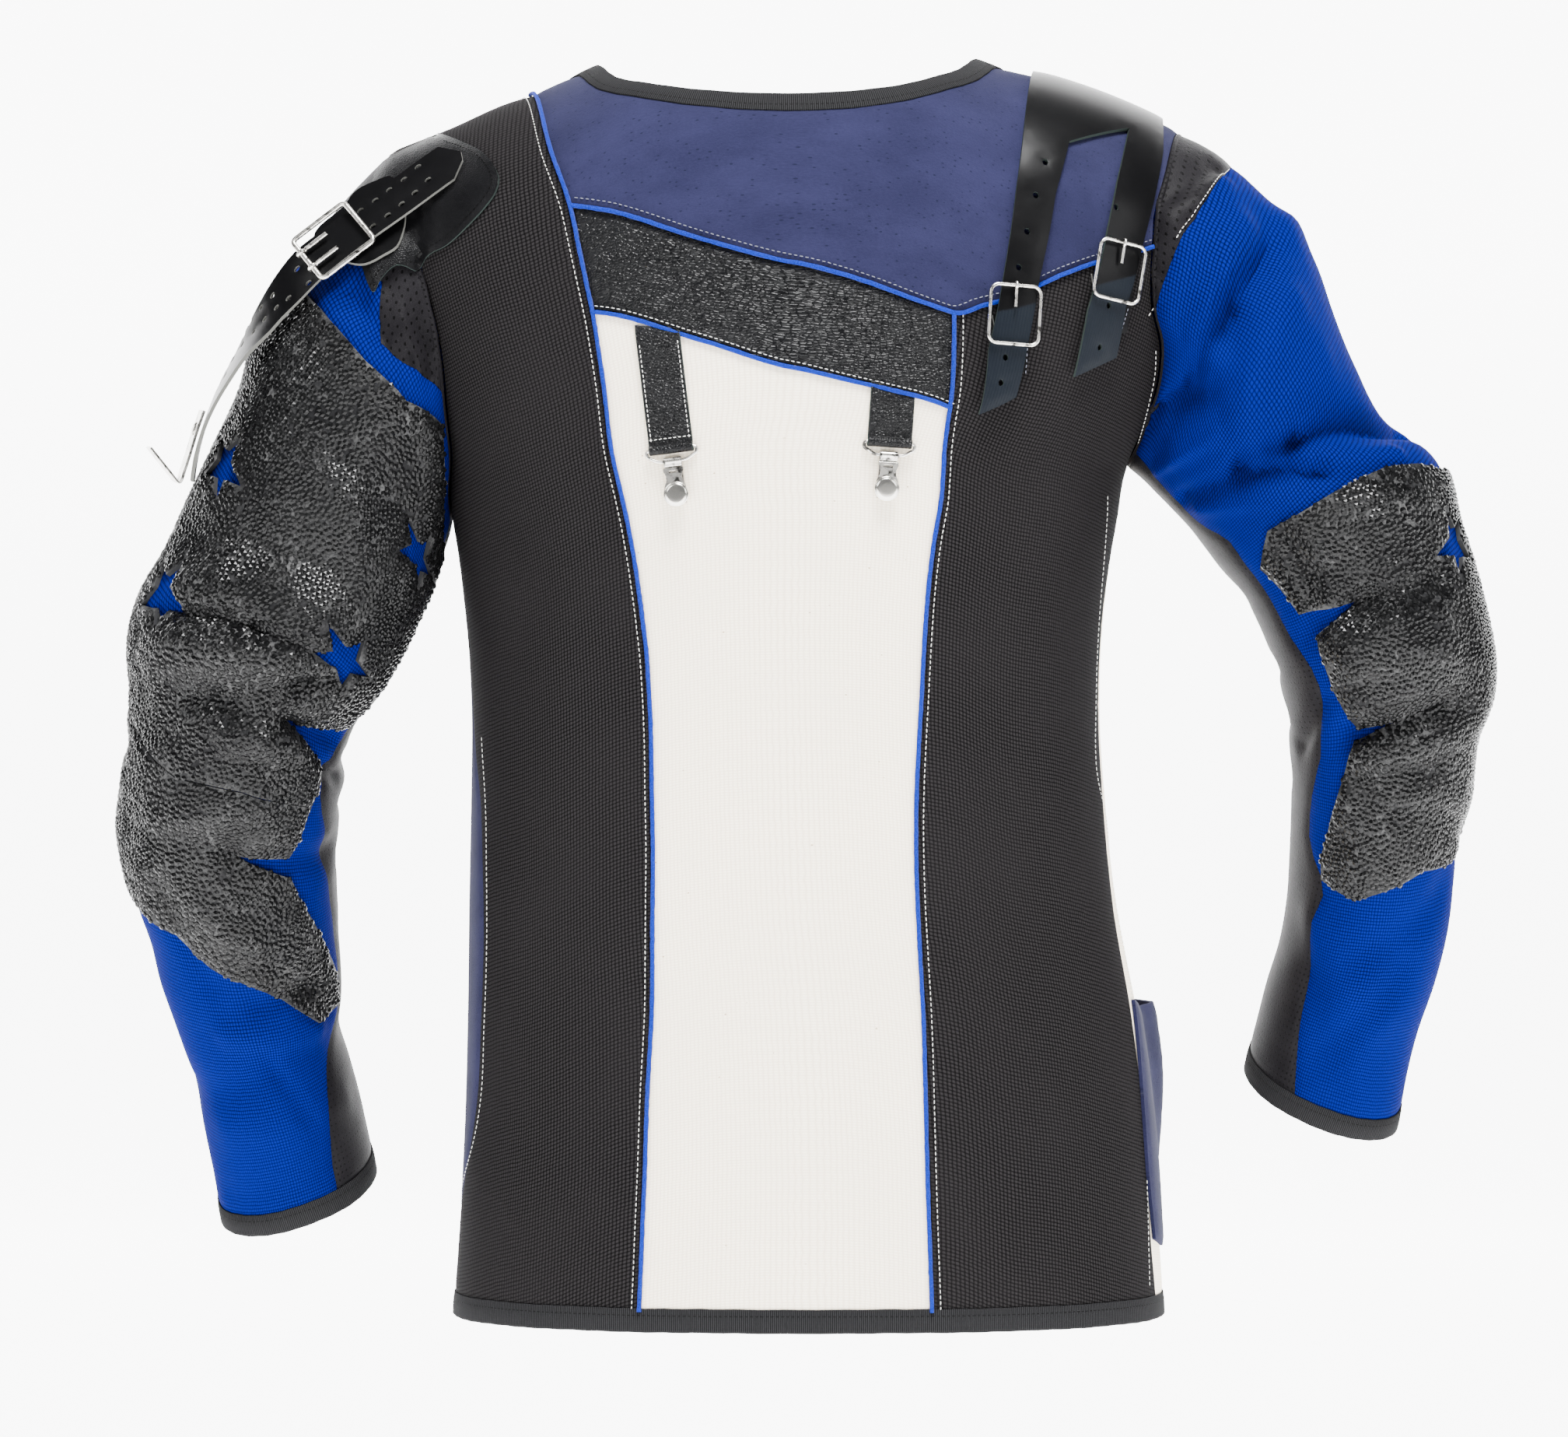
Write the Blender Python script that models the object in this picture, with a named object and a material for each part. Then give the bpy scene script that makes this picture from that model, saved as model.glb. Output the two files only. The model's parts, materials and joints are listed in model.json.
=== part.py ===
"""A shooting jacket, filled out as it is worn, with no wearer.

The back faces -Y, the wearer's right is +X, and +Z is up. The origin lies between the shoulders, in the
plane of the shoulder seams, where the wearer carries the jacket. Sizes are in metres. A place read from the
photograph is in pixels across and down, and seen() turns it into metres.

Every piece of cloth is cut as a flat pattern, in metres round the body or the arm and metres down it, and
then laid on the surface of the body or of a sleeve.
"""

import math

import bmesh
import bpy
import numpy as np
from mathutils import Matrix, Vector
from mathutils.bvhtree import BVHTree
from mathutils.geometry import delaunay_2d_cdt

MM = 0.001

# Driving sizes
PIXEL = 0.45 * MM  # one pixel of the photograph in the plane of the shoulder seams
ORIGIN_PX = (1015.0, 126.0)
EYE_PX = (1008.0, 923.5)
EYE_DISTANCE = 3.4
CLOTH = 2.5 * MM  # wall of canvas, leather and suede
PAD = 2.6 * MM  # rubber patches
SEAM_GAP = 0.34 * MM
SLEEVE_GAP = 0.5 * MM  # extra room at the under sleeve's seams, where the bent arm crowds them
ARMHOLE_GAP = 1.0 * MM
LAID_ON = 0.6 * MM  # clearance under a piece that lies on a panel
SEAT = 0.35 * MM  # clearance under a hard piece that rests on cloth or leather
TAPE_WIDTH = 11.5 * MM
TAPE_PROUD = 0.4 * MM
PIPING_RADIUS = 1.1 * MM
STRAP = 2.2 * MM
HEM_HEIGHT = -690.5 * MM
BODY_GRID = 33 * MM
SLEEVE_GRID = 27 * MM
NECK_STEP = 16 * MM

# Body: pixel row, left and right edge in pixels, depth of back and of front in millimetres
TORSO_ROWS = (
    (20, 450, 1585, 60, 52),
    (120, 450, 1585, 86, 76),
    (230, 450, 1582, 104, 94),
    (340, 470, 1565, 116, 106),
    (440, 505, 1535, 121, 114),
    (520, 538, 1500, 122, 118),
    (600, 565, 1449, 121, 119),
    (668, 582, 1436, 119, 118),
    (790, 599, 1418, 114, 113),
    (907, 607, 1413, 110, 110),
    (1040, 606, 1421, 108, 109),
    (1160, 604, 1434, 109, 111),
    (1307, 602, 1462, 113, 116),
    (1450, 598, 1480, 118, 121),
    (1600, 590, 1490, 122, 125),
    (1720, 581, 1498, 125, 128),
)
TORSO_SQUARE = 2.4  # 2 is an ellipse, and more is squarer
TORSO_DEGREE = 2.6 * MM  # pattern length of one degree round the body

# Shoulder seam line, seen from behind: pixels across and down
RIDGE_ROWS = (
    (430, 236), (503, 196), (541, 181), (580, 166), (647, 136), (682, 124), (735, 101), (800, 70), (900, 48),
    (1015, 42), (1130, 46), (1220, 62), (1286, 89), (1356, 106), (1436, 134), (1516, 172), (1600, 226),
)
SHOULDER_ROUND = 75 * MM  # height over which the back rolls forward into the shoulder seam

# Seams of the back, seen from behind, in pixels
PRINCESS_LEFT = (
    (682, 124), (706, 185), (733, 264), (746, 325), (762, 401), (782, 550), (798, 631), (827, 800),
    (839, 1000),
    (840, 1150), (838, 1300), (832, 1421), (822, 1682),
)
PRINCESS_RIGHT = (
    (1226, 402), (1221, 524), (1213, 600), (1200, 700), (1184, 900), (1177, 1050), (1181, 1200), (1187, 1320),
    (1191, 1474), (1198, 1690),
)
YOKE_EDGE = (
    (733, 264), (930, 315), (1120, 364), (1196, 392), (1226, 402), (1266, 392), (1329, 370), (1395, 342),
             (1482, 317))
BAND_EDGE = ((762, 401), (910, 440), (1070, 484), (1221, 524))
NECK_BACK = (
    (735, 101), (800, 118), (880, 130), (950, 136), (1010, 138), (1080, 136), (1160, 126), (1230, 108),
             (1286, 89))
ARMHOLE_LEFT = ((503, 196), (518, 250), (535, 320), (552, 390), (566, 450), (573, 520), (578, 590))
ARMHOLE_RIGHT = ((1516, 172), (1498, 225), (1484, 280), (1482, 317), (1480, 360), (1482, 400), (1492, 440),
                 (1490, 485), (1478, 530))
# Lowest stretch of each armhole: pixel row and degrees round
ARMPIT_LEFT = ((640, -80), (663, -86), (668, -90))
ARMPIT_RIGHT = ((570, 80), (594, 86), (600, 90))
# Side seams: pixel row and degrees round from the centre back
SIDE_LEFT = (
    (668, -90), (800, -88), (910, -84), (1020, -76), (1160, -70), (1307, -71), (1468, -77), (1541, -86),
             (1680, -91))
SIDE_RIGHT = ((600, 90), (700, 87), (900, 84), (1142, 81), (1250, 78.5), (1316, 77), (1408, 76), (1484, 74.5),
              (1600, 75), (1680, 76))

# Hidden front: a round neck and an overlap at the centre
NECK_FRONT = ((735, 101), (760, 160), (815, 225), (900, 278), (1010, 300))
FRONT_OVERLAP = 15 * MM  # each side of the centre front
OVERLAP_LIFT = 3.9 * MM
OVERLAP_RAMP = (62 * MM, 32 * MM)  # distances from the centre front where the lap starts and stops rising
BUTTON_RADIUS = 11 * MM
BUTTON_HEIGHT = 4 * MM
BUTTON_ROWS = (400, 650, 900, 1150, 1400)

# Sleeves: outer and inner edge in pixels, then the middle's depth and the half depth in millimetres, and the
# forward lean of the ring in degrees
SLEEVE_LEFT_ROWS = (
    (503, 196, 582, 668, 2, 66, 0),
    (440, 262, 577, 692, -1, 74, 0),
    (378, 345, 566, 724, -4, 79, 0),
    (336, 425, 553, 765, -8, 81, 0),
    (318, 500, 534, 806, -12, 80, 0),
    (284, 575, 511, 854, -15, 78, 2),
    (253, 640, 486, 895, -18, 75, 4),
    (223, 706, 460, 925, -19, 73, 6),
    (189, 765, 446, 955, -18, 71, 8),
    (176, 820, 441, 985, -15, 69, 10),
    (179, 880, 440, 1010, -11, 66, 12),
    (171, 940, 436, 1038, -6, 65, 14),
    (166, 1000, 433, 1075, 0, 63, 16),
    (160, 1048, 432, 1108, 6, 62, 18),
    (167, 1100, 432, 1142, 13, 60, 20),
    (178, 1150, 434, 1172, 20, 58, 21),
    (194, 1198, 435, 1200, 27, 56, 22),
    (206, 1250, 438, 1237, 35, 54, 23),
    (223, 1300, 439, 1277, 43, 52, 24),
    (240, 1352, 436, 1315, 50, 50, 24),
    (254, 1405, 450, 1362, 57, 48, 24),
    (266, 1463, 463, 1408, 65, 46, 24),
    (276, 1512, 473, 1452, 71, 44, 24),
    (281, 1544, 479, 1479, 75, 43, 24),
)
SLEEVE_RIGHT_ROWS = (
    (1516, 172, 1449, 600, 2, 64, 0),
    (1566, 200, 1457, 606, -1, 73, 0),
    (1606, 235, 1470, 617, -3, 77, 0),
    (1649, 285, 1486, 633, -6, 79, 0),
    (1684, 345, 1505, 652, -9, 79, 0),
    (1709, 402, 1528, 676, -12, 78, 2),
    (1738, 468, 1549, 702, -15, 76, 3),
    (1772, 530, 1570, 730, -18, 74, 4),
    (1822, 562, 1592, 756, -20, 73, 5),
    (1852, 606, 1608, 780, -21, 72, 6),
    (1866, 665, 1622, 808, -21, 71, 8),
    (1884, 718, 1634, 838, -20, 70, 9),
    (1899, 775, 1644, 870, -17, 69, 11),
    (1911, 835, 1653, 908, -13, 67, 13),
    (1909, 885, 1658, 943, -8, 66, 15),
    (1891, 932, 1660, 973, -3, 64, 16),
    (1885, 978, 1661, 1003, 2, 63, 18),
    (1883, 1025, 1661, 1034, 8, 61, 19),
    (1873, 1064, 1660, 1065, 13, 60, 20),
    (1869, 1115, 1658, 1105, 20, 57, 21),
    (1862, 1185, 1654, 1160, 29, 54, 22),
    (1846, 1253, 1644, 1215, 39, 51, 22),
    (1823, 1322, 1627, 1268, 48, 49, 22),
    (1810, 1375, 1616, 1310, 55, 47, 22),
    (1801, 1424, 1606, 1348, 61, 46, 22),
)
SLEEVE_SQUARE = 2.15
SLEEVE_DEGREE = 1.12 * MM  # pattern length of one degree round a sleeve
HEAD_LENGTH = 120 * MM  # stretch over which the sleeve leaves the armhole's own shape

# Under sleeve seams: metres along the sleeve and degrees round from the outer edge, at the back
UNDER_LEFT = (
    (0, 176), (0.10, 176), (0.18, 175), (0.215, 171), (0.24, 157), (0.262, 152), (0.29, 161), (0.332, 167),
    (0.37, 170), (0.405, 172), (0.43, 168), (0.451, 147), (0.472, 132), (0.51, 122),
)
UNDER_RIGHT = (
    (0, 165), (0.06, 168), (0.095, 165), (0.126, 149), (0.16, 151), (0.21, 148), (0.245, 137), (0.268, 142),
    (0.292, 142), (0.32, 149), (0.348, 149), (0.381, 129), (0.40, 134), (0.43, 131), (0.47, 121),
)
UNDER_CUFF = {"left": 119, "right": 109}  # degrees round at the cuff

# Gussets: edge on the sleeve, in pixels, from one end at the armhole to the other
GUSSET_LEFT = ((537, 345), (515, 340), (492, 360), (486, 400), (490, 437), (526, 470), (574, 508))
GUSSET_RIGHT = (
    (1516, 179), (1551, 193), (1584, 214), (1560, 246), (1536, 279), (1510, 322), (1492, 372), (1482, 404))

# Folds: ends in pixels, half width and depth in millimetres
FOLDS_LEFT = (
    (365, 929, 425, 942, 12, 5),
    (185, 884, 300, 905, 11, 4),
    (300, 1104, 424, 1098, 11, 5),
    (205, 1060, 330, 1030, 12, -4),
    (230, 800, 420, 850, 24, -4),
    (500, 600, 420, 700, 22, 4),
)
FOLDS_RIGHT = (
    (1640, 310, 1580, 420, 12, 7),
    (1570, 420, 1510, 520, 11, 6),
    (1585, 512, 1490, 545, 10, 6),
    (1815, 562, 1640, 580, 10, 6),
    (1700, 602, 1600, 615, 9, 4),
    (1690, 330, 1640, 450, 22, -5),
    (1755, 770, 1690, 822, 11, 5),
    (1880, 905, 1735, 950, 12, 6),
    (1880, 1060, 1760, 1040, 11, 4),
)

# Rubber pads: the edge that shows, in pixels, then the hidden edge as degrees round and metres along
PAD_LEFT_UPPER = (
    (345, 408), (372, 372), (397, 380), (426, 415), (471, 466), (519, 514), (566, 548),
)
PAD_LEFT_UPPER_INNER = ((172, 0.05), (171, 0.12), (169, 0.185))
PAD_LEFT_UPPER_LOW = (
    (440, 938), (369, 932), (392, 958), (413, 982), (409, 1003), (397, 1035), (311, 1016), (232, 1000),
    (184, 955),
)
PAD_LEFT_UPPER_FRONT = ((0, 0.264), (-45, 0.25), (-66, 0.2), (-62, 0.13), (-30, 0.075))
PAD_LEFT_LOWER = (
    (184, 976), (232, 1013), (311, 1030), (394, 1048), (375, 1104), (303, 1104), (375, 1131), (397, 1179),
    (428, 1250), (432, 1288), (407, 1314), (343, 1274), (273, 1243), (225, 1201), (192, 1176),
)
PAD_LEFT_LOWER_FRONT = ((0, 0.345), (-42, 0.32), (-46, 0.285), (0, 0.274))
PAD_RIGHT_EDGE = (
    (1846, 606), (1778, 602), (1700, 642), (1630, 682), (1623, 729), (1671, 789), (1720, 780), (1745, 773),
    (1694, 820), (1716, 884), (1740, 940), (1794, 935), (1738, 961), (1723, 1018), (1702, 1100), (1702, 1129),
    (1742, 1156), (1826, 1118), (1862, 1108),
)
PAD_RIGHT_FRONT = ((0, 0.355), (-42, 0.325), (-50, 0.265), (-42, 0.21), (0, 0.182))
STAR_RADIUS = 17 * MM
STAR_WAIST = 0.42  # inner radius over outer radius
STAR_TURN = 12  # degrees
STARS_LEFT = ((536, 716), (212, 763), (440, 845), (290, 600))
STARS_RIGHT = ((1868, 700),)

# Leather on the shoulders, in pixels
SHOULDER_PATCH = (
    (566, 176), (594, 184), (623, 199), (637, 216), (643, 232), (639, 248), (625, 268), (604, 290),
    (576, 315),
    (549, 331), (534, 349), (521, 344), (510, 343), (498, 351), (488, 364), (482, 376), (466, 340),
    (464, 310),
    (470, 280), (478, 248), (488, 222), (504, 207), (530, 194),
)
PATCH_LIFT = 1.2 * MM
PATCH_LEATHER = 1.6 * MM
SHOULDER_STRAP = (
    (1327, 101), (1410, 127), (1490, 161), (1492, 200), (1480, 260), (1465, 316), (1440, 396), (1428, 458),
    (1375, 484), (1393, 400), (1419, 304), (1434, 235), (1449, 170), (1373, 186), (1356, 250), (1333, 360),
    (1318, 440), (1302, 510), (1255, 532), (1268, 450), (1288, 355), (1306, 240), (1316, 160),
)
STRAP_RISE = (230, 330)  # pixel rows between which the straps rise over the piping
PLATE_LIFT = 1.3 * MM
STRAP_LIFT = 3.0 * MM
SHOULDER_TABS = (
    ((1275, 405), (1326, 405), (1322, 440), (1318, 478), (1284, 478)),
    ((1402, 352), (1456, 352), (1452, 390), (1446, 428), (1408, 428)),
)
TAB_LEATHER = 1.8 * MM
# Buckles of the shoulder straps: middle in pixels, width and height in millimetres, turn in degrees
BUCKLES = ((1300, 406, 29, 33, 4), (1431, 350, 29, 33, 12))
BUCKLE_WIRE = 1.6 * MM
BUCKLE_CORNER = 6 * MM
PRONG_WIRE = 1.1 * MM
PRONG_LENGTH = 9 * MM

# Sling strap from the pointed tip to the free end: pixels, depth in millimetres, then the degrees that its
# face
# turns from the back towards the wearer's left, and the degrees that it tilts up
SLING_ROWS = (
    (597, 197, -68.5, 4, 32), (573, 213, -69.0, 4, 32), (505, 262, -70.5, 4, 32), (468, 288, -71.6, 4, 32),
    (432, 315, -72.8, 4, 32), (399, 341, -74, 8, 26), (372, 372, -71.6, 32, 14), (352, 398, -68, 52, 8),
    (340, 416, -65, 61, 4), (316, 452, -62, 76, 0), (300, 478, -61, 78, 0), (275, 526, -60, 82, 0),
    (260.5, 567, -60, 85, 0), (254, 594, -60, 86, 0), (250.5, 619, -60, 86, 0),
)
SLING_BUCKLE_PX = (432, 315)
SLING_BASE = (
    (441, 258), (451, 243), (480, 227), (498, 221), (512, 240), (513, 298), (507, 311), (490, 322),
    (465, 334),
    (436, 330), (408, 322), (400, 300),
)
SLING_BASE_LEATHER = 2.4 * MM
SLING_BASE_GAP = 4.1 * MM
SLING_WIDTH = 24.5 * MM
SLING_THICK = 2.6 * MM
SLING_POINT = 12 * MM  # length of the pointed tip
SLING_BUCKLE_LENGTH = 37 * MM
SLING_BUCKLE_WIDTH = 33 * MM
SLING_WIRE = 2.0 * MM
SLING_CORNER = 5 * MM
SLING_PRONG = 13 * MM
SLING_PRONG_OUT = 6 * MM  # from the middle of the buckle to each prong
SLING_PRONG_WIRE = 1.4 * MM
HOOK_ROWS = (
    (262, 528, -55.7, 76, 0), (253.5, 552, -55.7, 76, 0), (243, 586, -55.7, 76, 0), (233, 617, -55.7, 76, 0),
    (190, 576, -55.7, 76, 0),
)
HOOK_WIDTH = 16 * MM
HOOK_THICK = 1.6 * MM

# Garter tabs: top and bottom of the middle line in pixels
GARTER_TABS = {"left": ((847, 437), (864, 577)), "right": ((1147, 513), (1143, 569))}
GARTER_WIDTH = 25 * MM
FOLD_RADIUS = 2.7 * MM
LOOP_WIRE = 1.0 * MM
LOOP_CLEAR = 0.4 * MM
LOOP_HALF_TOP = 14.2 * MM
LOOP_HALF_LOW = 6.8 * MM
LOOP_DROP = 7.0 * MM
CLIP_HALF = 5.0 * MM
CLIP_EYE = 2.1 * MM
CLIP_PLATE = 1.0 * MM
CLIP_JAW_LENGTH = 24 * MM  # from the loop's lower bar to the end of the back jaw
LEVER_PIVOT = 4.6 * MM  # below the loop's lower bar
LEVER_BUTTON = 18.6 * MM  # from the loop's lower bar to the middle of the round button
LEVER_BUTTON_RADIUS = 7.0 * MM
LEVER_FACE = -1.2 * MM  # depth of the lever's back face
LEVER_KNUCKLE = 1.0 * MM  # radius of the lever's rolled end round its pin
KNUCKLE_TURNS = (40, -220)  # degrees of that roll
PIN_DEPTH = 0.2 * MM  # the pin in front of the back face
LEVER_OVERHANG = 0.8 * MM  # how far the lever passes the clip at each side
BUTTON_PROFILE = (
    (0.2 * MM, 1.0), (-1.0 * MM, 1.0), (-2.1 * MM, 0.82), (-2.7 * MM, 0.45))  # depth, share of the radius
CLIP_JAW = (0.5 * MM, 1.7 * MM)  # depth of the jaw's two faces
JAW_START = (2.6 * MM, 1.6 * MM)  # where each face leaves the eye, below the loop's lower bar
EYE_TURNS = (20, -241, -26)  # degrees round the eye
STRIP_CORNERS = ((-1, 0), (1, 0), (1, 1), (-1, 1))  # of a strip: shares of half its width and its thickness
LOOP_BEND = 1.2 * MM  # radius of the loop's corners
LOOP_SIDE = 3.0 * MM  # length of its short sides
LOOP_NECK = 4.4 * MM  # height at which its sides lean in
LOOP_NECK_IN = 1.6 * MM

# Hip pocket on the right front: pixel row and degrees round, from the top edge by the side seam
POCKET_NEAR = ((1282, 80), (1400, 78.5), (1500, 77.5), (1585, 78.5))
POCKET_FAR = 132
POCKET_BULGE = 15 * MM
POCKET_FLAT = 34 * MM  # width by the side seam that lies flat
POCKET_RAMP = 28 * MM

# Colours: red, green, blue, roughness, metallic
COLOURS = {
    "navy suede": (0.048, 0.055, 0.155, 0.85, 0),
    "black canvas": (0.016, 0.016, 0.018, 0.75, 0),
    "cream canvas": (0.80, 0.76, 0.68, 0.85, 0),
    "blue canvas": (0.002, 0.045, 0.60, 0.7, 0),
    "black leather": (0.012, 0.012, 0.014, 0.38, 0),
    "soft black leather": (0.018, 0.018, 0.02, 0.6, 0),
    "pebbled rubber": (0.045, 0.045, 0.048, 0.5, 0),
    "black tape": (0.014, 0.014, 0.015, 0.7, 0),
    "blue piping": (0.01, 0.09, 0.72, 0.6, 0),
    "nickel": (0.75, 0.73, 0.69, 0.2, 1),
    "black button": (0.02, 0.02, 0.02, 0.4, 0),
}


# Tables and small geometry
class Table:
    """Rows of numbers, read at any value of their first column on a smooth curve through the rows."""

    def __init__(self, rows):
        self.rows = np.asarray(rows, float)
        self.slopes = np.gradient(self.rows, self.rows[:, 0], axis=0)

    def __call__(self, at):
        keys = self.rows[:, 0]
        at = np.clip(np.asarray(at, float), keys[0], keys[-1])
        low = np.clip(np.searchsorted(keys, at, side="right") - 1, 0, len(keys) - 2)
        span = (keys[low + 1] - keys[low])[..., None]
        t = (at[..., None] - keys[low][..., None]) / span
        start, end = self.rows[low], self.rows[low + 1]
        start_slope, end_slope = self.slopes[low] * span, self.slopes[low + 1] * span
        blend = t * t * (3 - 2 * t)
        bend = (t - 2 * t * t + t**3) * start_slope + (t**3 - t * t) * end_slope
        return start + (end - start) * blend + bend


def seen(px, py, y=0.0):
    """World x and z of a photo point that lies at depth y."""
    scale = PIXEL * (1 + y / EYE_DISTANCE)
    x = (EYE_PX[0] - ORIGIN_PX[0]) * PIXEL + (px - EYE_PX[0]) * scale
    z = (ORIGIN_PX[1] - EYE_PX[1]) * PIXEL - (py - EYE_PX[1]) * scale
    return x, z


def photo_px(points):
    """Pixels across and down at which world points are seen."""
    scale = PIXEL * (1 + points[..., 1] / EYE_DISTANCE)
    px = EYE_PX[0] + (points[..., 0] - (EYE_PX[0] - ORIGIN_PX[0]) * PIXEL) / scale
    py = EYE_PX[1] - (points[..., 2] - (ORIGIN_PX[1] - EYE_PX[1]) * PIXEL) / scale
    return np.stack([px, py], -1)


def power(value, exponent):
    """The value raised to the exponent with its sign kept."""
    return np.sign(value) * np.abs(value) ** exponent


def smoothstep(value):
    value = np.clip(value, 0, 1)
    return value * value * (3 - 2 * value)


def smooth_run(knots, step, first=0, last=None):
    """Points about one step apart on the smooth curve through the knots, from knot first to knot last."""
    knots = np.asarray(knots, float)
    last = len(knots) - 1 if last is None else last
    spans = np.linalg.norm(np.diff(knots, axis=0), axis=1)
    lengths = np.concatenate([[0], np.cumsum(spans)])
    curve = Table(np.column_stack([lengths, knots]))
    places = [lengths[first]]
    for low, high in zip(lengths[first:last], lengths[first + 1 : last + 1]):
        count = max(1, round((high - low) / step))
        places += [low + (high - low) * (i + 1) / count for i in range(count)]
    return curve(np.array(places))[:, 1:]


def corner_run(knots, step):
    """Points about one step apart on the straight lines between the knots."""
    points = []
    for start, end in zip(knots[:-1], knots[1:]):
        start, end = np.asarray(start, float), np.asarray(end, float)
        count = max(1, round(np.linalg.norm(end - start) / step))
        points += [start + (end - start) * i / count for i in range(count)]
    return np.array(points + [knots[-1]])


def dent(folds, across, down):
    """Depth of the folds at pattern places: each is a soft trough or ridge along a line."""
    total = np.zeros(np.shape(across))
    for start, end, width, depth in folds:
        line = end - start
        share = ((across - start[0]) * line[0] + (down - start[1]) * line[1]) / (line @ line)
        share = np.clip(share, 0, 1)
        away = np.hypot(across - start[0] - share * line[0], down - start[1] - share * line[1])
        total = total + depth * np.exp(-((away / width) ** 2))
    return total


def normals(surface, across, down):
    """Outward unit normals of a surface."""
    nudge = 0.4 * MM
    round_it = surface(across + nudge, down) - surface(across - nudge, down)
    down_it = surface(across, down + nudge) - surface(across, np.maximum(down - nudge, surface.top))
    normal = np.cross(down_it, round_it) * surface.hand
    return normal / np.linalg.norm(normal, axis=-1, keepdims=True)


def trace(surface, pixels):
    """Pattern places of photo points on the side facing the eye: the nearest of a net, then small steps."""
    pixels = np.asarray(pixels, float)
    low, high = np.array(surface.seen_from), np.array(surface.seen_to)
    across, down = np.meshgrid(np.linspace(low[0], high[0], 61), np.linspace(low[1], high[1], 91))
    net = np.column_stack([across.ravel(), down.ravel()])
    net_px = photo_px(surface.bare(net[:, 0], net[:, 1]))
    nearest = np.argmin(((net_px[None] - pixels[:, None]) ** 2).sum(-1), axis=1)
    place = net[nearest]
    nudge = 0.5 * MM
    damping = 2e-3 / nudge**2

    def miss_at(at):
        return photo_px(surface.bare(at[:, 0], at[:, 1])) - pixels

    miss = miss_at(place)
    for _ in range(14):
        slope_across = (miss_at(place + [nudge, 0]) - miss) / nudge
        slope_down = (miss_at(place + [0, nudge]) - miss) / nudge
        slopes = np.stack([slope_across, slope_down], -1)
        square = np.einsum("nki,nkj->nij", slopes, slopes) + np.eye(2) * damping
        pull = np.einsum("nki,nk->ni", slopes, miss)
        moved = np.clip(place - np.linalg.solve(square, pull[..., None])[..., 0], low, high)
        new_miss = miss_at(moved)
        better = (new_miss**2).sum(-1) < (miss**2).sum(-1)
        place = np.where(better[:, None], moved, place)
        miss = np.where(better[:, None], new_miss, miss)
    return place, np.linalg.norm(miss, axis=1)


def run_px(surface, knots):
    return trace(surface, knots)[0]


def at_px(surface, px, py):
    return trace(surface, [(px, py)])[0][0]


# The surfaces that the cloth is laid on
class Torso:
    """The jacket's body: across is metres round from the centre back, down is metres below the shoulder."""

    hand = 1
    top = 0.0
    grid = BODY_GRID
    seen_from = (-90 * TORSO_DEGREE, 0.0)
    seen_to = (90 * TORSO_DEGREE, 0.8)

    def __init__(self):
        self.table = Table(TORSO_ROWS)
        self.ridge_px = Table(RIDGE_ROWS)

    def ridge(self, x):
        return seen(0, self.ridge_px(ORIGIN_PX[0] + x / PIXEL)[..., 1])[1]

    def rows(self, z):
        row = self.table(ORIGIN_PX[1] - z / PIXEL)
        left, right = seen(row[..., 1], 0)[0], seen(row[..., 2], 0)[0]
        return (left + right) / 2, (right - left) / 2, row[..., 3] * MM, row[..., 4] * MM

    def __call__(self, across, down):
        turn = np.radians(np.asarray(across, float) / TORSO_DEGREE)
        down = np.asarray(down, float)
        share = power(np.sin(turn), 2 / TORSO_SQUARE)
        depth_share = power(np.cos(turn), 2 / TORSO_SQUARE)
        rolled = np.clip(down / SHOULDER_ROUND, 0, math.pi / 2)
        drop = SHOULDER_ROUND * (1 - np.cos(rolled)) + np.maximum(0, down - SHOULDER_ROUND * math.pi / 2)
        z = -drop
        for _ in range(6):
            middle, half, back, front = self.rows(z)
            x = middle + half * share
            z = self.ridge(x) - drop
        y = -np.where(depth_share > 0, back, front) * depth_share * np.sin(rolled)
        return np.stack([x, y, z], -1)

    bare = __call__

    def place(self, x, z, front=False):
        """Pattern place of a point that is at x and z on the back, or on the front."""
        middle, half, _, _ = self.rows(np.asarray(z, float))
        share = np.clip((x - middle) / half, -1, 1)
        turn = np.degrees(np.arcsin(power(share, TORSO_SQUARE / 2)))
        if front:
            turn = np.where(share < 0, -180.0, 180.0) - turn
        return turn * TORSO_DEGREE, self.down_to(x, z)

    def down_to(self, x, z):
        drop = np.maximum(self.ridge(x) - z, 0)
        over = np.maximum(drop - SHOULDER_ROUND, 0)
        rolled = SHOULDER_ROUND * np.arccos(1 - np.minimum(drop, SHOULDER_ROUND) / SHOULDER_ROUND)
        return rolled + over

    def at_turn(self, turn, z):
        """Pattern place at so many degrees round and at height z."""
        middle, half, _, _ = self.rows(np.asarray(z, float))
        x = middle + half * power(np.sin(np.radians(turn)), 2 / TORSO_SQUARE)
        return np.array([turn * TORSO_DEGREE, float(self.down_to(x, z))])


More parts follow.
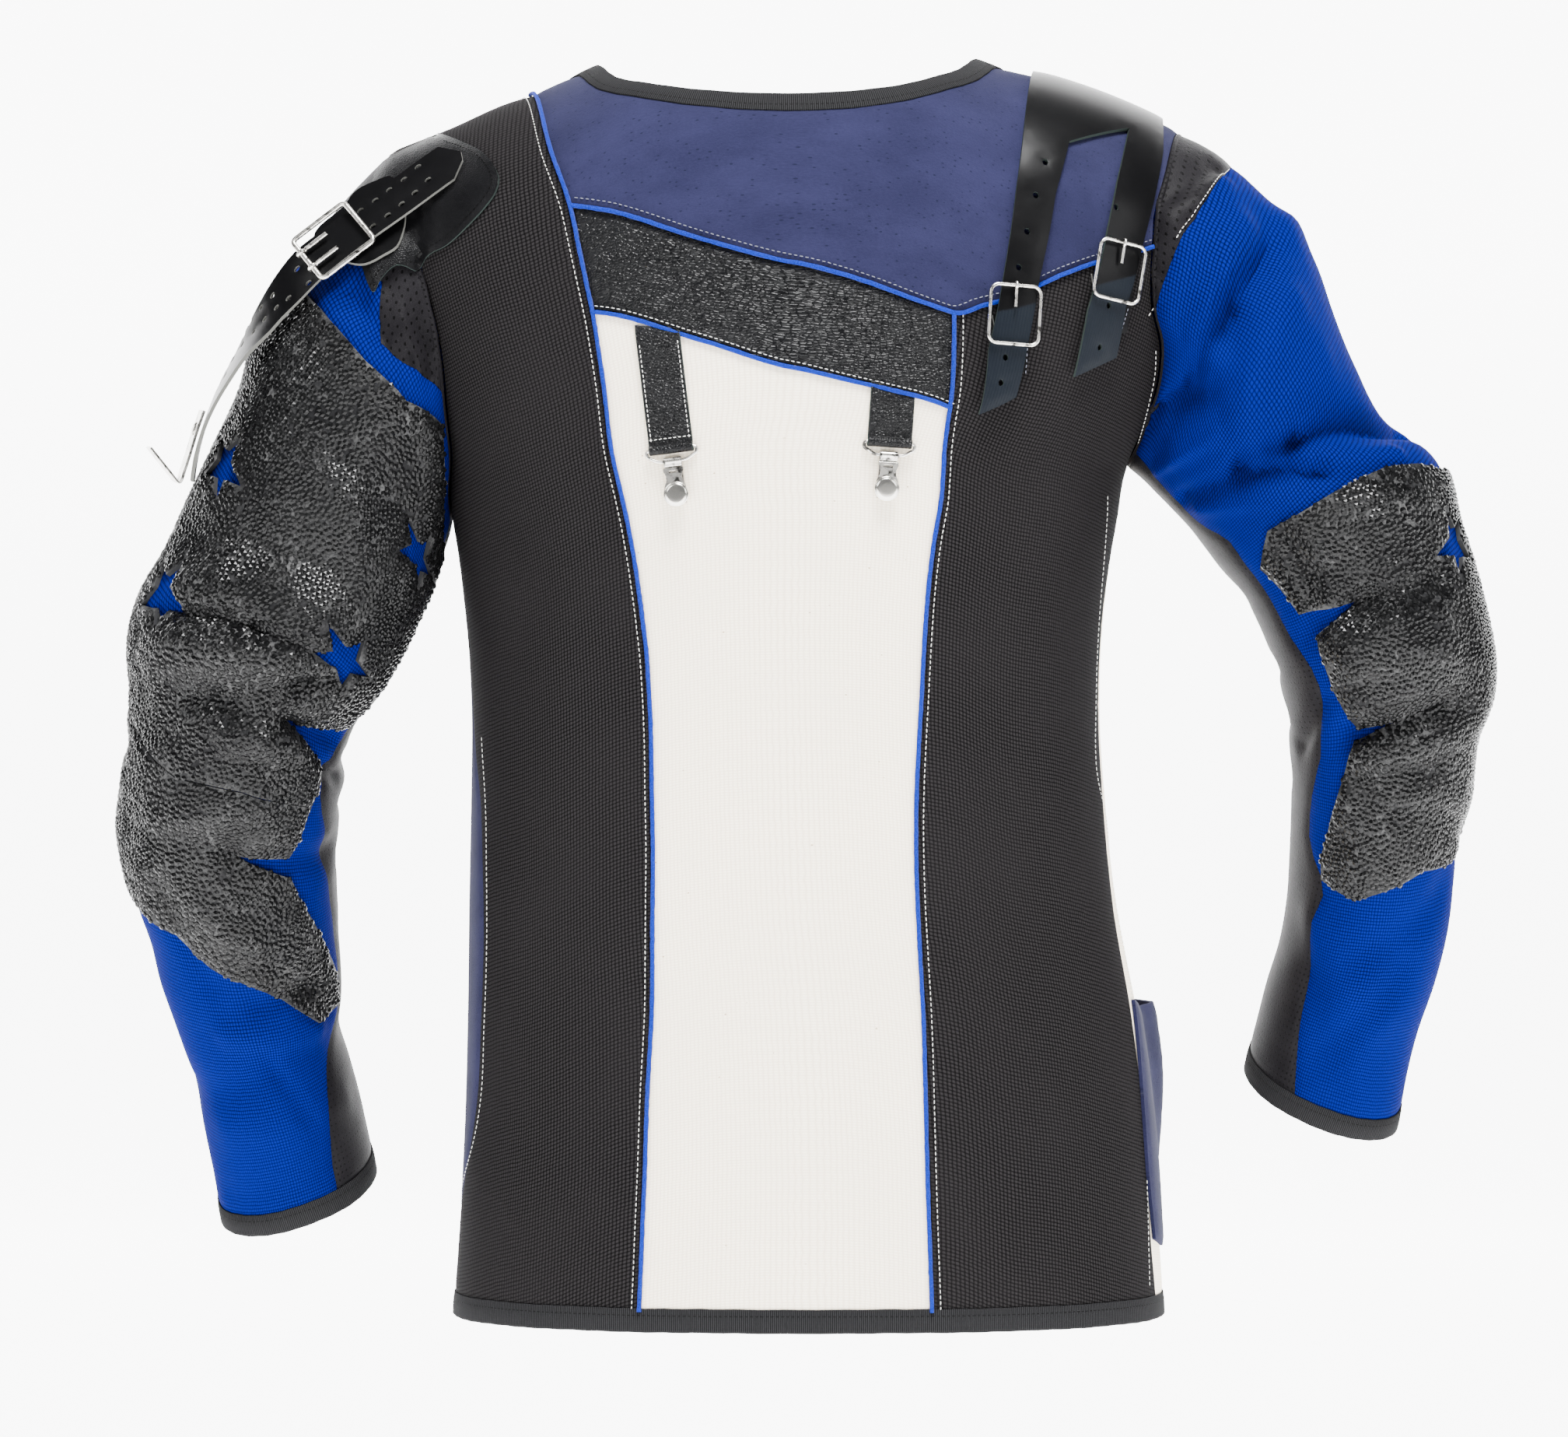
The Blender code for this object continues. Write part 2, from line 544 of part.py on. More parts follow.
class Sleeve:
    """A bent tube: across is metres round from its outer edge over the back, and down is metres along."""

    top = 0.0
    grid = SLEEVE_GRID

    def __init__(self, rows, armhole, hand, folds):
        self.hand = hand
        rows = np.asarray(rows, float)
        depth = rows[:, 4] * MM
        outer = np.column_stack(seen(rows[:, 0], rows[:, 1], depth))
        inner = np.column_stack(seen(rows[:, 2], rows[:, 3], depth))
        middle = np.column_stack([(outer + inner) / 2, depth])
        lengths = np.concatenate([[0], np.cumsum(np.linalg.norm(np.diff(middle, axis=0), axis=1))])
        self.length = lengths[-1]
        self.table = Table(np.column_stack([lengths, outer, inner, depth, rows[:, 5] * MM, rows[:, 6]]))
        self.seen_from = (0.0, 0.0)
        self.seen_to = (180 * SLEEVE_DEGREE, self.length)
        self.armhole = armhole
        self.folds = []
        for start_x, start_y, end_x, end_y, width, depth in folds:
            start, end = run_px(self, [(start_x, start_y), (end_x, end_y)])
            self.folds.append((start, end, width * MM, depth * MM))

    def ring(self, angle, down):
        row = self.table(down)
        outer, inner = row[..., 1:3], row[..., 3:5]
        middle, half = (outer + inner) / 2, (outer - inner) / 2
        flat = half / np.linalg.norm(half, axis=-1, keepdims=True)
        up = np.stack([-flat[..., 1], flat[..., 0]], -1)
        up = up * np.sign(up[..., 1:2])
        lean = np.radians(row[..., 7])
        side = power(np.cos(angle), 2 / SLEEVE_SQUARE)[..., None]
        back = (power(np.sin(angle), 2 / SLEEVE_SQUARE) * row[..., 6])[..., None]
        xz = middle + half * side - up * np.sin(lean)[..., None] * back
        y = row[..., 5:6] - np.cos(lean)[..., None] * back
        return np.concatenate([xz[..., :1], y, xz[..., 1:]], -1)

    def bare(self, across, down):
        across, down = np.broadcast_arrays(np.asarray(across, float), np.asarray(down, float))
        angle = np.radians(across / SLEEVE_DEGREE)
        fade = (1 - smoothstep(down / HEAD_LENGTH))[..., None]
        head = self.armhole(np.degrees(angle) % 360) - self.ring(angle, np.zeros_like(down))
        return self.ring(angle, down) + head * fade

    def __call__(self, across, down):
        across, down = np.asarray(across, float), np.asarray(down, float)
        points = self.bare(across, down)
        middle = self.table(down)
        axis_x = (middle[..., 1] + middle[..., 3]) / 2
        axis_z = (middle[..., 2] + middle[..., 4]) / 2
        axis = np.stack([axis_x, middle[..., 5], axis_z], -1)
        inward = axis - points
        inward = inward / np.linalg.norm(inward, axis=-1, keepdims=True)
        return points + inward * dent(self.folds, across, down)[..., None]


class Over:
    """The body's side and the sleeve's head as one surface. Both directions are photo pixels, as metres."""

    hand = 1
    top = -10.0

    def __init__(self, body, sleeve):
        self.body = body
        self.sleeve = sleeve

    def __call__(self, across, down):
        across, down = np.broadcast_arrays(np.asarray(across, float), np.asarray(down, float))
        pixels = np.column_stack([across.ravel(), down.ravel()]) / PIXEL
        on_body = trace(self.body, pixels)[0]
        on_sleeve, miss = trace(self.sleeve, pixels)
        points = self.body(on_body[:, 0], on_body[:, 1])
        other = self.sleeve.bare(on_sleeve[:, 0], on_sleeve[:, 1])
        use = (miss < 0.3) & (on_sleeve[:, 1] > 0)
        return np.where(use[:, None], other, points).reshape(*across.shape, 3)


class Plane:
    """A flat sheet in a local frame: across is local x, and down is local -z."""

    top = -10.0
    hand = 1

    def __init__(self, frame, upright=False):
        self.frame = np.array(frame)
        self.upright = upright

    def __call__(self, across, down):
        across, down = np.broadcast_arrays(np.asarray(across, float), np.asarray(down, float))
        flat = np.zeros_like(across)
        local = np.stack([flat, across, -down] if self.upright else [across, flat, -down], -1)
        return local @ self.frame[:3, :3].T + self.frame[:3, 3]


# Cutting pieces
PATTERNS = {}  # each cut piece's flat places, triangles, points and normals, by name
SNAP = 0.4 * MM  # pattern places nearer than this become one


def turning_area(points):
    x, y = points[:, 0], points[:, 1]
    return 0.5 * float(np.sum(x * np.roll(y, -1) - y * np.roll(x, -1)))


def inset(outline, distance):
    """The outline with every side moved inwards by the distance."""
    if turning_area(outline) < 0:
        outline = outline[::-1]
    before = outline - np.roll(outline, 1, 0)
    after = np.roll(outline, -1, 0) - outline
    before = before / np.linalg.norm(before, axis=1, keepdims=True)
    after = after / np.linalg.norm(after, axis=1, keepdims=True)
    left_before = np.column_stack([-before[:, 1], before[:, 0]])
    left_after = np.column_stack([-after[:, 1], after[:, 0]])
    middle = left_before + left_after
    middle = middle / np.maximum(np.linalg.norm(middle, axis=1, keepdims=True), 0.2)
    reach = distance / np.maximum(np.sum(middle * left_before, axis=1), 0.35)
    return outline + middle * reach[:, None]


def along_sides(outline, step):
    """The outline with points about one step apart on its sides."""
    return corner_run([*outline, outline[0]], step)[:-1]


def inside(points, outline):
    start, end = outline, np.roll(outline, -1, 0)
    x, y = points[:, 0][:, None], points[:, 1][:, None]
    crossing = (start[:, 1] > y) != (end[:, 1] > y)
    rise = np.where(end[:, 1] == start[:, 1], 1e-12, end[:, 1] - start[:, 1])
    hit = start[:, 0] + (y - start[:, 1]) * (end[:, 0] - start[:, 0]) / rise
    return (crossing & (x < hit)).sum(1) % 2 == 1


def edge_distance(points, outline):
    start = outline[None]
    line = np.roll(outline, -1, 0)[None] - start
    offset = points[:, None] - start
    share = np.clip((offset * line).sum(-1) / np.maximum((line * line).sum(-1), 1e-18), 0, 1)
    return np.linalg.norm(offset - share[..., None] * line, axis=-1).min(1)


def net_points(outline, holes, grid):
    """Points of a triangular net inside the outline. Every piece on a surface uses the same net."""
    low, high = outline.min(0), outline.max(0)
    row_height = grid * math.sqrt(3) / 2
    points = []
    for row in range(math.floor(low[1] / row_height), math.ceil(high[1] / row_height) + 1):
        shift = grid / 2 * (row % 2)
        for column in range(math.floor(low[0] / grid) - 1, math.ceil(high[0] / grid) + 1):
            points.append((column * grid + shift, row * row_height))
    points = np.array(points)
    keep = inside(points, outline) & (edge_distance(points, outline) > 0.22 * grid)
    for hole in holes:
        keep &= ~inside(points, hole) & (edge_distance(points, hole) > 0.15 * grid)
    return points[keep]


SLIVER = 1e-7  # square metres: a flatter triangle along a straight cut is left out


def triangles_of(outline, holes, grid):
    """A flat piece as points and triangles."""
    loops = [outline, *holes]
    points = np.concatenate(loops)
    edges = []
    start = 0
    for loop in loops:
        edges += [(start + i, start + (i + 1) % len(loop)) for i in range(len(loop))]
        start += len(loop)
    if grid:
        points = np.concatenate([points, net_points(outline, holes, grid)])
    flat, _, faces, _, _, _ = delaunay_2d_cdt([Vector(p) for p in points], edges, [], 0, 1e-7)
    flat = np.array(flat)
    faces = np.array([f for f in faces if len(f) == 3])
    middles = flat[faces].mean(1)
    sides = flat[faces[:, 1:]] - flat[faces[:, :1]]
    keep = inside(middles, outline) & (np.abs(np.linalg.det(sides)) > 2 * SLIVER)
    for hole in holes:
        keep &= ~inside(middles, hole)
    return flat, faces[keep]


def finish_mesh(name, vertices, faces, colour):
    mesh = bpy.data.meshes.new(name)
    mesh.from_pydata([tuple(map(float, v)) for v in vertices], [], faces)
    net = bmesh.new()
    net.from_mesh(mesh)
    loose = [v for v in net.verts if not v.link_faces]
    bmesh.ops.delete(net, geom=loose, context="VERTS")
    bmesh.ops.recalc_face_normals(net, faces=net.faces)
    net.to_mesh(mesh)
    net.free()
    obj = bpy.data.objects.new(name, mesh)
    bpy.context.scene.collection.objects.link(obj)
    mesh.materials.append(material(colour))
    mesh.shade_smooth()
    mesh.set_sharp_from_angle(angle=math.radians(40))
    return obj


def material(colour):
    found = bpy.data.materials.get(colour)
    if found:
        return found
    red, green, blue, roughness, metallic = COLOURS[colour]
    made = bpy.data.materials.new(colour)
    made.use_nodes = True
    shader = made.node_tree.nodes["Principled BSDF"]
    shader.inputs["Base Color"].default_value = (red, green, blue, 1)
    shader.inputs["Roughness"].default_value = roughness
    shader.inputs["Metallic"].default_value = metallic
    return made


def sheet_solid(name, flat, faces, points, normal, base, wall, colour):
    """A closed wall on triangles, from base to base plus wall off the points."""
    base = np.asarray(base, float).reshape(-1, 1)
    outer = points + normal * (base + wall)
    inner = points + normal * base
    count = len(points)
    tops = [tuple(map(int, face)) for face in faces]
    sides = {(a, b) for a, b, c in tops} | {(b, c) for a, b, c in tops} | {(c, a) for a, b, c in tops}
    rim = [(a, b) for a, b in sides if (b, a) not in sides]
    bottoms = [(a + count, c + count, b + count) for a, b, c in tops]
    walls = [(b, a, a + count, b + count) for a, b in sorted(rim)]
    obj = finish_mesh(name, np.concatenate([outer, inner]), tops + bottoms + walls, colour)
    PATTERNS[name] = (flat, faces, points, normal)
    return obj


def cut_piece(name, surface, outline, colour, wall=CLOTH, lift=None, holes=(), gap=SEAM_GAP / 2, grid=None):
    """A sheet cut to the outline. With no lift its outer face is the surface; a lift stands it off that."""
    outline = inset(np.asarray(outline, float), gap)
    flat, faces = triangles_of(outline, [np.asarray(hole, float) for hole in holes], grid)
    across, down = flat[:, 0], flat[:, 1]
    points = surface(across, down)
    base = -wall if lift is None else lift
    base = base(across, down) if callable(base) else np.full(len(points), float(base))
    return sheet_solid(name, flat, faces, points, normals(surface, across, down), base, wall, colour)


def laid_piece(name, under, outline, colour, wall, lift, holes=()):
    """A sheet that lies on another piece: cut from that piece's own triangles, and moved out by the lift."""
    base_flat, base_faces, base_points, base_normals = PATTERNS[under]
    loops = [np.asarray(loop, float) for loop in (outline, *holes)]
    spots = np.concatenate([base_flat, *loops])
    edges = {tuple(sorted((int(f[i]), int(f[(i + 1) % 3])))) for f in base_faces for i in range(3)}
    edges = sorted(edges)
    start = len(base_flat)
    for loop in loops:
        edges += [(start + i, start + (i + 1) % len(loop)) for i in range(len(loop))]
        start += len(loop)
    flat, _, faces, _, _, _ = delaunay_2d_cdt([Vector(p) for p in spots], edges, [], 0, SNAP)
    flat = np.array(flat)
    faces = np.array([f for f in faces if len(f) == 3])
    middles = flat[faces].mean(1)
    keep = inside(middles, loops[0])
    for hole in loops[1:]:
        keep &= ~inside(middles, hole)
    faces = faces[keep]
    corner = base_flat[base_faces]
    edge_one, edge_two = corner[:, 1] - corner[:, 0], corner[:, 2] - corner[:, 0]
    area = edge_one[:, 0] * edge_two[:, 1] - edge_one[:, 1] * edge_two[:, 0]
    offset = flat[:, None] - corner[None, :, 0]
    second = (offset[..., 0] * edge_two[:, 1] - offset[..., 1] * edge_two[:, 0]) / area
    third = (edge_one[:, 0] * offset[..., 1] - edge_one[:, 1] * offset[..., 0]) / area
    share = np.stack([1 - second - third, second, third], -1)
    best = np.argmax(share.min(-1), axis=1)
    share = share[np.arange(len(flat)), best][..., None]
    points = (base_points[base_faces[best]] * share).sum(1)
    normal = (base_normals[base_faces[best]] * share).sum(1)
    base = lift(flat[:, 0], flat[:, 1]) if callable(lift) else np.full(len(flat), float(lift))
    return sheet_solid(name, flat, faces, points, normal, base, wall, colour)


def swept(name, rings, colour, closed=False):
    """A solid through rings of equal point counts."""
    rings = np.asarray(rings, float)
    count, size = rings.shape[:2]
    faces = []
    for i in range(count if closed else count - 1):
        low, high = i * size, (i + 1) % count * size
        faces += [(low + j, low + (j + 1) % size, high + (j + 1) % size, high + j) for j in range(size)]
    if not closed:
        faces += [tuple(range(size))[::-1], tuple(range((count - 1) * size, count * size))]
    return finish_mesh(name, rings.reshape(-1, 3), faces, colour)


def wire(name, points, radius, colour, closed=False, sides=8):
    """A round rod along a path."""
    points = np.asarray(points, float)
    if closed:
        tangents = np.roll(points, -1, 0) - np.roll(points, 1, 0)
    else:
        tangents = np.gradient(points, axis=0)
    tangents = tangents / np.linalg.norm(tangents, axis=1, keepdims=True)
    spread = np.linalg.svd(points - points.mean(0))[2][2]
    side = np.cross(tangents, spread)
    side = side / np.linalg.norm(side, axis=1, keepdims=True)
    other = np.cross(tangents, side)
    turns = np.arange(sides) * 2 * math.pi / sides
    circle = np.stack([np.cos(turns), np.sin(turns)], -1)
    rings = [p + radius * circle @ np.array([s, o]) for p, s, o in zip(points, side, other)]
    return swept(name, rings, colour, closed)


def piping(name, surface, run):
    """Covered cord that stands on a seam."""
    run = np.asarray(run, float)
    normal = normals(surface, run[:, 0], run[:, 1])
    points = surface(run[:, 0], run[:, 1]) + normal * (PIPING_RADIUS + 0.3 * MM)
    curve = bpy.data.curves.new(name, "CURVE")
    curve.dimensions = "3D"
    curve.bevel_depth = PIPING_RADIUS
    curve.bevel_resolution = 1
    curve.use_fill_caps = True
    spline = curve.splines.new("POLY")
    spline.points.add(len(points) - 1)
    for spot, point in zip(spline.points, points):
        spot.co = (*point, 1)
    curve.materials.append(material("blue piping"))
    obj = bpy.data.objects.new(name, curve)
    bpy.context.scene.collection.objects.link(obj)
    return obj


def tape(name, points, normal, closed, outward, lift=None):
    """Woven tape that carries an edge on: a flat band from each edge point, outward from the cloth."""
    points, normal = np.asarray(points, float), np.asarray(normal, float)
    if closed:
        tangent = np.roll(points, -1, 0) - np.roll(points, 1, 0)
    else:
        tangent = np.gradient(points, axis=0)
    side = np.cross(normal, tangent) * outward
    side = side / np.linalg.norm(side, axis=1, keepdims=True)
    lift = np.zeros(len(points)) if lift is None else lift
    section = (
        (0.3 * MM, TAPE_PROUD),
        (TAPE_WIDTH, TAPE_PROUD),
        (TAPE_WIDTH, -CLOTH - TAPE_PROUD),
        (0.3 * MM, -CLOTH - TAPE_PROUD),
    )
    rings = []
    for p, s, n, up in zip(points, side, normal, lift):
        rings.append([p + s * width + n * (height + up) for width, height in section])
    return swept(name, rings, "black tape", closed)


def place_origin(obj, point):
    """Puts the object's origin at the point and leaves its shape where it is."""
    shift = Vector(point)
    obj.data.transform(Matrix.Translation(-shift))
    obj.location = shift


def rest_height(names, spots, out):
    """How far along out the spots must move for none of them to be under the named pieces."""
    out = Vector(out)
    far = 60 * MM
    heights = []
    for name in names:
        mesh = bpy.data.objects[name].data
        tree = BVHTree.FromPolygons([v.co for v in mesh.vertices], [tuple(f.vertices) for f in mesh.polygons])
        for spot in spots:
            hit = tree.ray_cast(Vector(spot) + out * far, -out)[3]
            if hit is not None:
                heights.append(far - hit)
    return max(heights)


def join_shapes(base, others):
    """Makes the others part of the base with Boolean unions."""
    for other in others:
        other.hide_render = True
        other.display_type = "WIRE"
        union = base.modifiers.new("union " + other.name, "BOOLEAN")
        union.operation = "UNION"
        union.object = other


# Body panels
def build_body(body):
    step = BODY_GRID
    left = run_px(body, PRINCESS_LEFT)
    left[0][1] = 0
    left[-1] = body.at_turn(left[-1][0] / TORSO_DEGREE, HEM_HEIGHT)
    right = run_px(body, PRINCESS_RIGHT)
    right[-1] = body.at_turn(right[-1][0] / TORSO_DEGREE, HEM_HEIGHT)
    yoke_edge = run_px(body, YOKE_EDGE)
    band_edge = run_px(body, BAND_EDGE)
    yoke_edge[0], band_edge[0] = left[2], left[4]
    right[0] = yoke_edge[4]
    band_edge[-1] = right[1]
    arm_left = armhole_run(body, ARMHOLE_LEFT, ARMPIT_LEFT)
    arm_right = armhole_run(body, ARMHOLE_RIGHT, ARMPIT_RIGHT)
    yoke_edge[-1] = arm_right[3]
    neck = run_px(body, NECK_BACK)
    neck[0][1] = neck[-1][1] = 0

    def side_run(rows, start):
        knots = [start]
        for row, turn in rows[1:-1]:
            knots.append(body.at_turn(turn, seen(0, row)[1]))
        knots.append(body.at_turn(rows[-1][1], HEM_HEIGHT))
        return np.array(knots)

    side_left = side_run(SIDE_LEFT, arm_left[-1])
    side_right = side_run(SIDE_RIGHT, arm_right[-1])

    def hem(start, end):
        turns = np.linspace(start[0], end[0], max(2, round(abs(end[0] - start[0]) / step) + 1)) / TORSO_DEGREE
        return np.array([body.at_turn(turn, HEM_HEIGHT) for turn in turns])

    def ridge_run(start, end):
        return corner_run([np.array([start[0], 0.0]), np.array([end[0], 0.0])], step)

    def panel(name, runs, colour, **more):
        outline = np.concatenate([run[:-1] for run in runs])
        return cut_piece(name, body, outline, colour, grid=body.grid, **more)

    panel("back_centre", [
        smooth_run(left, step, 4), hem(left[-1], right[-1]), smooth_run(right, step, 1)[::-1],
        smooth_run(band_edge, step)[::-1],
    ], "cream canvas")
    panel("back_band", [
        smooth_run(left, step, 2, 4), smooth_run(band_edge, step), smooth_run(right, step, 0, 1)[::-1],
        smooth_run(yoke_edge, step, 0, 4)[::-1],
    ], "black leather")
    panel("back_yoke", [
        smooth_run(left, step, 0, 2), smooth_run(yoke_edge, step), smooth_run(arm_right, step, 0, 3)[::-1],
        ridge_run(arm_right[0], neck[-1]), smooth_run(neck, NECK_STEP)[::-1], ridge_run(neck[0], left[0]),
    ], "navy suede")
    panel("back_side_left", [
        ridge_run(arm_left[0], left[0]), smooth_run(left, step), hem(left[-1], side_left[-1]),
        smooth_run(side_left, step)[::-1], smooth_run(arm_left, step)[::-1],
    ], "black canvas")
    panel("back_side_right", [
        smooth_run(yoke_edge, step, 4), smooth_run(arm_right, step, 3), smooth_run(side_right, step),
        hem(side_right[-1], right[-1]), smooth_run(right, step)[::-1],
    ], "black canvas")
    cord = smooth_run(left, step)[:-1]
    cord[0][1] = 5 * MM
    piping("piping_left", body, cord)
    piping("piping_right", body, smooth_run(right, step)[1:-1])
    piping("piping_yoke", body, smooth_run(yoke_edge, step, 0, 4)[1:])
    piping("piping_yoke_right", body, smooth_run(yoke_edge, step, 4)[1:-1])
    piping("piping_band", body, smooth_run(band_edge, step)[1:-1])

    # The two fronts: the same side seams, armholes and shoulder seams, with a lap at the centre
    half_round = 180 * TORSO_DEGREE

    def front_place(px, py):
        x, z = seen(px, py)
        across, down = body.place(x, z, front=True)
        return np.array([float(across), float(down)])

    def front_neck(mirror):
        tip = neck[-1] if mirror else neck[0]
        knots = [np.array([math.copysign(half_round, tip[0]) - tip[0], 0.0])]
        for px, py in NECK_FRONT[1:-1]:
            knots.append(front_place(2 * ORIGIN_PX[0] - px if mirror else px, py))
        low = front_place(NECK_FRONT[-1][0] - 1, NECK_FRONT[-1][1])[1]
        sign = 1 if mirror else -1
        knots.append(np.array([sign * (half_round + FRONT_OVERLAP), low]))
        return np.array(knots)

    def flip(run, sign):
        """The same line on the front: as far from the side as the back's is, at the same height."""
        out = run.copy()
        out[:, 0] = sign * half_round - run[:, 0]
        return out

    def rise(across, down):
        """How far the left front stands off the body near the centre, where it laps over the right front."""
        from_centre = half_round - np.abs(across)
        far, near = OVERLAP_RAMP
        return OVERLAP_LIFT * smoothstep((far - from_centre) / (far - near))

    def front(name, sign, side, arm, colour, lift):
        neck_run = front_neck(sign > 0)
        centre = neck_run[-1]
        foot = np.array([centre[0], body.at_turn(centre[0] / TORSO_DEGREE, HEM_HEIGHT)[1]])
        shoulder = ridge_run(flip(arm[:1], sign)[0], neck_run[0])
        panel(name, [
            smooth_run(side, step)[::-1], smooth_run(flip(arm, sign), step)[::-1], shoulder,
            smooth_run(neck_run, NECK_STEP), corner_run([centre, foot], step), hem(foot, side[-1]),
        ], colour, lift=lift)
        return neck_run

    neck_left = front("front_left", -1, side_left, arm_left, "navy suede",
                      lambda across, down: rise(across, down) - CLOTH)
    neck_right = front("front_right", 1, side_right, arm_right, "cream canvas", None)

    # Tapes: from the lap of the right front, round the back, to the lap of the left front
    neck_line = [smooth_run(neck_right, NECK_STEP)[::-1], smooth_run(neck, NECK_STEP)[::-1],
                 smooth_run(neck_left, NECK_STEP)]
    fronts = [True, False, True]
    points, facing, lifts = [], [], []
    for run, is_front in zip(neck_line, fronts):
        run = run[1:] if points else run
        points += list(body(run[:, 0], run[:, 1]))
        facing += list(normals(body, run[:, 0], np.maximum(run[:, 1], 1 * MM)))
        on_left = run[:, 0] < -half_round / 2
        lifts += list(np.where(on_left, rise(run[:, 0], run[:, 1]), 0) if is_front else np.zeros(len(run)))
    tape("binding_neck", points, facing, False, -1, np.array(lifts))

    edge = half_round + FRONT_OVERLAP
    turns = np.linspace(edge, -edge, 58)
    line = np.array([body.at_turn(turn / TORSO_DEGREE, HEM_HEIGHT) for turn in turns])
    hem_lift = np.where(turns < 0, rise(turns, 0), 0)
    across, down = line.T
    tape("binding_hem", body(across, down), normals(body, across, down), False, 1, hem_lift)

    for number, row in enumerate(BUTTON_ROWS, 1):
        place = body.at_turn(180, seen(0, row)[1])
        add_button(f"front_button_{number}", body(*place), normals(body, *place))

    pocket_near = [body.at_turn(turn, seen(0, row)[1]) for row, turn in POCKET_NEAR]
    far_low = body.at_turn(POCKET_FAR, seen(0, POCKET_NEAR[-1][0])[1])
    far_top = body.at_turn(POCKET_FAR, seen(0, POCKET_NEAR[0][0])[1])
    outline = np.concatenate([
        smooth_run(pocket_near, step)[:-1],
        corner_run([pocket_near[-1], far_low, far_top, pocket_near[0]], step)[:-1],
    ])
    top, low = pocket_near[0][1], pocket_near[-1][1]
    near, far = pocket_near[0][0], POCKET_FAR * TORSO_DEGREE

    def pouch(across, down):
        wide = np.clip(np.minimum(across - near - POCKET_FLAT, far - across) / POCKET_RAMP, 0, 1)
        deep = np.clip((low - down) / (low - top), 0, 1)
        return LAID_ON + POCKET_BULGE * smoothstep(wide) * smoothstep(deep * 1.3)

    laid_piece("pocket_right", "front_right", outline, "navy suede", CLOTH, pouch)
    return arm_left, arm_right


def add_button(name, point, normal):
    frame = Vector(normal).to_track_quat("Z", "Y").to_matrix().to_4x4()
    turns = np.arange(16) * math.pi / 8
    disc = [np.zeros(3)]
    for radius in (BUTTON_RADIUS / 2, BUTTON_RADIUS):
        disc += [np.array([radius * math.cos(t), radius * math.sin(t), 0]) for t in turns]
    spots = [point + np.array(frame)[:3, :3] @ place for place in disc]
    lift = rest_height(["front_left"], spots, normal) + SEAT + BUTTON_HEIGHT / 2
    net = bmesh.new()
    bmesh.ops.create_cone(net, cap_ends=True, segments=20, radius1=BUTTON_RADIUS, radius2=BUTTON_RADIUS,
                          depth=BUTTON_HEIGHT)
    mesh = bpy.data.meshes.new(name)
    net.to_mesh(mesh)
    net.free()
    obj = bpy.data.objects.new(name, mesh)
    obj.matrix_world = Matrix.Translation(Vector(point) + Vector(normal) * lift) @ frame
    bpy.context.scene.collection.objects.link(obj)
    mesh.materials.append(material("black button"))
    edge = obj.modifiers.new("rounded edge", "BEVEL")
    edge.width = 1 * MM
    edge.limit_method = "ANGLE"


def armhole_run(body, knots_px, low_rows):
    """The armhole in the back, from the shoulder seam to the very side of the body under the arm."""
    knots = run_px(body, knots_px)
    knots[0][1] = 0
    return np.array([*knots, *(body.at_turn(turn, seen(0, row)[1]) for row, turn in low_rows)])


def armhole_loop(body, knots, sign):
    """The armhole as points by degrees: down the back from 0 to 180, and up the front from 180 to 360."""
    back = smooth_run(knots, 4 * MM)
    front = back[::-1].copy()
    front[:, 0] = sign * 180 * TORSO_DEGREE - front[:, 0]
    sides = []
    for run, start in ((back, 0), (front, 180)):
        points = body(run[:, 0], run[:, 1])
        lengths = np.concatenate([[0], np.cumsum(np.linalg.norm(np.diff(points, axis=0), axis=1))])
        sides.append(np.column_stack([start + 180 * lengths / lengths[-1], points]))
    loop = Table(np.concatenate([sides[0], sides[1][1:]]))
    return lambda degrees: loop(degrees)[..., 1:]


# Sleeves
def star(middle, radius, turn):
    points = []
    for i in range(10):
        reach = radius if i % 2 == 0 else radius * STAR_WAIST
        angle = math.radians(turn + 36 * i)
        points.append(middle + reach * np.array([math.sin(angle), -math.cos(angle)]))
    return np.array(points)


def polar(rows):
    """Pattern places from degrees round and metres along."""
    return np.array([(degrees * SLEEVE_DEGREE, along) for degrees, along in rows])


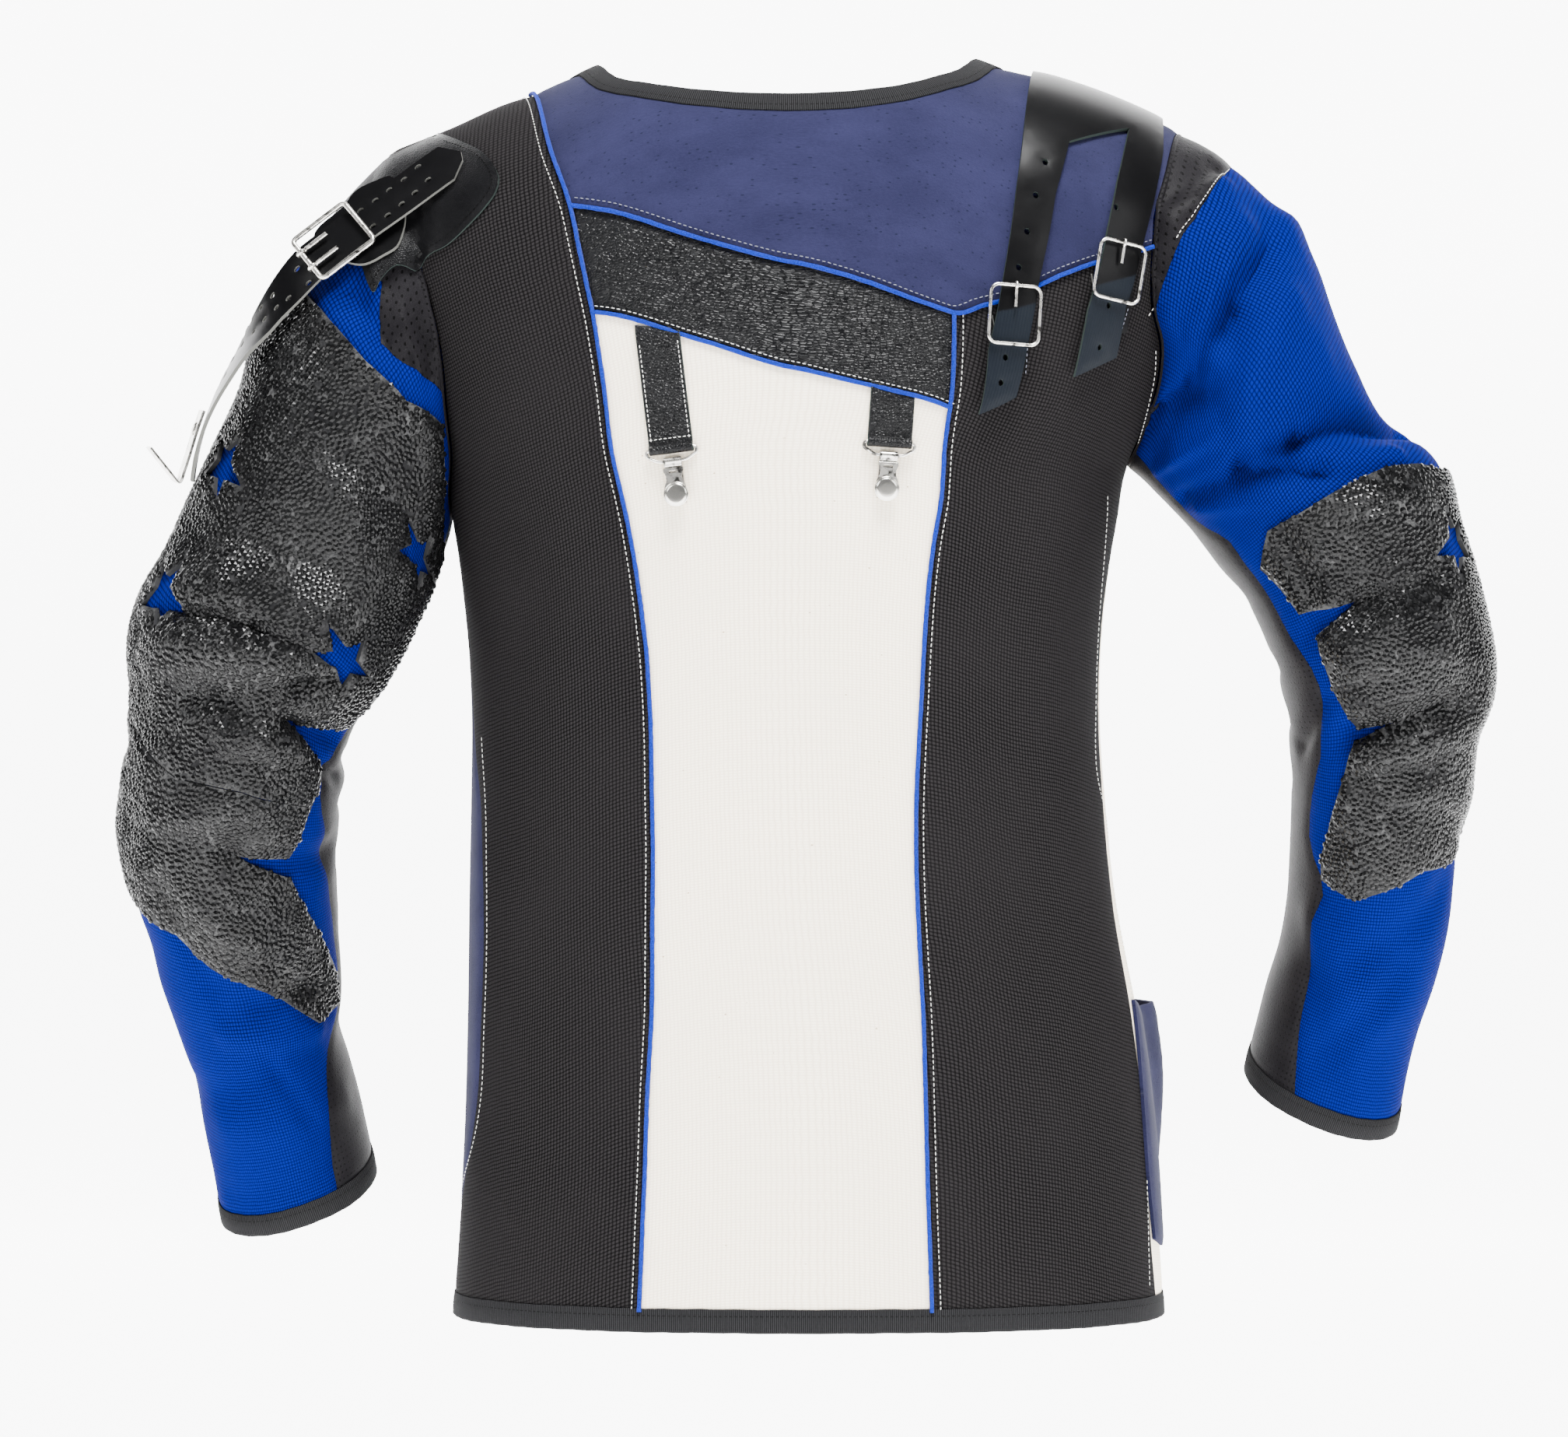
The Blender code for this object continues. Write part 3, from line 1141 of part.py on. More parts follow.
def build_sleeve(side, sleeve, under_rows, gusset_px):
    step = SLEEVE_GRID * 0.9
    head = ARMHOLE_GAP
    seam = np.array([(degrees * SLEEVE_DEGREE, along) for along, degrees in under_rows])
    seam[0][1] = head
    seam = np.concatenate([seam, [[UNDER_CUFF[side] * SLEEVE_DEGREE, sleeve.length]]])
    whole_round = 360 * SLEEVE_DEGREE
    seam_back = smooth_run(seam, step)
    seam_front = seam_back * [-1, 1]
    gusset = run_px(sleeve, gusset_px)
    gusset[0][1] = gusset[-1][1] = head
    gusset = smooth_run(gusset, 15 * MM)
    gusset[:, 1] = np.maximum(gusset[:, 1], head)
    armhole_part = corner_run([gusset[-1], gusset[0]], 14 * MM)
    outline = np.concatenate([gusset[:-1], armhole_part[:-1]])
    cut_piece(f"gusset_{side}", sleeve, outline, "soft black leather",
              grid=sleeve.grid)
    head_front = corner_run([seam_front[0], gusset[0]], 14 * MM)
    head_back = corner_run([gusset[-1], seam_back[0]], 14 * MM)
    cuff = corner_run([seam_back[-1], seam_front[-1]], step)
    outline = np.concatenate([
        head_front[:-1], gusset[:-1], head_back[:-1], seam_back[:-1], cuff[:-1], seam_front[::-1][:-1],
    ])
    cut_piece(f"sleeve_{side}_upper", sleeve, outline, "blue canvas", grid=sleeve.grid)
    far_seam = seam_front + [whole_round, 0]
    outline = np.concatenate([
        seam_back[:-1], corner_run([seam_back[-1], far_seam[-1]], step)[:-1], far_seam[::-1][:-1],
        corner_run([far_seam[0], seam_back[0]], 14 * MM)[:-1],
    ])
    cut_piece(f"sleeve_{side}_under", sleeve, outline, "soft black leather", gap=SLEEVE_GAP, grid=sleeve.grid)
    turns = np.linspace(0, whole_round, 29)[:-1]
    end = np.full_like(turns, sleeve.length)
    tape(f"binding_cuff_{side}", sleeve(turns, end), normals(sleeve, turns, end - 1 * MM), True, -sleeve.hand)


def build_pads(left, right):
    upper = np.concatenate([
        run_px(left, PAD_LEFT_UPPER), polar(PAD_LEFT_UPPER_INNER), run_px(left, PAD_LEFT_UPPER_LOW),
        polar(PAD_LEFT_UPPER_FRONT),
    ])
    lower = np.concatenate([run_px(left, PAD_LEFT_LOWER), polar(PAD_LEFT_LOWER_FRONT)])
    elbow = np.concatenate([run_px(right, PAD_RIGHT_EDGE), polar(PAD_RIGHT_FRONT)])
    for name, sleeve, side, knots, stars in (
        ("pad_left_upper", left, "left", upper, STARS_LEFT),
        ("pad_left_lower", left, "left", lower, ()),
        ("pad_right", right, "right", elbow, STARS_RIGHT),
    ):
        cuts = [star(at_px(sleeve, *place), STAR_RADIUS, STAR_TURN) for place in stars]
        laid_piece(name, f"sleeve_{side}_upper", knots, "pebbled rubber", PAD, LAID_ON, cuts)


# Shoulder leather and hardware
def rounded_frame(width, height, corner, frame):
    """Points of a rounded rectangle in the local xz plane of the frame."""
    points = []
    for i, (x, z) in enumerate(((1, 1), (-1, 1), (-1, -1), (1, -1))):
        middle = np.array([x * (width / 2 - corner), z * (height / 2 - corner)])
        for turn in (0, 45, 90):
            angle = math.radians(90 * i + turn)
            points.append(middle + corner * np.array([math.cos(angle), math.sin(angle)]))
    local = np.array([(x, 0, z) for x, z in points])
    return local @ np.array(frame)[:3, :3].T + np.array(frame)[:3, 3]


def local_frame(point, out, down):
    """A frame at the point: local y points into the body, and local -z as near down as can be."""
    into = -Vector(out).normalized()
    up = -Vector(down)
    up = (up - into * up.dot(into)).normalized()
    side = into.cross(up)
    rotation = Matrix((side, into, up)).transposed().to_4x4()
    return Matrix.Translation(Vector(point)) @ rotation


def build_shoulders(body, left):
    patch = np.array(SHOULDER_PATCH) * PIXEL
    cut_piece("shoulder_patch", Over(body, left), along_sides(patch, 12 * MM), "black leather",
              wall=PATCH_LEATHER, lift=PATCH_LIFT, grid=14 * MM)

    rise_from = at_px(body, 1300, STRAP_RISE[0])[1]
    rise_to = at_px(body, 1300, STRAP_RISE[1])[1]

    def ride(across, down):
        return PLATE_LIFT + STRAP_LIFT * smoothstep((down - rise_from) / (rise_to - rise_from))

    strap = run_px(body, SHOULDER_STRAP)
    strap[:3, 1] = 4 * MM
    cut_piece("shoulder_strap", body, along_sides(strap, 14 * MM), "black leather", wall=STRAP, lift=ride,
              grid=14 * MM)
    for number, (tab, buckle) in enumerate(zip(SHOULDER_TABS, BUCKLES), 1):
        line = run_px(body, tab)
        outline = along_sides(line, 14 * MM)
        cut_piece(f"shoulder_tab_{number}", body, outline, "black leather", wall=TAB_LEATHER,
                  lift=LAID_ON, grid=14 * MM)
        px, py, width, height, turn = buckle
        place = at_px(body, px, py)
        out = normals(body, *place)
        slant = math.radians(turn)
        down = (-math.sin(slant), 0, -math.cos(slant))
        flat = rounded_frame(width * MM, height * MM, BUCKLE_CORNER, local_frame(body(*place), out, down))
        point = body(*place) + out * (rest_height(["shoulder_strap"], flat, out) + BUCKLE_WIRE + SEAT)
        frame = local_frame(point, out, down)
        ring = rounded_frame(width * MM, height * MM, BUCKLE_CORNER, frame)
        wire(f"buckle_{number}", ring, BUCKLE_WIRE, "nickel", closed=True)
        reach = height * MM / 2 - BUCKLE_WIRE - SEAT
        tongue = np.array([(0, 0, reach), (0, 0, reach - PRONG_LENGTH / 2), (0, 0, reach - PRONG_LENGTH)])
        tongue = tongue @ np.array(frame)[:3, :3].T + np.array(frame)[:3, 3]
        wire(f"prong_{number}", tongue, PRONG_WIRE, "nickel", sides=6)


def strip_frames(rows, step):
    """Middle, face normal, width direction and heading along a strip: its rows give place, depth and turn."""
    spots = []
    for px, py, depth, turn, tilt in rows:
        x, z = seen(px, py, depth * MM)
        spots.append((x, depth * MM, z, turn, tilt))
    line = smooth_run([spot[:3] for spot in spots], step)
    spans = np.linalg.norm(np.diff([spot[:3] for spot in spots], axis=0), axis=1)
    lengths = np.concatenate([[0], np.cumsum(spans)])
    at = np.concatenate([[0], np.cumsum(np.linalg.norm(np.diff(line, axis=0), axis=1))])
    turns, tilts = (
        np.radians(np.interp(at / at[-1], lengths / lengths[-1], [spot[i] for spot in spots])) for i in (3, 4)
    )
    heading = np.gradient(line, axis=0)
    heading = heading / np.linalg.norm(heading, axis=1, keepdims=True)
    face = np.column_stack([-np.sin(turns) * np.cos(tilts), -np.cos(turns) * np.cos(tilts), np.sin(tilts)])
    face = face - heading * np.sum(face * heading, axis=1, keepdims=True)
    face = face / np.linalg.norm(face, axis=1, keepdims=True)
    return line, face, np.cross(face, heading), heading


def strip(name, rows, width, thick, colour, point=0.0, step=12 * MM):
    """A flat strap that runs through the rows, with a point at its first end."""
    line, face, side, heading = strip_frames(rows, step)
    halves = np.full(len(line), width / 2)
    if point:
        halves[0] = 1.5 * MM
        line[1] = line[0] + heading[0] * point
    rings = []
    for spot, out, across, half in zip(line, face, side, halves):
        rings.append([spot + across * half * a + out * thick * b for a, b in STRIP_CORNERS])
    return swept(name, rings, colour)


def on_plane(frame, pixels):
    """Pattern places at which the sight lines of photo points meet the plane of a frame."""
    frame = np.array(frame)
    eye = np.array([*seen(*EYE_PX)[:1], -EYE_DISTANCE, seen(*EYE_PX)[1]])
    places = []
    for px, py in pixels:
        x, z = seen(px, py)
        ray = np.array([x, 0, z]) - eye
        into = frame[:3, 1]
        spot = eye + ray * ((frame[:3, 3] - eye) @ into) / (ray @ into)
        local = (spot - frame[:3, 3]) @ frame[:3, :3]
        places.append((local[0], -local[2]))
    return np.array(places)


def build_sling():
    strip("sling_strap", SLING_ROWS, SLING_WIDTH, SLING_THICK, "black leather", point=SLING_POINT)
    line, face, side, heading = strip_frames(SLING_ROWS, 4 * MM)
    nearest = int(np.argmin(np.linalg.norm(photo_px(line) - SLING_BUCKLE_PX, axis=1)))
    out = face[nearest]
    behind = local_frame(line[nearest], out, heading[nearest])
    flat = rounded_frame(SLING_BUCKLE_WIDTH, SLING_BUCKLE_LENGTH, SLING_CORNER, behind)
    rise = rest_height(["sling_strap"], flat, out) + SLING_WIRE + SEAT
    frame = local_frame(line[nearest] + out * rise, out, heading[nearest])
    ring = rounded_frame(SLING_BUCKLE_WIDTH, SLING_BUCKLE_LENGTH, SLING_CORNER, frame)
    wire("sling_buckle", ring, SLING_WIRE, "nickel", closed=True)
    for number, shift in ((1, -SLING_PRONG_OUT), (2, SLING_PRONG_OUT)):
        low = -SLING_BUCKLE_LENGTH / 2 + SLING_WIRE + SEAT
        tongue = np.array([(shift, 0, low), (shift, 0, low + SLING_PRONG / 2), (shift, 0, low + SLING_PRONG)])
        tongue = tongue @ np.array(frame)[:3, :3].T + np.array(frame)[:3, 3]
        wire(f"sling_prong_{number}", tongue, SLING_PRONG_WIRE, "nickel", sides=6)
    outline = on_plane(behind, SLING_BASE)
    cut_piece("sling_base", Plane(behind), outline, "black leather", wall=SLING_BASE_LEATHER,
              lift=-SLING_BASE_GAP - SLING_BASE_LEATHER)
    build_hook(HOOK_ROWS)


def build_hook(rows):
    """The flat metal hook riveted to the outer face of the sling strap's free end."""
    line, face, side, heading = strip_frames(rows[:-1], 9 * MM)
    px, py, depth = rows[-1][:3]
    x, z = seen(px, py, depth * MM)
    corner = line[-1]
    end = np.array([x, depth * MM, z])
    leg = (end - corner) / np.linalg.norm(end - corner)
    bend = heading[-1] - leg
    bend = bend / np.linalg.norm(bend)
    half = HOOK_WIDTH / 2
    rings = []
    for spot, out, across in zip(line[:-1], face[:-1], side[:-1]):
        rings.append([spot + across * half * a + out * HOOK_THICK * b for a, b in STRIP_CORNERS])
    across = side[-1]
    inner = corner - bend * HOOK_THICK * 1.4
    side = across * half
    rings.append([corner - side, corner + side, inner + side, inner - side])
    leg_face = np.cross(leg, across)
    if leg_face @ bend > 0:
        leg_face = -leg_face
    tip = end
    rings.append([tip - across * half, tip + across * half, tip + across * half + leg_face * HOOK_THICK,
                  tip - across * half + leg_face * HOOK_THICK])
    swept("sling_hook", rings, "nickel")
    spot = line[1] + face[1] * (HOOK_THICK + 0.3 * MM)
    frame = np.array(local_frame(spot, face[1], heading[1]))
    turns = np.arange(12) * 2 * math.pi / 12
    rings = []
    for height, radius in ((0, 4.2), (0.9, 4.0), (1.4, 2.6)):
        reach = radius * MM
        local = np.array([(reach * math.cos(t), -height * MM, reach * math.sin(t)) for t in turns])
        rings.append(local @ frame[:3, :3].T + frame[:3, 3])
    swept("sling_rivet", rings, "nickel")


# Garter tabs and clips
def arc(middle, radius, start, end, count):
    angles = np.radians(np.linspace(start, end, count))
    return [np.array([middle[0] + radius * math.cos(a), middle[1] + radius * math.sin(a)]) for a in angles]


def build_garter(body, side, top_px, low_px):
    """A tab folded round a wire loop, and the clip hung from the loop. Local y is depth, local -z down."""
    places = run_px(body, [top_px, low_px])
    top, low = body(*places[0]), body(*places[1])
    out = normals(body, *places.mean(0))
    length = float(np.linalg.norm(low - top))
    flat = np.array(local_frame(low, out, low - top))
    corners = [(x * GARTER_WIDTH / 2, 0, length * z) for x in (-1, 0, 1) for z in np.linspace(-0.05, 1, 9)]
    spots = [flat[:3, :3] @ corner + low for corner in corners]
    bar = rest_height(["back_centre"], spots, out) + SEAT + FOLD_RADIUS  # height of the loop's upper bar
    frame = local_frame(low + np.asarray(out) * bar, out, low - top)
    profile = Plane(frame, upright=True)
    hole_radius = LOOP_WIRE + LOOP_CLEAR
    outline = [np.array([FOLD_RADIUS, -length]), np.array([0.0, -length]), np.array([0.0, -FOLD_RADIUS])]
    outline += arc((0, 0), FOLD_RADIUS, -150, -360, 10)
    hole = arc((0, 0), hole_radius, 0, 324, 10)
    cut_piece(f"garter_tab_{side}", profile, outline, "black leather", wall=GARTER_WIDTH,
              lift=-GARTER_WIDTH / 2, holes=[hole], gap=0)

    def world(points):
        local = np.array([(x, y, z) for x, y, z in points])
        return local @ np.array(frame)[:3, :3].T + np.array(frame)[:3, 3]

    pivot = np.array(frame)[:3, 3]
    bend = LOOP_BEND
    neck_x = LOOP_HALF_TOP - LOOP_NECK_IN
    loop = world([
        (-LOOP_HALF_TOP + bend, 0, 0), (0, 0, 0), (LOOP_HALF_TOP - bend, 0, 0), (LOOP_HALF_TOP, 0, -bend),
        (LOOP_HALF_TOP, 0, -LOOP_SIDE), (neck_x, 0, -LOOP_NECK),
        (LOOP_HALF_LOW + bend, 0, -LOOP_DROP + bend / 2), (LOOP_HALF_LOW - bend, 0, -LOOP_DROP),
        (0, 0, -LOOP_DROP),
        (-LOOP_HALF_LOW + bend, 0, -LOOP_DROP), (-LOOP_HALF_LOW - bend, 0, -LOOP_DROP + bend / 2),
        (-neck_x, 0, -LOOP_NECK), (-LOOP_HALF_TOP, 0, -LOOP_SIDE), (-LOOP_HALF_TOP, 0, -bend),
    ])
    place_origin(wire(f"clip_loop_{side}", loop, LOOP_WIRE, "nickel", closed=True), pivot)

    low_bar = LOOP_DROP
    eye_hole = arc((0, low_bar), hole_radius, 0, 324, 10)
    turns = np.radians(np.arange(*EYE_TURNS))
    outline = [np.array([CLIP_EYE * math.cos(t), low_bar + CLIP_EYE * math.sin(t)]) for t in turns]
    jaw_front, jaw_back = CLIP_JAW
    foot = low_bar + CLIP_JAW_LENGTH
    outline += [np.array([jaw_front, low_bar + JAW_START[0]]), np.array([jaw_front, foot])]
    outline += [np.array([jaw_back, foot]), np.array([jaw_back, low_bar + JAW_START[1]])]
    body_obj = cut_piece(f"clip_body_{side}", profile, np.array(outline), "nickel", wall=2 * CLIP_HALF,
                         lift=-CLIP_HALF, holes=[eye_hole], gap=0)
    clip_pivot = world([(0, 0, -low_bar)])[0]
    place_origin(body_obj, clip_pivot)

    pin = low_bar + LEVER_PIVOT
    face = LEVER_FACE
    outline = arc((face - PIN_DEPTH, pin), LEVER_KNUCKLE, *KNUCKLE_TURNS, 8)
    foot = low_bar + LEVER_BUTTON
    outline += [np.array([face - CLIP_PLATE, foot]), np.array([face, foot])]
    lever = cut_piece(f"clip_lever_{side}", profile, np.array(outline), "nickel",
                      wall=2 * (CLIP_HALF + LEVER_OVERHANG), lift=-CLIP_HALF - LEVER_OVERHANG, gap=0)
    turns = np.arange(16) * 2 * math.pi / 16
    rings = []
    for depth, share in BUTTON_PROFILE:
        reach = share * LEVER_BUTTON_RADIUS
        rings.append(world([(reach * math.cos(t), face + depth, reach * math.sin(t) - foot) for t in turns]))
    button = swept(f"clip_button_{side}_shape", rings, "nickel")
    lever_pivot = world([(0, face - PIN_DEPTH, -pin)])[0]
    place_origin(lever, lever_pivot)
    join_shapes(lever, [button])


def main():
    for obj in list(bpy.data.objects):
        bpy.data.objects.remove(obj)
    body = Torso()
    arm_left, arm_right = build_body(body)
    left = Sleeve(SLEEVE_LEFT_ROWS, armhole_loop(body, arm_left, -1), 1, FOLDS_LEFT)
    right = Sleeve(SLEEVE_RIGHT_ROWS, armhole_loop(body, arm_right, 1), -1, FOLDS_RIGHT)
    build_sleeve("left", left, UNDER_LEFT, GUSSET_LEFT)
    build_sleeve("right", right, UNDER_RIGHT, GUSSET_RIGHT)
    build_pads(left, right)
    build_shoulders(body, left)
    build_sling()
    for side, (top, low) in GARTER_TABS.items():
        build_garter(body, side, top, low)


main()
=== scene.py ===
"""A shooting jacket, filled out as it is worn, seen from behind on a pale ground.

Every piece is laid on the same body and sleeves as its solid. The back faces -Y, the wearer's right is +X, and
sizes are in metres. A place given in pixels, across and down the photograph, is turned into metres by seen().
"""

import json
import math

import bmesh
import bpy
import numpy as np
from mathutils import Matrix, Vector
from mathutils.geometry import delaunay_2d_cdt

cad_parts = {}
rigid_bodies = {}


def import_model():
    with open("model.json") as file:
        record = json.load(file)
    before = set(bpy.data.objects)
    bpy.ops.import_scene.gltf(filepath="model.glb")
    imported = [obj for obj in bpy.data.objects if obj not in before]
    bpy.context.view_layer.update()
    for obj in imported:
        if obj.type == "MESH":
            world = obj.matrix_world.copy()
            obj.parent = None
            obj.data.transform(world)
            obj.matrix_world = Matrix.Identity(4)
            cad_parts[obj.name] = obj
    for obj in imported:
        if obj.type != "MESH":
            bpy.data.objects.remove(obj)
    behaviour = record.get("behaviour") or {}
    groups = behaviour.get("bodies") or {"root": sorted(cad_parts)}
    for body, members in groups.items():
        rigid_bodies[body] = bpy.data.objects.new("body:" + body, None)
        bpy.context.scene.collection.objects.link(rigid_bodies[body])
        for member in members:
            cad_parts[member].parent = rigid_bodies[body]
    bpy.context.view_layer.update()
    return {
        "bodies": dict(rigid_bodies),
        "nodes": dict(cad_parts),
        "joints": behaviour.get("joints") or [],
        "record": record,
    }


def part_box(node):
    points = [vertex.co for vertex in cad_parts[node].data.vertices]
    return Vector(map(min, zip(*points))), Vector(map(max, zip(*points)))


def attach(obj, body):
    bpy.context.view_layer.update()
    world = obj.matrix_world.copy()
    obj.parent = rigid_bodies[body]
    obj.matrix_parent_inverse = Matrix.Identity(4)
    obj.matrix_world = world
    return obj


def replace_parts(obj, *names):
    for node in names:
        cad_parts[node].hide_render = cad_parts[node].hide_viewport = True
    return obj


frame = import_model()

# Studio: one long lens behind the jacket, level with its middle, on a white sweep that is floor and wall in one.
# Two wide soft lights stand left and right of the camera, and a third from above shows the folds.
MM = 0.001
PIXEL = 0.45 * MM  # one pixel of the photograph in the plane of the shoulder seams
ORIGIN_PX = (1015.0, 126.0)
EYE_PX = (1008.0, 923.5)
EYE_DISTANCE = 3.4
PHOTO_WIDTH = 2016


def seen(px, py, y=0.0):
    """World x and z of a photo point that lies at depth y."""
    scale = PIXEL * (1 + y / EYE_DISTANCE)
    x = (EYE_PX[0] - ORIGIN_PX[0]) * PIXEL + (px - EYE_PX[0]) * scale
    z = (ORIGIN_PX[1] - EYE_PX[1]) * PIXEL - (py - EYE_PX[1]) * scale
    return x, z


def photo_px(points):
    """Pixels across and down at which world points are seen."""
    scale = PIXEL * (1 + points[..., 1] / EYE_DISTANCE)
    px = EYE_PX[0] + (points[..., 0] - (EYE_PX[0] - ORIGIN_PX[0]) * PIXEL) / scale
    py = EYE_PX[1] - (points[..., 2] - (ORIGIN_PX[1] - EYE_PX[1]) * PIXEL) / scale
    return np.stack([px, py], -1)
def put(name, data):
    """An object with this data, linked into the scene."""
    made = bpy.data.objects.new(name, data)
    bpy.context.scene.collection.objects.link(made)
    return made


eye_x, eye_z = seen(*EYE_PX)
camera_data = bpy.data.cameras.new("camera")
camera_data.sensor_width = 36  # millimetres
camera_data.lens = camera_data.sensor_width * EYE_DISTANCE / (PHOTO_WIDTH * PIXEL)
camera = put("camera", camera_data)
camera.location = (eye_x, -EYE_DISTANCE, eye_z)
camera.rotation_euler = (math.pi / 2, 0, 0)
bpy.context.scene.camera = camera

for name, place, aim, width, watts in (
    ("light left", (-2.3, -2.6, 1.3), (0, 0, -0.35), 1.5, 62),
    ("light right", (2.5, -2.3, 1.0), (0, 0, -0.35), 1.5, 58),
    ("light top", (0.3, -1.1, 2.4), (0, 0, -0.25), 1.1, 440),
):
    lamp = bpy.data.lights.new(name, "AREA")
    lamp.shape, lamp.size, lamp.energy = "SQUARE", width, watts
    lamp_object = put(name, lamp)
    lamp_object.location = place
    lamp_object.rotation_euler = (Vector(aim) - Vector(place)).to_track_quat("-Z", "Y").to_euler()

world = bpy.data.worlds.new("studio")
world.use_nodes = True
background = world.node_tree.nodes["Background"]
background.inputs["Color"].default_value = (0.9, 0.93, 1.0, 1)
background.inputs["Strength"].default_value = 0.18
bpy.context.scene.world = world

FLOOR_Z = -1.15
FLOOR_FRONT = -4.0
FLOOR_HALF_WIDTH = 13
SWEEP_START = 5.6  # the wall rises so far back that the jacket can be seen from all sides
SWEEP_RADIUS = 1.6
SWEEP_TOP = 8.5
sweep_line = [(FLOOR_FRONT, FLOOR_Z), (SWEEP_START, FLOOR_Z)]
sweep_line += [
    (SWEEP_START + SWEEP_RADIUS * math.sin(turn), FLOOR_Z + SWEEP_RADIUS * (1 - math.cos(turn)))
    for turn in np.linspace(0, math.pi / 2, 15)[1:]
]
sweep_line.append((SWEEP_START + SWEEP_RADIUS, SWEEP_TOP))
sweep_mesh = bpy.data.meshes.new("floor")
sweep_mesh.from_pydata(
    [(x, y, z) for y, z in sweep_line for x in (-FLOOR_HALF_WIDTH, FLOOR_HALF_WIDTH)], [],
    [(2 * i, 2 * i + 1, 2 * i + 3, 2 * i + 2) for i in range(len(sweep_line) - 1)],
)
sweep_mesh.shade_smooth()
sweep = put("floor", sweep_mesh)
paper = bpy.data.materials.new("white paper")
paper.use_nodes = True
for socket, value in (("Base Color", (0.93, 0.93, 0.93, 1)), ("Roughness", 0.9), ("Emission Color", (1, 1, 1, 1)),
                      ("Emission Strength", 6)):
    paper.node_tree.nodes["Principled BSDF"].inputs[socket].default_value = value
sweep_mesh.materials.append(paper)

# The wearer's form that the cloth hangs on: a body and two bent sleeves, by the measures of the solids.
# Cloth is cut flat, in metres round the form and metres down it, and those flat places are its texture places too.
# Rows of the body: a photo row, the left and right edges seen there, and the depth of back and front in millimetres
TORSO_ROWS = (
    (20, 450, 1585, 60, 52), (120, 450, 1585, 86, 76), (230, 450, 1582, 104, 94), (340, 470, 1565, 116, 106),
    (440, 505, 1535, 121, 114), (520, 538, 1500, 122, 118), (600, 565, 1449, 121, 119), (668, 582, 1436, 119, 118),
    (790, 599, 1418, 114, 113), (907, 607, 1413, 110, 110), (1040, 606, 1421, 108, 109),
    (1160, 604, 1434, 109, 111), (1307, 602, 1462, 113, 116), (1450, 598, 1480, 118, 121),
    (1600, 590, 1490, 122, 125), (1720, 581, 1498, 125, 128),
)
TORSO_SQUARE = 2.4  # 2 is an ellipse, and more is squarer
TORSO_DEGREE = 2.6 * MM  # pattern length of one degree round the body
# The line of the shoulders and the neck: photo columns and rows
RIDGE_ROWS = (
    (430, 236), (503, 196), (541, 181), (580, 166), (647, 136), (682, 124), (735, 101), (800, 70), (900, 48),
    (1015, 42), (1130, 46), (1220, 62), (1286, 89), (1356, 106), (1436, 134), (1516, 172), (1600, 226),
)
SHOULDER_ROUND = 75 * MM  # height over which the back rolls forward into the shoulder seam
# Creases: ends in pixels, half width and depth in millimetres. A ridge has a negative depth
BODY_CREASES = (
    (845, 838, 1120, 822, 14, 1.1), (870, 1010, 1100, 1050, 22, -1.2), (850, 1290, 1140, 1240, 26, 1.2),
    (1000, 600, 1010, 1250, 46, -1.6), (640, 700, 690, 1250, 30, 1.6), (700, 900, 660, 1600, 34, -1.6),
    (760, 560, 780, 1100, 22, 1.2), (1260, 640, 1330, 1180, 30, 1.6), (1380, 560, 1360, 1120, 26, -1.6),
    (1300, 1160, 1280, 1620, 34, -1.8), (1440, 500, 1330, 620, 18, 1.4), (590, 600, 690, 760, 20, 1.6),
    (1405, 1050, 1330, 1130, 20, 1.4), (615, 1030, 690, 1110, 22, 1.5), (620, 1400, 800, 1500, 30, 1.2),
    (900, 180, 1050, 240, 26, -1.0), (1120, 180, 1240, 300, 22, 1.0), (860, 375, 930, 300, 9, 0.7),
    (1060, 420, 1190, 470, 8, 0.8), (1195, 405, 1150, 500, 8, -0.8),
)
# Creases of the hidden front: degrees round and metres down at each end, half width and depth in millimetres
FRONT_CREASES = (
    (120, 0.24, 160, 0.33, 20, 2.2), (-120, 0.25, -158, 0.32, 18, 2.0), (135, 0.42, 118, 0.62, 28, 2.0),
    (-140, 0.40, -125, 0.60, 26, -2.0), (170, 0.30, 172, 0.60, 16, -1.4), (-100, 0.33, -130, 0.38, 16, 1.8),
    (100, 0.30, 128, 0.38, 16, 1.8), (150, 0.10, 120, 0.20, 18, 1.4), (-150, 0.11, -122, 0.2, 18, 1.4),
)
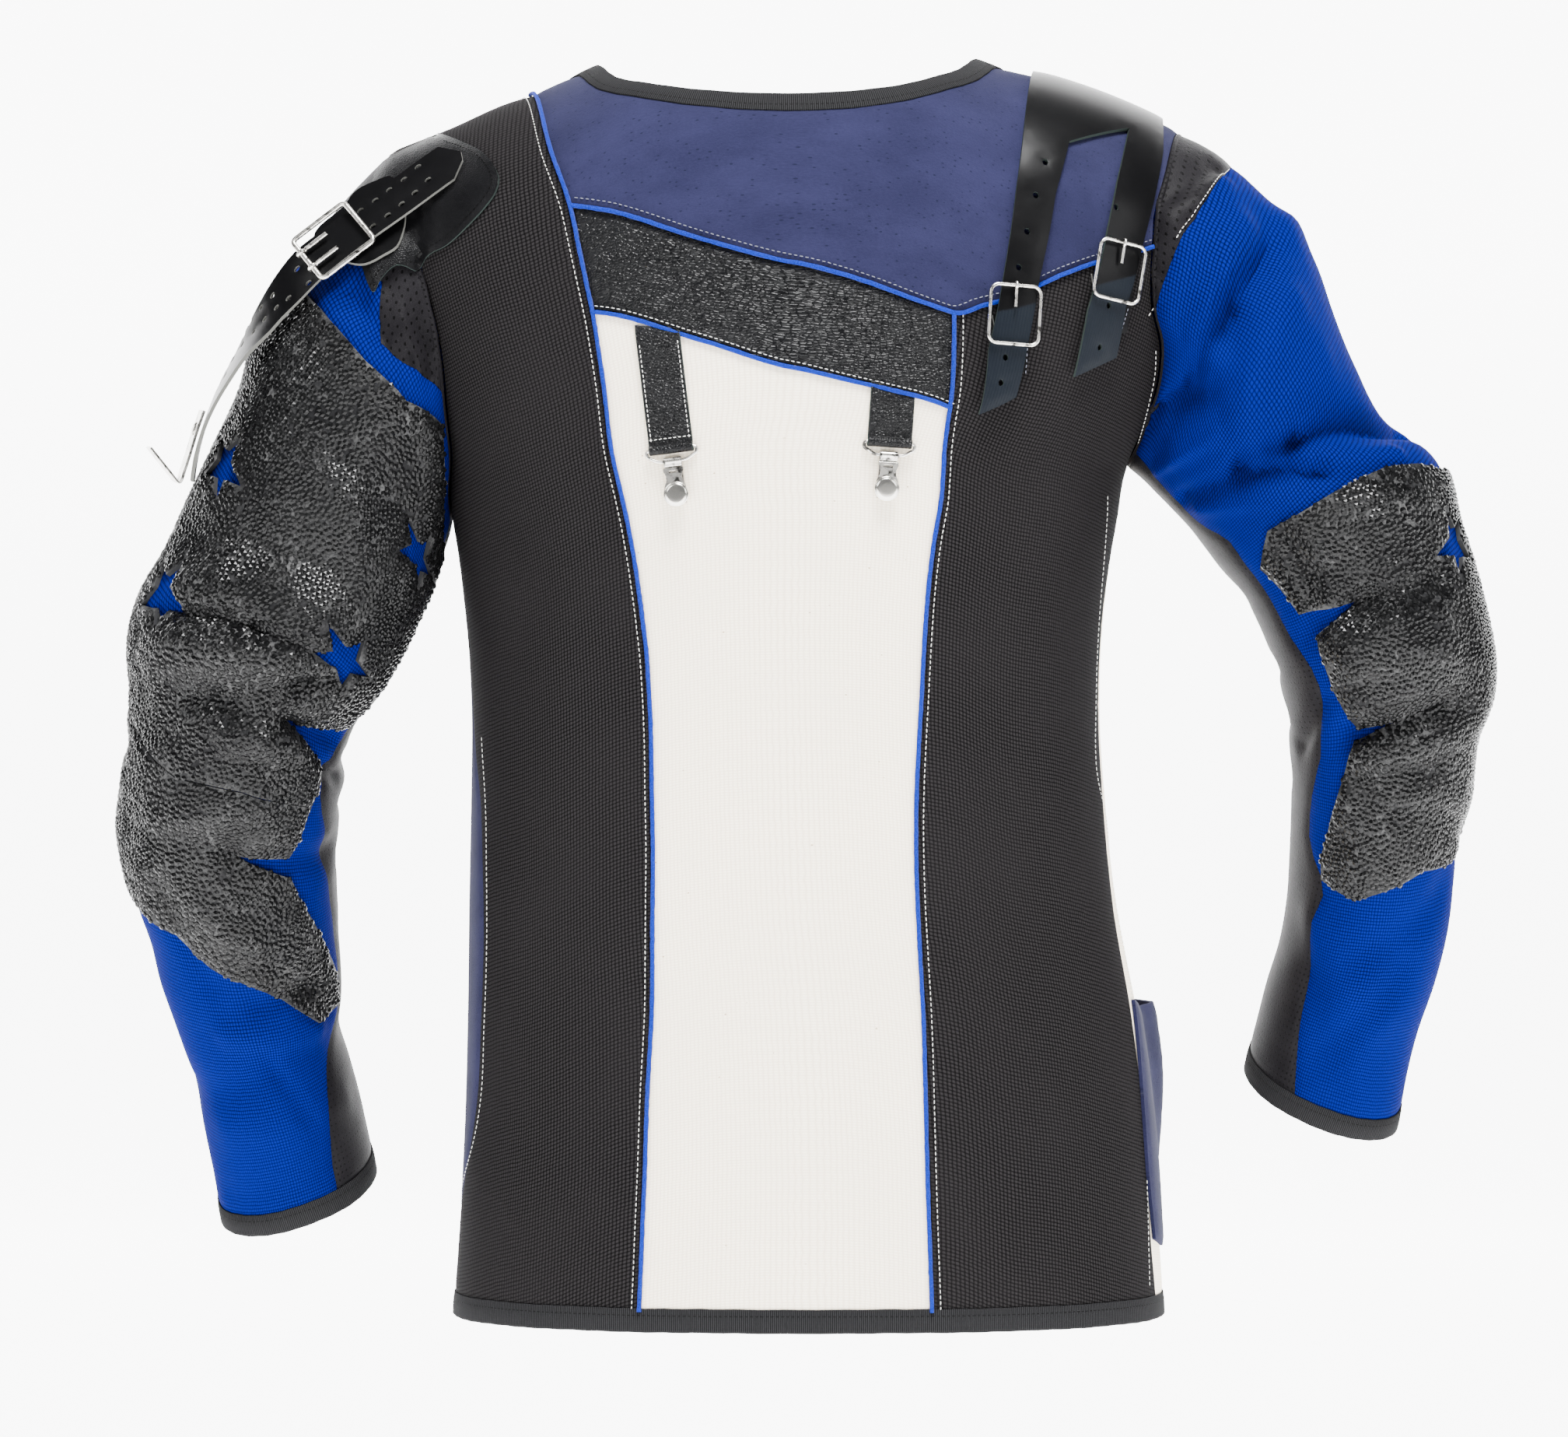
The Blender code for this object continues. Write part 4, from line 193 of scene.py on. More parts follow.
# Rows of a sleeve: its outer and its inner edge in pixels, the depth of its middle and its half thickness in
# millimetres, and the degrees by which the ring leans back
SLEEVE_LEFT_ROWS = (
    (503, 196, 582, 668, 2, 66, 0), (440, 262, 577, 692, -1, 74, 0), (378, 345, 566, 724, -4, 79, 0),
    (336, 425, 553, 765, -8, 81, 0), (318, 500, 534, 806, -12, 80, 0), (284, 575, 511, 854, -15, 78, 2),
    (253, 640, 486, 895, -18, 75, 4), (223, 706, 460, 925, -19, 73, 6), (189, 765, 446, 955, -18, 71, 8),
    (176, 820, 441, 985, -15, 69, 10), (179, 880, 440, 1010, -11, 66, 12), (171, 940, 436, 1038, -6, 65, 14),
    (166, 1000, 433, 1075, 0, 63, 16), (160, 1048, 432, 1108, 6, 62, 18), (167, 1100, 432, 1142, 13, 60, 20),
    (178, 1150, 434, 1172, 20, 58, 21), (194, 1198, 435, 1200, 27, 56, 22), (206, 1250, 438, 1237, 35, 54, 23),
    (223, 1300, 439, 1277, 43, 52, 24), (240, 1352, 436, 1315, 50, 50, 24), (254, 1405, 450, 1362, 57, 48, 24),
    (266, 1463, 463, 1408, 65, 46, 24), (276, 1512, 473, 1452, 71, 44, 24), (281, 1544, 479, 1479, 75, 43, 24),
)
SLEEVE_RIGHT_ROWS = (
    (1516, 172, 1449, 600, 2, 64, 0), (1566, 200, 1457, 606, -1, 73, 0), (1606, 235, 1470, 617, -3, 77, 0),
    (1649, 285, 1486, 633, -6, 79, 0), (1684, 345, 1505, 652, -9, 79, 0), (1709, 402, 1528, 676, -12, 78, 2),
    (1738, 468, 1549, 702, -15, 76, 3), (1772, 530, 1570, 730, -18, 74, 4), (1822, 562, 1592, 756, -20, 73, 5),
    (1852, 606, 1608, 780, -21, 72, 6), (1866, 665, 1622, 808, -21, 71, 8), (1884, 718, 1634, 838, -20, 70, 9),
    (1899, 775, 1644, 870, -17, 69, 11), (1911, 835, 1653, 908, -13, 67, 13), (1909, 885, 1658, 943, -8, 66, 15),
    (1891, 932, 1660, 973, -3, 64, 16), (1885, 978, 1661, 1003, 2, 63, 18), (1883, 1025, 1661, 1034, 8, 61, 19),
    (1873, 1064, 1660, 1065, 13, 60, 20), (1869, 1115, 1658, 1105, 20, 57, 21),
    (1862, 1185, 1654, 1160, 29, 54, 22), (1846, 1253, 1644, 1215, 39, 51, 22),
    (1823, 1322, 1627, 1268, 48, 49, 22), (1810, 1375, 1616, 1310, 55, 47, 22),
    (1801, 1424, 1606, 1348, 61, 46, 22),
)
SLEEVE_SQUARE = 2.15
SLEEVE_DEGREE = 1.12 * MM  # pattern length of one degree round a sleeve
HEAD_LENGTH = 120 * MM  # stretch over which the sleeve leaves the armhole's own shape
LEFT_CREASES = (
    (365, 929, 425, 942, 12, 5), (185, 884, 300, 905, 11, 4), (300, 1104, 424, 1098, 11, 5),
    (205, 1060, 330, 1030, 12, -4), (230, 800, 420, 850, 24, -4), (500, 600, 420, 700, 22, 4),
    (455, 378, 492, 428, 6, 6.0), (420, 400, 500, 500, 8, -3.9), (532, 400, 556, 480, 4.5, 5.1),
    (512, 400, 540, 470, 5, -3.6), (548, 372, 562, 440, 4.5, -3.0), (250, 690, 430, 735, 13, 3.6),
    (180, 815, 330, 800, 9, 3.3), (190, 840, 350, 850, 9, -1.8), (230, 905, 400, 880, 10, 3.6),
    (240, 930, 380, 960, 8, -4.5), (200, 790, 320, 806, 5, 5.4), (330, 812, 410, 838, 5, 4.5),
    (380, 880, 430, 868, 5, 4.5), (170, 960, 260, 935, 8, 3.6), (165, 1060, 300, 1085, 9, 3.0),
    (240, 1120, 380, 1150, 11, 1.8), (210, 1150, 268, 1262, 10, 3.0), (330, 1292, 402, 1266, 7, 3.4),
    (290, 1330, 410, 1322, 9, -3.0), (240, 1400, 340, 1386, 12, 2.4), (350, 1370, 398, 1440, 7, 2.6),
    (265, 1180, 330, 1215, 10, -2.6), (290, 1450, 440, 1410, 14, -1.8), (300, 1540, 430, 1500, 12, 1.4),
    (340, 1230, 420, 1300, 10, 1.6), (395, 960, 432, 1000, 7, 3.6), (372, 930, 430, 955, 6, 3.3),
    (330, 520, 450, 640, 16, -1.8), (400, 560, 520, 660, 14, 3.0), (330, 1170, 260, 1190, 9, 1.6),
    (500, 360, 522, 455, 5, 3.3), (540, 400, 512, 440, 5, -1.8),
)
RIGHT_CREASES = (
    (1640, 310, 1580, 420, 12, 7), (1570, 420, 1510, 520, 11, 6), (1585, 512, 1490, 545, 10, 6),
    (1815, 562, 1640, 580, 10, 6), (1700, 602, 1600, 615, 9, 4), (1690, 330, 1640, 450, 22, -5),
    (1755, 770, 1690, 822, 11, 5), (1880, 905, 1735, 950, 12, 6), (1880, 1060, 1760, 1040, 11, 4),
    (1667, 300, 1640, 318, 9, -4.8), (1634, 312, 1588, 385, 5, 7.0), (1606, 300, 1560, 390, 10, -6.0),
    (1560, 330, 1516, 420, 6, 4.5), (1588, 395, 1528, 500, 5.5, 7.0), (1655, 400, 1590, 520, 12, -6.9),
    (1560, 440, 1500, 535, 8, -4.5), (1540, 512, 1480, 545, 5, 7.5), (1600, 515, 1510, 575, 8, -5.1),
    (1700, 470, 1620, 560, 12, -3.6), (1670, 562, 1592, 592, 5, 7.0), (1815, 560, 1670, 562, 5.5, 6.9),
    (1790, 582, 1680, 592, 6, -5.4), (1700, 606, 1585, 612, 4.5, 6.9), (1590, 612, 1520, 640, 5.5, 5.1),
    (1640, 636, 1540, 650, 6, -3.9), (1560, 560, 1490, 600, 6, -3.6), (1830, 700, 1700, 740, 12, 3.3),
    (1750, 780, 1850, 745, 8, 5.1), (1700, 830, 1790, 800, 10, -3.6), (1860, 830, 1740, 850, 10, -3.3),
    (1740, 945, 1860, 900, 7, 5.4), (1845, 985, 1745, 1000, 9, 3.6), (1850, 1060, 1730, 1050, 9, -1.6),
    (1850, 1150, 1750, 1230, 14, 3.0), (1700, 900, 1672, 960, 7, 3.6), (1690, 1180, 1770, 1310, 16, -3.6),
    (1800, 1250, 1700, 1360, 14, 3.0), (1650, 690, 1690, 800, 8, 3.0), (1680, 1250, 1720, 1400, 12, 1.8),
    (1562, 212, 1503, 252, 4.5, 3.9), (1572, 232, 1506, 285, 5, -3.3), (1530, 278, 1492, 352, 4.5, 3.3),
    (1514, 300, 1484, 388, 5, -1.8),
)
# Creases of the hidden inner sides: degrees round and metres along at each end, then as above
INNER_CREASES = (
    (200, 0.10, 245, 0.14, 10, 2.4), (190, 0.17, 240, 0.20, 10, 2.2), (185, 0.235, 230, 0.25, 9, 3.0),
    (188, 0.275, 236, 0.285, 9, 3.2), (192, 0.32, 240, 0.31, 9, 2.6), (250, 0.24, 320, 0.22, 14, 2.4),
    (255, 0.29, 325, 0.30, 14, 2.4), (260, 0.15, 320, 0.12, 16, 2.0), (240, 0.40, 300, 0.43, 16, 2.0),
)


class Table:
    """Rows of numbers, read at any value of their first column on a smooth curve through the rows."""

    def __init__(self, rows):
        self.rows = np.asarray(rows, float)
        self.slopes = np.gradient(self.rows, self.rows[:, 0], axis=0)

    def __call__(self, at):
        keys = self.rows[:, 0]
        at = np.clip(np.asarray(at, float), keys[0], keys[-1])
        low = np.clip(np.searchsorted(keys, at, side="right") - 1, 0, len(keys) - 2)
        span = (keys[low + 1] - keys[low])[..., None]
        t = (at[..., None] - keys[low][..., None]) / span
        start, end = self.rows[low], self.rows[low + 1]
        start_slope, end_slope = self.slopes[low] * span, self.slopes[low + 1] * span
        blend = t * t * (3 - 2 * t)
        bend = (t - 2 * t * t + t**3) * start_slope + (t**3 - t * t) * end_slope
        return start + (end - start) * blend + bend


def power(value, exponent):
    """The value raised to the exponent with its sign kept."""
    return np.sign(value) * np.abs(value) ** exponent


def smoothstep(value):
    """A smooth rise from 0 to 1 as the value goes from 0 to 1."""
    value = np.clip(value, 0, 1)
    return value * value * (3 - 2 * value)
def unit(vectors):
    """The vectors at length one."""
    return vectors / np.linalg.norm(vectors, axis=-1, keepdims=True)


def run_lengths(points):
    """The length along a run of points at each of them."""
    return np.concatenate([[0], np.cumsum(np.linalg.norm(np.diff(points, axis=0), axis=1))])


def smooth_run(knots, step, first=0, last=None):
    """Points about one step apart on the smooth curve through the knots, from knot first to knot last."""
    knots = np.asarray(knots, float)
    last = len(knots) - 1 if last is None else last
    lengths = run_lengths(knots)
    curve = Table(np.column_stack([lengths, knots]))
    places = [lengths[first]]
    for low, high in zip(lengths[first:last], lengths[first + 1 : last + 1]):
        count = max(1, round((high - low) / step))
        places += [low + (high - low) * (i + 1) / count for i in range(count)]
    return curve(np.array(places))[:, 1:]


def corner_run(knots, step):
    """Points about one step apart on the straight lines between the knots."""
    points = []
    for start, end in zip(knots[:-1], knots[1:]):
        start, end = np.asarray(start, float), np.asarray(end, float)
        count = max(1, round(np.linalg.norm(end - start) / step))
        points += [start + (end - start) * i / count for i in range(count)]
    return np.array(points + [knots[-1]])


def dent(folds, across, down):
    """Depth of the folds at pattern places: each is a soft trough or ridge along a line."""
    total = np.zeros(np.shape(across))
    for start, end, width, depth in folds:
        line = end - start
        share = ((across - start[0]) * line[0] + (down - start[1]) * line[1]) / (line @ line)
        share = np.clip(share, 0, 1)
        away = np.hypot(across - start[0] - share * line[0], down - start[1] - share * line[1])
        total = total + depth * np.exp(-((away / width) ** 2))
    return total


NORMAL_NUDGE = 0.4 * MM


def normals(surface, across, down):
    """Outward unit normals of a surface."""
    nudge = NORMAL_NUDGE
    round_it = surface(across + nudge, down) - surface(across - nudge, down)
    down_it = surface(across, down + nudge) - surface(across, np.maximum(down - nudge, surface.top))
    return unit(np.cross(down_it, round_it) * surface.hand)


TRACE_NET = (61, 91)  # first guesses across and down
TRACE_NUDGE = 0.5 * MM
TRACE_DAMPING = 2e-3
TRACE_STEPS = 14


def trace(surface, pixels):
    """Pattern places of photo points on the side facing the eye: the nearest of a net, then small steps."""
    pixels = np.asarray(pixels, float)
    low, high = np.array(surface.seen_from), np.array(surface.seen_to)
    across, down = np.meshgrid(*(np.linspace(low[i], high[i], TRACE_NET[i]) for i in (0, 1)))
    net = np.column_stack([across.ravel(), down.ravel()])
    net_px = photo_px(surface.bare(net[:, 0], net[:, 1]))
    nearest = np.argmin(((net_px[None] - pixels[:, None]) ** 2).sum(-1), axis=1)
    place = net[nearest]
    nudge = TRACE_NUDGE
    damping = TRACE_DAMPING / nudge**2

    def miss_at(at):
        return photo_px(surface.bare(at[:, 0], at[:, 1])) - pixels

    miss = miss_at(place)
    for _ in range(TRACE_STEPS):
        slope_across = (miss_at(place + [nudge, 0]) - miss) / nudge
        slope_down = (miss_at(place + [0, nudge]) - miss) / nudge
        slopes = np.stack([slope_across, slope_down], -1)
        square = np.einsum("nki,nkj->nij", slopes, slopes) + np.eye(2) * damping
        pull = np.einsum("nki,nk->ni", slopes, miss)
        moved = np.clip(place - np.linalg.solve(square, pull[..., None])[..., 0], low, high)
        new_miss = miss_at(moved)
        better = (new_miss**2).sum(-1) < (miss**2).sum(-1)
        place = np.where(better[:, None], moved, place)
        miss = np.where(better[:, None], new_miss, miss)
    return place, np.linalg.norm(miss, axis=1)


def run_px(surface, knots):
    """Pattern places of photo points."""
    return trace(surface, knots)[0]


def at_px(surface, px, py):
    """Pattern place of one photo point."""
    return trace(surface, [(px, py)])[0][0]


def crease_rows(surface, rows):
    """Creases given in pixels as lines on the flat cloth."""
    lines = []
    for start_x, start_y, end_x, end_y, width, depth in rows:
        start, end = run_px(surface, [(start_x, start_y), (end_x, end_y)])
        lines.append((start, end, width * MM, depth * MM))
    return lines


def crease_turns(degree, rows):
    """Creases given in degrees round and metres down as lines on the flat cloth."""
    lines = []
    for start_turn, start_down, end_turn, end_down, width, depth in rows:
        start, end = np.array([start_turn * degree, start_down]), np.array([end_turn * degree, end_down])
        lines.append((start, end, width * MM, depth * MM))
    return lines


BODY_GRID = 6 * MM
SLEEVE_GRID = 4.2 * MM
HEIGHT_STEPS = 6  # rounds in which a height and the shoulder line above it settle
class Torso:
    """The jacket's body: across is metres round from the centre back, down is metres below the shoulder."""

    hand = 1
    top = 0.0
    grid = BODY_GRID
    seen_from = (-90 * TORSO_DEGREE, 0.0)
    seen_to = (90 * TORSO_DEGREE, 0.8)

    def __init__(self):
        self.table = Table(TORSO_ROWS)
        self.ridge_px = Table(RIDGE_ROWS)

    def ridge(self, x):
        return seen(0, self.ridge_px(ORIGIN_PX[0] + x / PIXEL)[..., 1])[1]

    def rows(self, z):
        row = self.table(ORIGIN_PX[1] - z / PIXEL)
        left, right = seen(row[..., 1], 0)[0], seen(row[..., 2], 0)[0]
        return (left + right) / 2, (right - left) / 2, row[..., 3] * MM, row[..., 4] * MM

    def __call__(self, across, down):
        turn = np.radians(np.asarray(across, float) / TORSO_DEGREE)
        down = np.asarray(down, float)
        share = power(np.sin(turn), 2 / TORSO_SQUARE)
        depth_share = power(np.cos(turn), 2 / TORSO_SQUARE)
        rolled = np.clip(down / SHOULDER_ROUND, 0, math.pi / 2)
        drop = SHOULDER_ROUND * (1 - np.cos(rolled)) + np.maximum(0, down - SHOULDER_ROUND * math.pi / 2)
        z = -drop
        for _ in range(HEIGHT_STEPS):
            middle, half, back, front = self.rows(z)
            x = middle + half * share
            z = self.ridge(x) - drop
        y = -np.where(depth_share > 0, back, front) * depth_share * np.sin(rolled)
        return np.stack([x, y, z], -1)

    bare = __call__

    def on_front(self, x, z):
        """Pattern place of a point that is at x and z on the front."""
        middle, half, _, _ = self.rows(np.asarray(z, float))
        share = np.clip((x - middle) / half, -1, 1)
        turn = np.where(share < 0, -180.0, 180.0) - np.degrees(np.arcsin(power(share, TORSO_SQUARE / 2)))
        return np.array([float(turn * TORSO_DEGREE), float(self.down_to(x, z))])

    def down_to(self, x, z):
        """Metres down the cloth at which it reaches height z."""
        drop = np.maximum(self.ridge(x) - z, 0)
        over = np.maximum(drop - SHOULDER_ROUND, 0)
        rolled = SHOULDER_ROUND * np.arccos(1 - np.minimum(drop, SHOULDER_ROUND) / SHOULDER_ROUND)
        return rolled + over

    def at_turn(self, turn, z):
        """Pattern place at so many degrees round and at height z."""
        middle, half, _, _ = self.rows(np.asarray(z, float))
        x = middle + half * power(np.sin(np.radians(turn)), 2 / TORSO_SQUARE)
        return np.array([turn * TORSO_DEGREE, float(self.down_to(x, z))])


class Sleeve:
    """A bent tube: across is metres round from its outer edge over the back, and down is metres along."""

    top = 0.0
    grid = SLEEVE_GRID

    def __init__(self, rows, armhole, hand, folds):
        self.hand = hand
        rows = np.asarray(rows, float)
        depth = rows[:, 4] * MM
        outer = np.column_stack(seen(rows[:, 0], rows[:, 1], depth))
        inner = np.column_stack(seen(rows[:, 2], rows[:, 3], depth))
        middle = np.column_stack([(outer + inner) / 2, depth])
        lengths = run_lengths(middle)
        self.length = lengths[-1]
        self.table = Table(np.column_stack([lengths, outer, inner, depth, rows[:, 5] * MM, rows[:, 6]]))
        self.seen_from = (0.0, 0.0)
        self.seen_to = (180 * SLEEVE_DEGREE, self.length)
        self.armhole = armhole
        self.folds = crease_rows(self, folds)

    def ring(self, angle, down):
        """The sleeve without its armhole: angles are measured from its outer edge over the back."""
        row = self.table(down)
        outer, inner = row[..., 1:3], row[..., 3:5]
        middle, half = (outer + inner) / 2, (outer - inner) / 2
        flat = unit(half)
        up = np.stack([-flat[..., 1], flat[..., 0]], -1)
        up = up * np.sign(up[..., 1:2])
        lean = np.radians(row[..., 7])
        side = power(np.cos(angle), 2 / SLEEVE_SQUARE)[..., None]
        back = (power(np.sin(angle), 2 / SLEEVE_SQUARE) * row[..., 6])[..., None]
        xz = middle + half * side - up * np.sin(lean)[..., None] * back
        y = row[..., 5:6] - np.cos(lean)[..., None] * back
        return np.concatenate([xz[..., :1], y, xz[..., 1:]], -1)

    def bare(self, across, down):
        """The sleeve without its creases."""
        across, down = np.broadcast_arrays(np.asarray(across, float), np.asarray(down, float))
        angle = np.radians(across / SLEEVE_DEGREE)
        fade = (1 - smoothstep(down / HEAD_LENGTH))[..., None]
        head = self.armhole(np.degrees(angle) % 360) - self.ring(angle, np.zeros_like(down))
        return self.ring(angle, down) + head * fade

    def __call__(self, across, down):
        across, down = np.asarray(across, float), np.asarray(down, float)
        points = self.bare(across, down)
        middle = self.table(down)
        axis_x = (middle[..., 1] + middle[..., 3]) / 2
        axis_z = (middle[..., 2] + middle[..., 4]) / 2
        axis = np.stack([axis_x, middle[..., 5], axis_z], -1)
        return points + unit(axis - points) * dent(self.folds, across, down)[..., None]


def armhole_run(body, knots_px, low_rows):
    """The armhole in the back, from the shoulder seam to the very side of the body under the arm."""
    knots = run_px(body, knots_px)
    knots[0][1] = 0
    return np.array([*knots, *(body.at_turn(turn, seen(0, row)[1]) for row, turn in low_rows)])


def armhole_loop(body, knots, sign):
    """The armhole as points by degrees: down the back from 0 to 180, and up the front from 180 to 360."""
    back = smooth_run(knots, 4 * MM)
    front = back[::-1].copy()
    front[:, 0] = sign * 180 * TORSO_DEGREE - front[:, 0]
    sides = []
    for run, start in ((back, 0), (front, 180)):
        points = body(run[:, 0], run[:, 1])
        lengths = run_lengths(points)
        sides.append(np.column_stack([start + 180 * lengths / lengths[-1], points]))
    loop = Table(np.concatenate([sides[0], sides[1][1:]]))
    return lambda degrees: loop(degrees)[..., 1:]


ARMHOLE_LEFT = ((503, 196), (518, 250), (535, 320), (552, 390), (566, 450), (573, 520), (578, 590))
ARMHOLE_RIGHT = (
    (1516, 172), (1498, 225), (1484, 280), (1482, 317), (1480, 360), (1482, 400), (1492, 440), (1490, 485),
    (1478, 530),
)
# The armhole under the arm: photo rows and degrees round the body
ARMPIT_LEFT = ((640, -80), (663, -86), (668, -90))
ARMPIT_RIGHT = ((570, 80), (594, 86), (600, 90))


class Body(Torso):
    """The body with the creases of its cloth."""

    creases = ()

    def __call__(self, across, down):
        points = super().__call__(across, down)
        if not self.creases:
            return points
        middle, half, back, _ = self.rows(points[..., 2])
        out = np.stack([(points[..., 0] - middle) / half**2, points[..., 1] / back**2, np.zeros_like(half)], -1)
        out = out / np.maximum(np.linalg.norm(out, axis=-1, keepdims=True), 1e-9)
        return points - out * dent(self.creases, np.asarray(across), np.asarray(down))[..., None]


body = Body()
body.creases = crease_rows(body, BODY_CREASES) + crease_turns(TORSO_DEGREE, FRONT_CREASES)
arm_left = armhole_run(body, ARMHOLE_LEFT, ARMPIT_LEFT)
arm_right = armhole_run(body, ARMHOLE_RIGHT, ARMPIT_RIGHT)
left_sleeve = Sleeve(SLEEVE_LEFT_ROWS, armhole_loop(body, arm_left, -1), 1, LEFT_CREASES)
right_sleeve = Sleeve(SLEEVE_RIGHT_ROWS, armhole_loop(body, arm_right, 1), -1, RIGHT_CREASES)
SLEEVES = {"left": left_sleeve, "right": right_sleeve}
for sleeve in SLEEVES.values():
    sleeve.folds += crease_turns(SLEEVE_DEGREE, INNER_CREASES)


# Every finish is worked out from the flat place of the cloth, in metres, so a weave keeps its real size.
# A finish starts as one dyed or plated colour, and threads, grain, wear, stains and pale blotches are laid over it,
# along with painted shade, highlights, sheen and reflections.
class Maths:
    """A number in a finish, worked out by its nodes from Python expressions."""

    def __init__(self, finish, socket):
        self.finish = finish
        self.socket = socket

    def work(self, operation, *values, swap=False):
        """One step of arithmetic on this number and the values."""
        values = (*values, self) if swap else (self, *values)
        return Maths(self.finish, self.finish.node("Math", {"operation": operation}, *values).outputs[0])

    def __add__(self, other):
        return self.work("ADD", other)

    __radd__ = __add__

    def __sub__(self, other):
        return self.work("SUBTRACT", other)

    def __rsub__(self, other):
        return self.work("SUBTRACT", other, swap=True)

    def __mul__(self, other):
        return self.work("MULTIPLY", other)

    __rmul__ = __mul__

    def __truediv__(self, other):
        return self.work("DIVIDE", other)

    def __pow__(self, other):
        return self.work("POWER", other)

    def sin(self):
        return self.work("SINE")

    def size(self):
        return self.work("ABSOLUTE")

    def fract(self):
        return self.work("FRACT")

    def ribs(self):
        """Rounded ribs, one for each whole number."""
        return (self * math.pi).sin().size()

    def over(self, low, high):
        """0 below low, 1 above high and a smooth rise between."""
        settings = {"interpolation_type": "SMOOTHSTEP"}
        made = self.finish.node("MapRange", settings, self, low, high, 0.0, 1.0)
        return Maths(self.finish, made.outputs[0])


class Finish:
    """One material: its Principled shader and the nodes that vary it."""

    def __init__(self, name, colour, roughness, **constants):
        self.material = bpy.data.materials.new(name)
        self.material.use_nodes = True
        self.tree = self.material.node_tree
        self.shader = self.tree.nodes["Principled BSDF"]
        self.colour = (*colour, 1)
        self.shader.inputs["Base Color"].default_value = self.colour
        self.shader.inputs["Roughness"].default_value = roughness
        for socket, value in constants.items():
            self.shader.inputs[socket.replace("_", " ")].default_value = value

    def node(self, kind, settings, *values):
        """A node with its settings, and the values in its first inputs."""
        made = self.tree.nodes.new("ShaderNode" + kind)
        for setting, value in settings.items():
            setattr(made, setting, value)
        for index, value in enumerate(values):
            if isinstance(value, Maths):
                self.tree.links.new(value.socket, made.inputs[index])
            elif isinstance(value, bpy.types.NodeSocket):
                self.tree.links.new(value, made.inputs[index])
            elif value is not None:
                made.inputs[index].default_value = value
        return made

    def flat(self):
        """Where the surface was on the flat cloth: across, down, and both as a vector."""
        where = self.node("UVMap", {"uv_map": "cut"}).outputs[0]
        parts = self.node("SeparateXYZ", {}, where)
        return Maths(self, parts.outputs[0]), Maths(self, parts.outputs[1]), where

    def solid(self):
        """Where a point is in the piece, for finishes that don't follow the cut of the cloth."""
        return self.node("TexCoord", {}).outputs["Object"]

    def noise(self, where, length, detail=2.0, rough=0.5):
        """A soft random number, most about 0.5, whose blotches are about as long as length."""
        made = self.node("TexNoise", {}, where, None, 1 / length, detail, rough)
        return Maths(self, made.outputs[0])

    def cells(self, where, length, feature="F1", loose=1.0):
        """Distance to the nearest of a net of points, or to the edge of its cell, as a share of length."""
        made = self.node("TexVoronoi", {"feature": feature}, where, None, 1 / length)
        made.inputs["Randomness"].default_value = loose
        return Maths(self, made.outputs["Distance"])

    def mix(self, share, first, second):
        """The first colour turned into the second by the share."""
        made = self.node("Mix", {"data_type": "RGBA"}, share)
        for index, value in ((6, first), (7, second)):
            if isinstance(value, bpy.types.NodeSocket):
                self.tree.links.new(value, made.inputs[index])
            else:
                made.inputs[index].default_value = (*value, 1)
        return made.outputs[2]

    def paint(self, colour):
        self.tree.links.new(colour, self.shader.inputs["Base Color"])

    def gloss(self, roughness):
        self.tree.links.new(roughness.socket, self.shader.inputs["Roughness"])

    def relief(self, height, depth, strength=1.0):
        """Bumps of this height, from 0 to 1, over a depth in metres."""
        made = self.node("Bump", {}, strength, depth)
        self.tree.links.new(height.socket, made.inputs["Height"])
        self.tree.links.new(made.outputs[0], self.shader.inputs["Normal"])


def canvas(name, gap_shade, light, pitch, across, down, deep=0.25 * MM, fleck=None, stain=None):
    """Plain-weave canvas: rounded threads over and under, a little uneven, with flecks and handling marks. The gaps
    between threads are painted darker as shade, and the thread crowns lighter as painted highlights.
    """
    made = Finish(name, light, 0.82, Specular_IOR_Level=0.015)
    u, v, where = made.flat()
    wander = (made.noise(where, 9 * MM) - 0.5) * 0.5
    over = (u / (pitch * across) + wander).ribs()
    under = (v / (pitch * down) + wander).ribs()
    thread = (over * under) ** 0.7
    # Where the threads dip the colour is painted darker as shade, and where they rise it is lighter as a painted
    # highlight
    tone = (thread * 0.85 + made.noise(where, 1.1 * MM, 3) * 0.35).over(0.1, 1.05)
    colour = made.mix(tone, gap_shade, light)
    broad = made.noise(where, 90 * MM, 3).over(0.35, 0.7)
    colour = made.mix(broad * 0.22, colour, tuple(c * 0.8 for c in light))
    if fleck:
        flecks = 1 - made.cells(where, 7 * MM).over(0.045, 0.075)
        colour = made.mix(flecks * made.noise(where, 15 * MM).over(0.5, 0.6), colour, fleck)
    if stain:
        marks = made.noise(where, 55 * MM, 4, 0.6).over(0.58, 0.74)
        colour = made.mix(marks * 0.3, colour, stain)
    made.paint(colour)
    made.relief(thread + made.noise(where, 0.8 * MM) * 0.3, deep, 0.8)
    return made.material


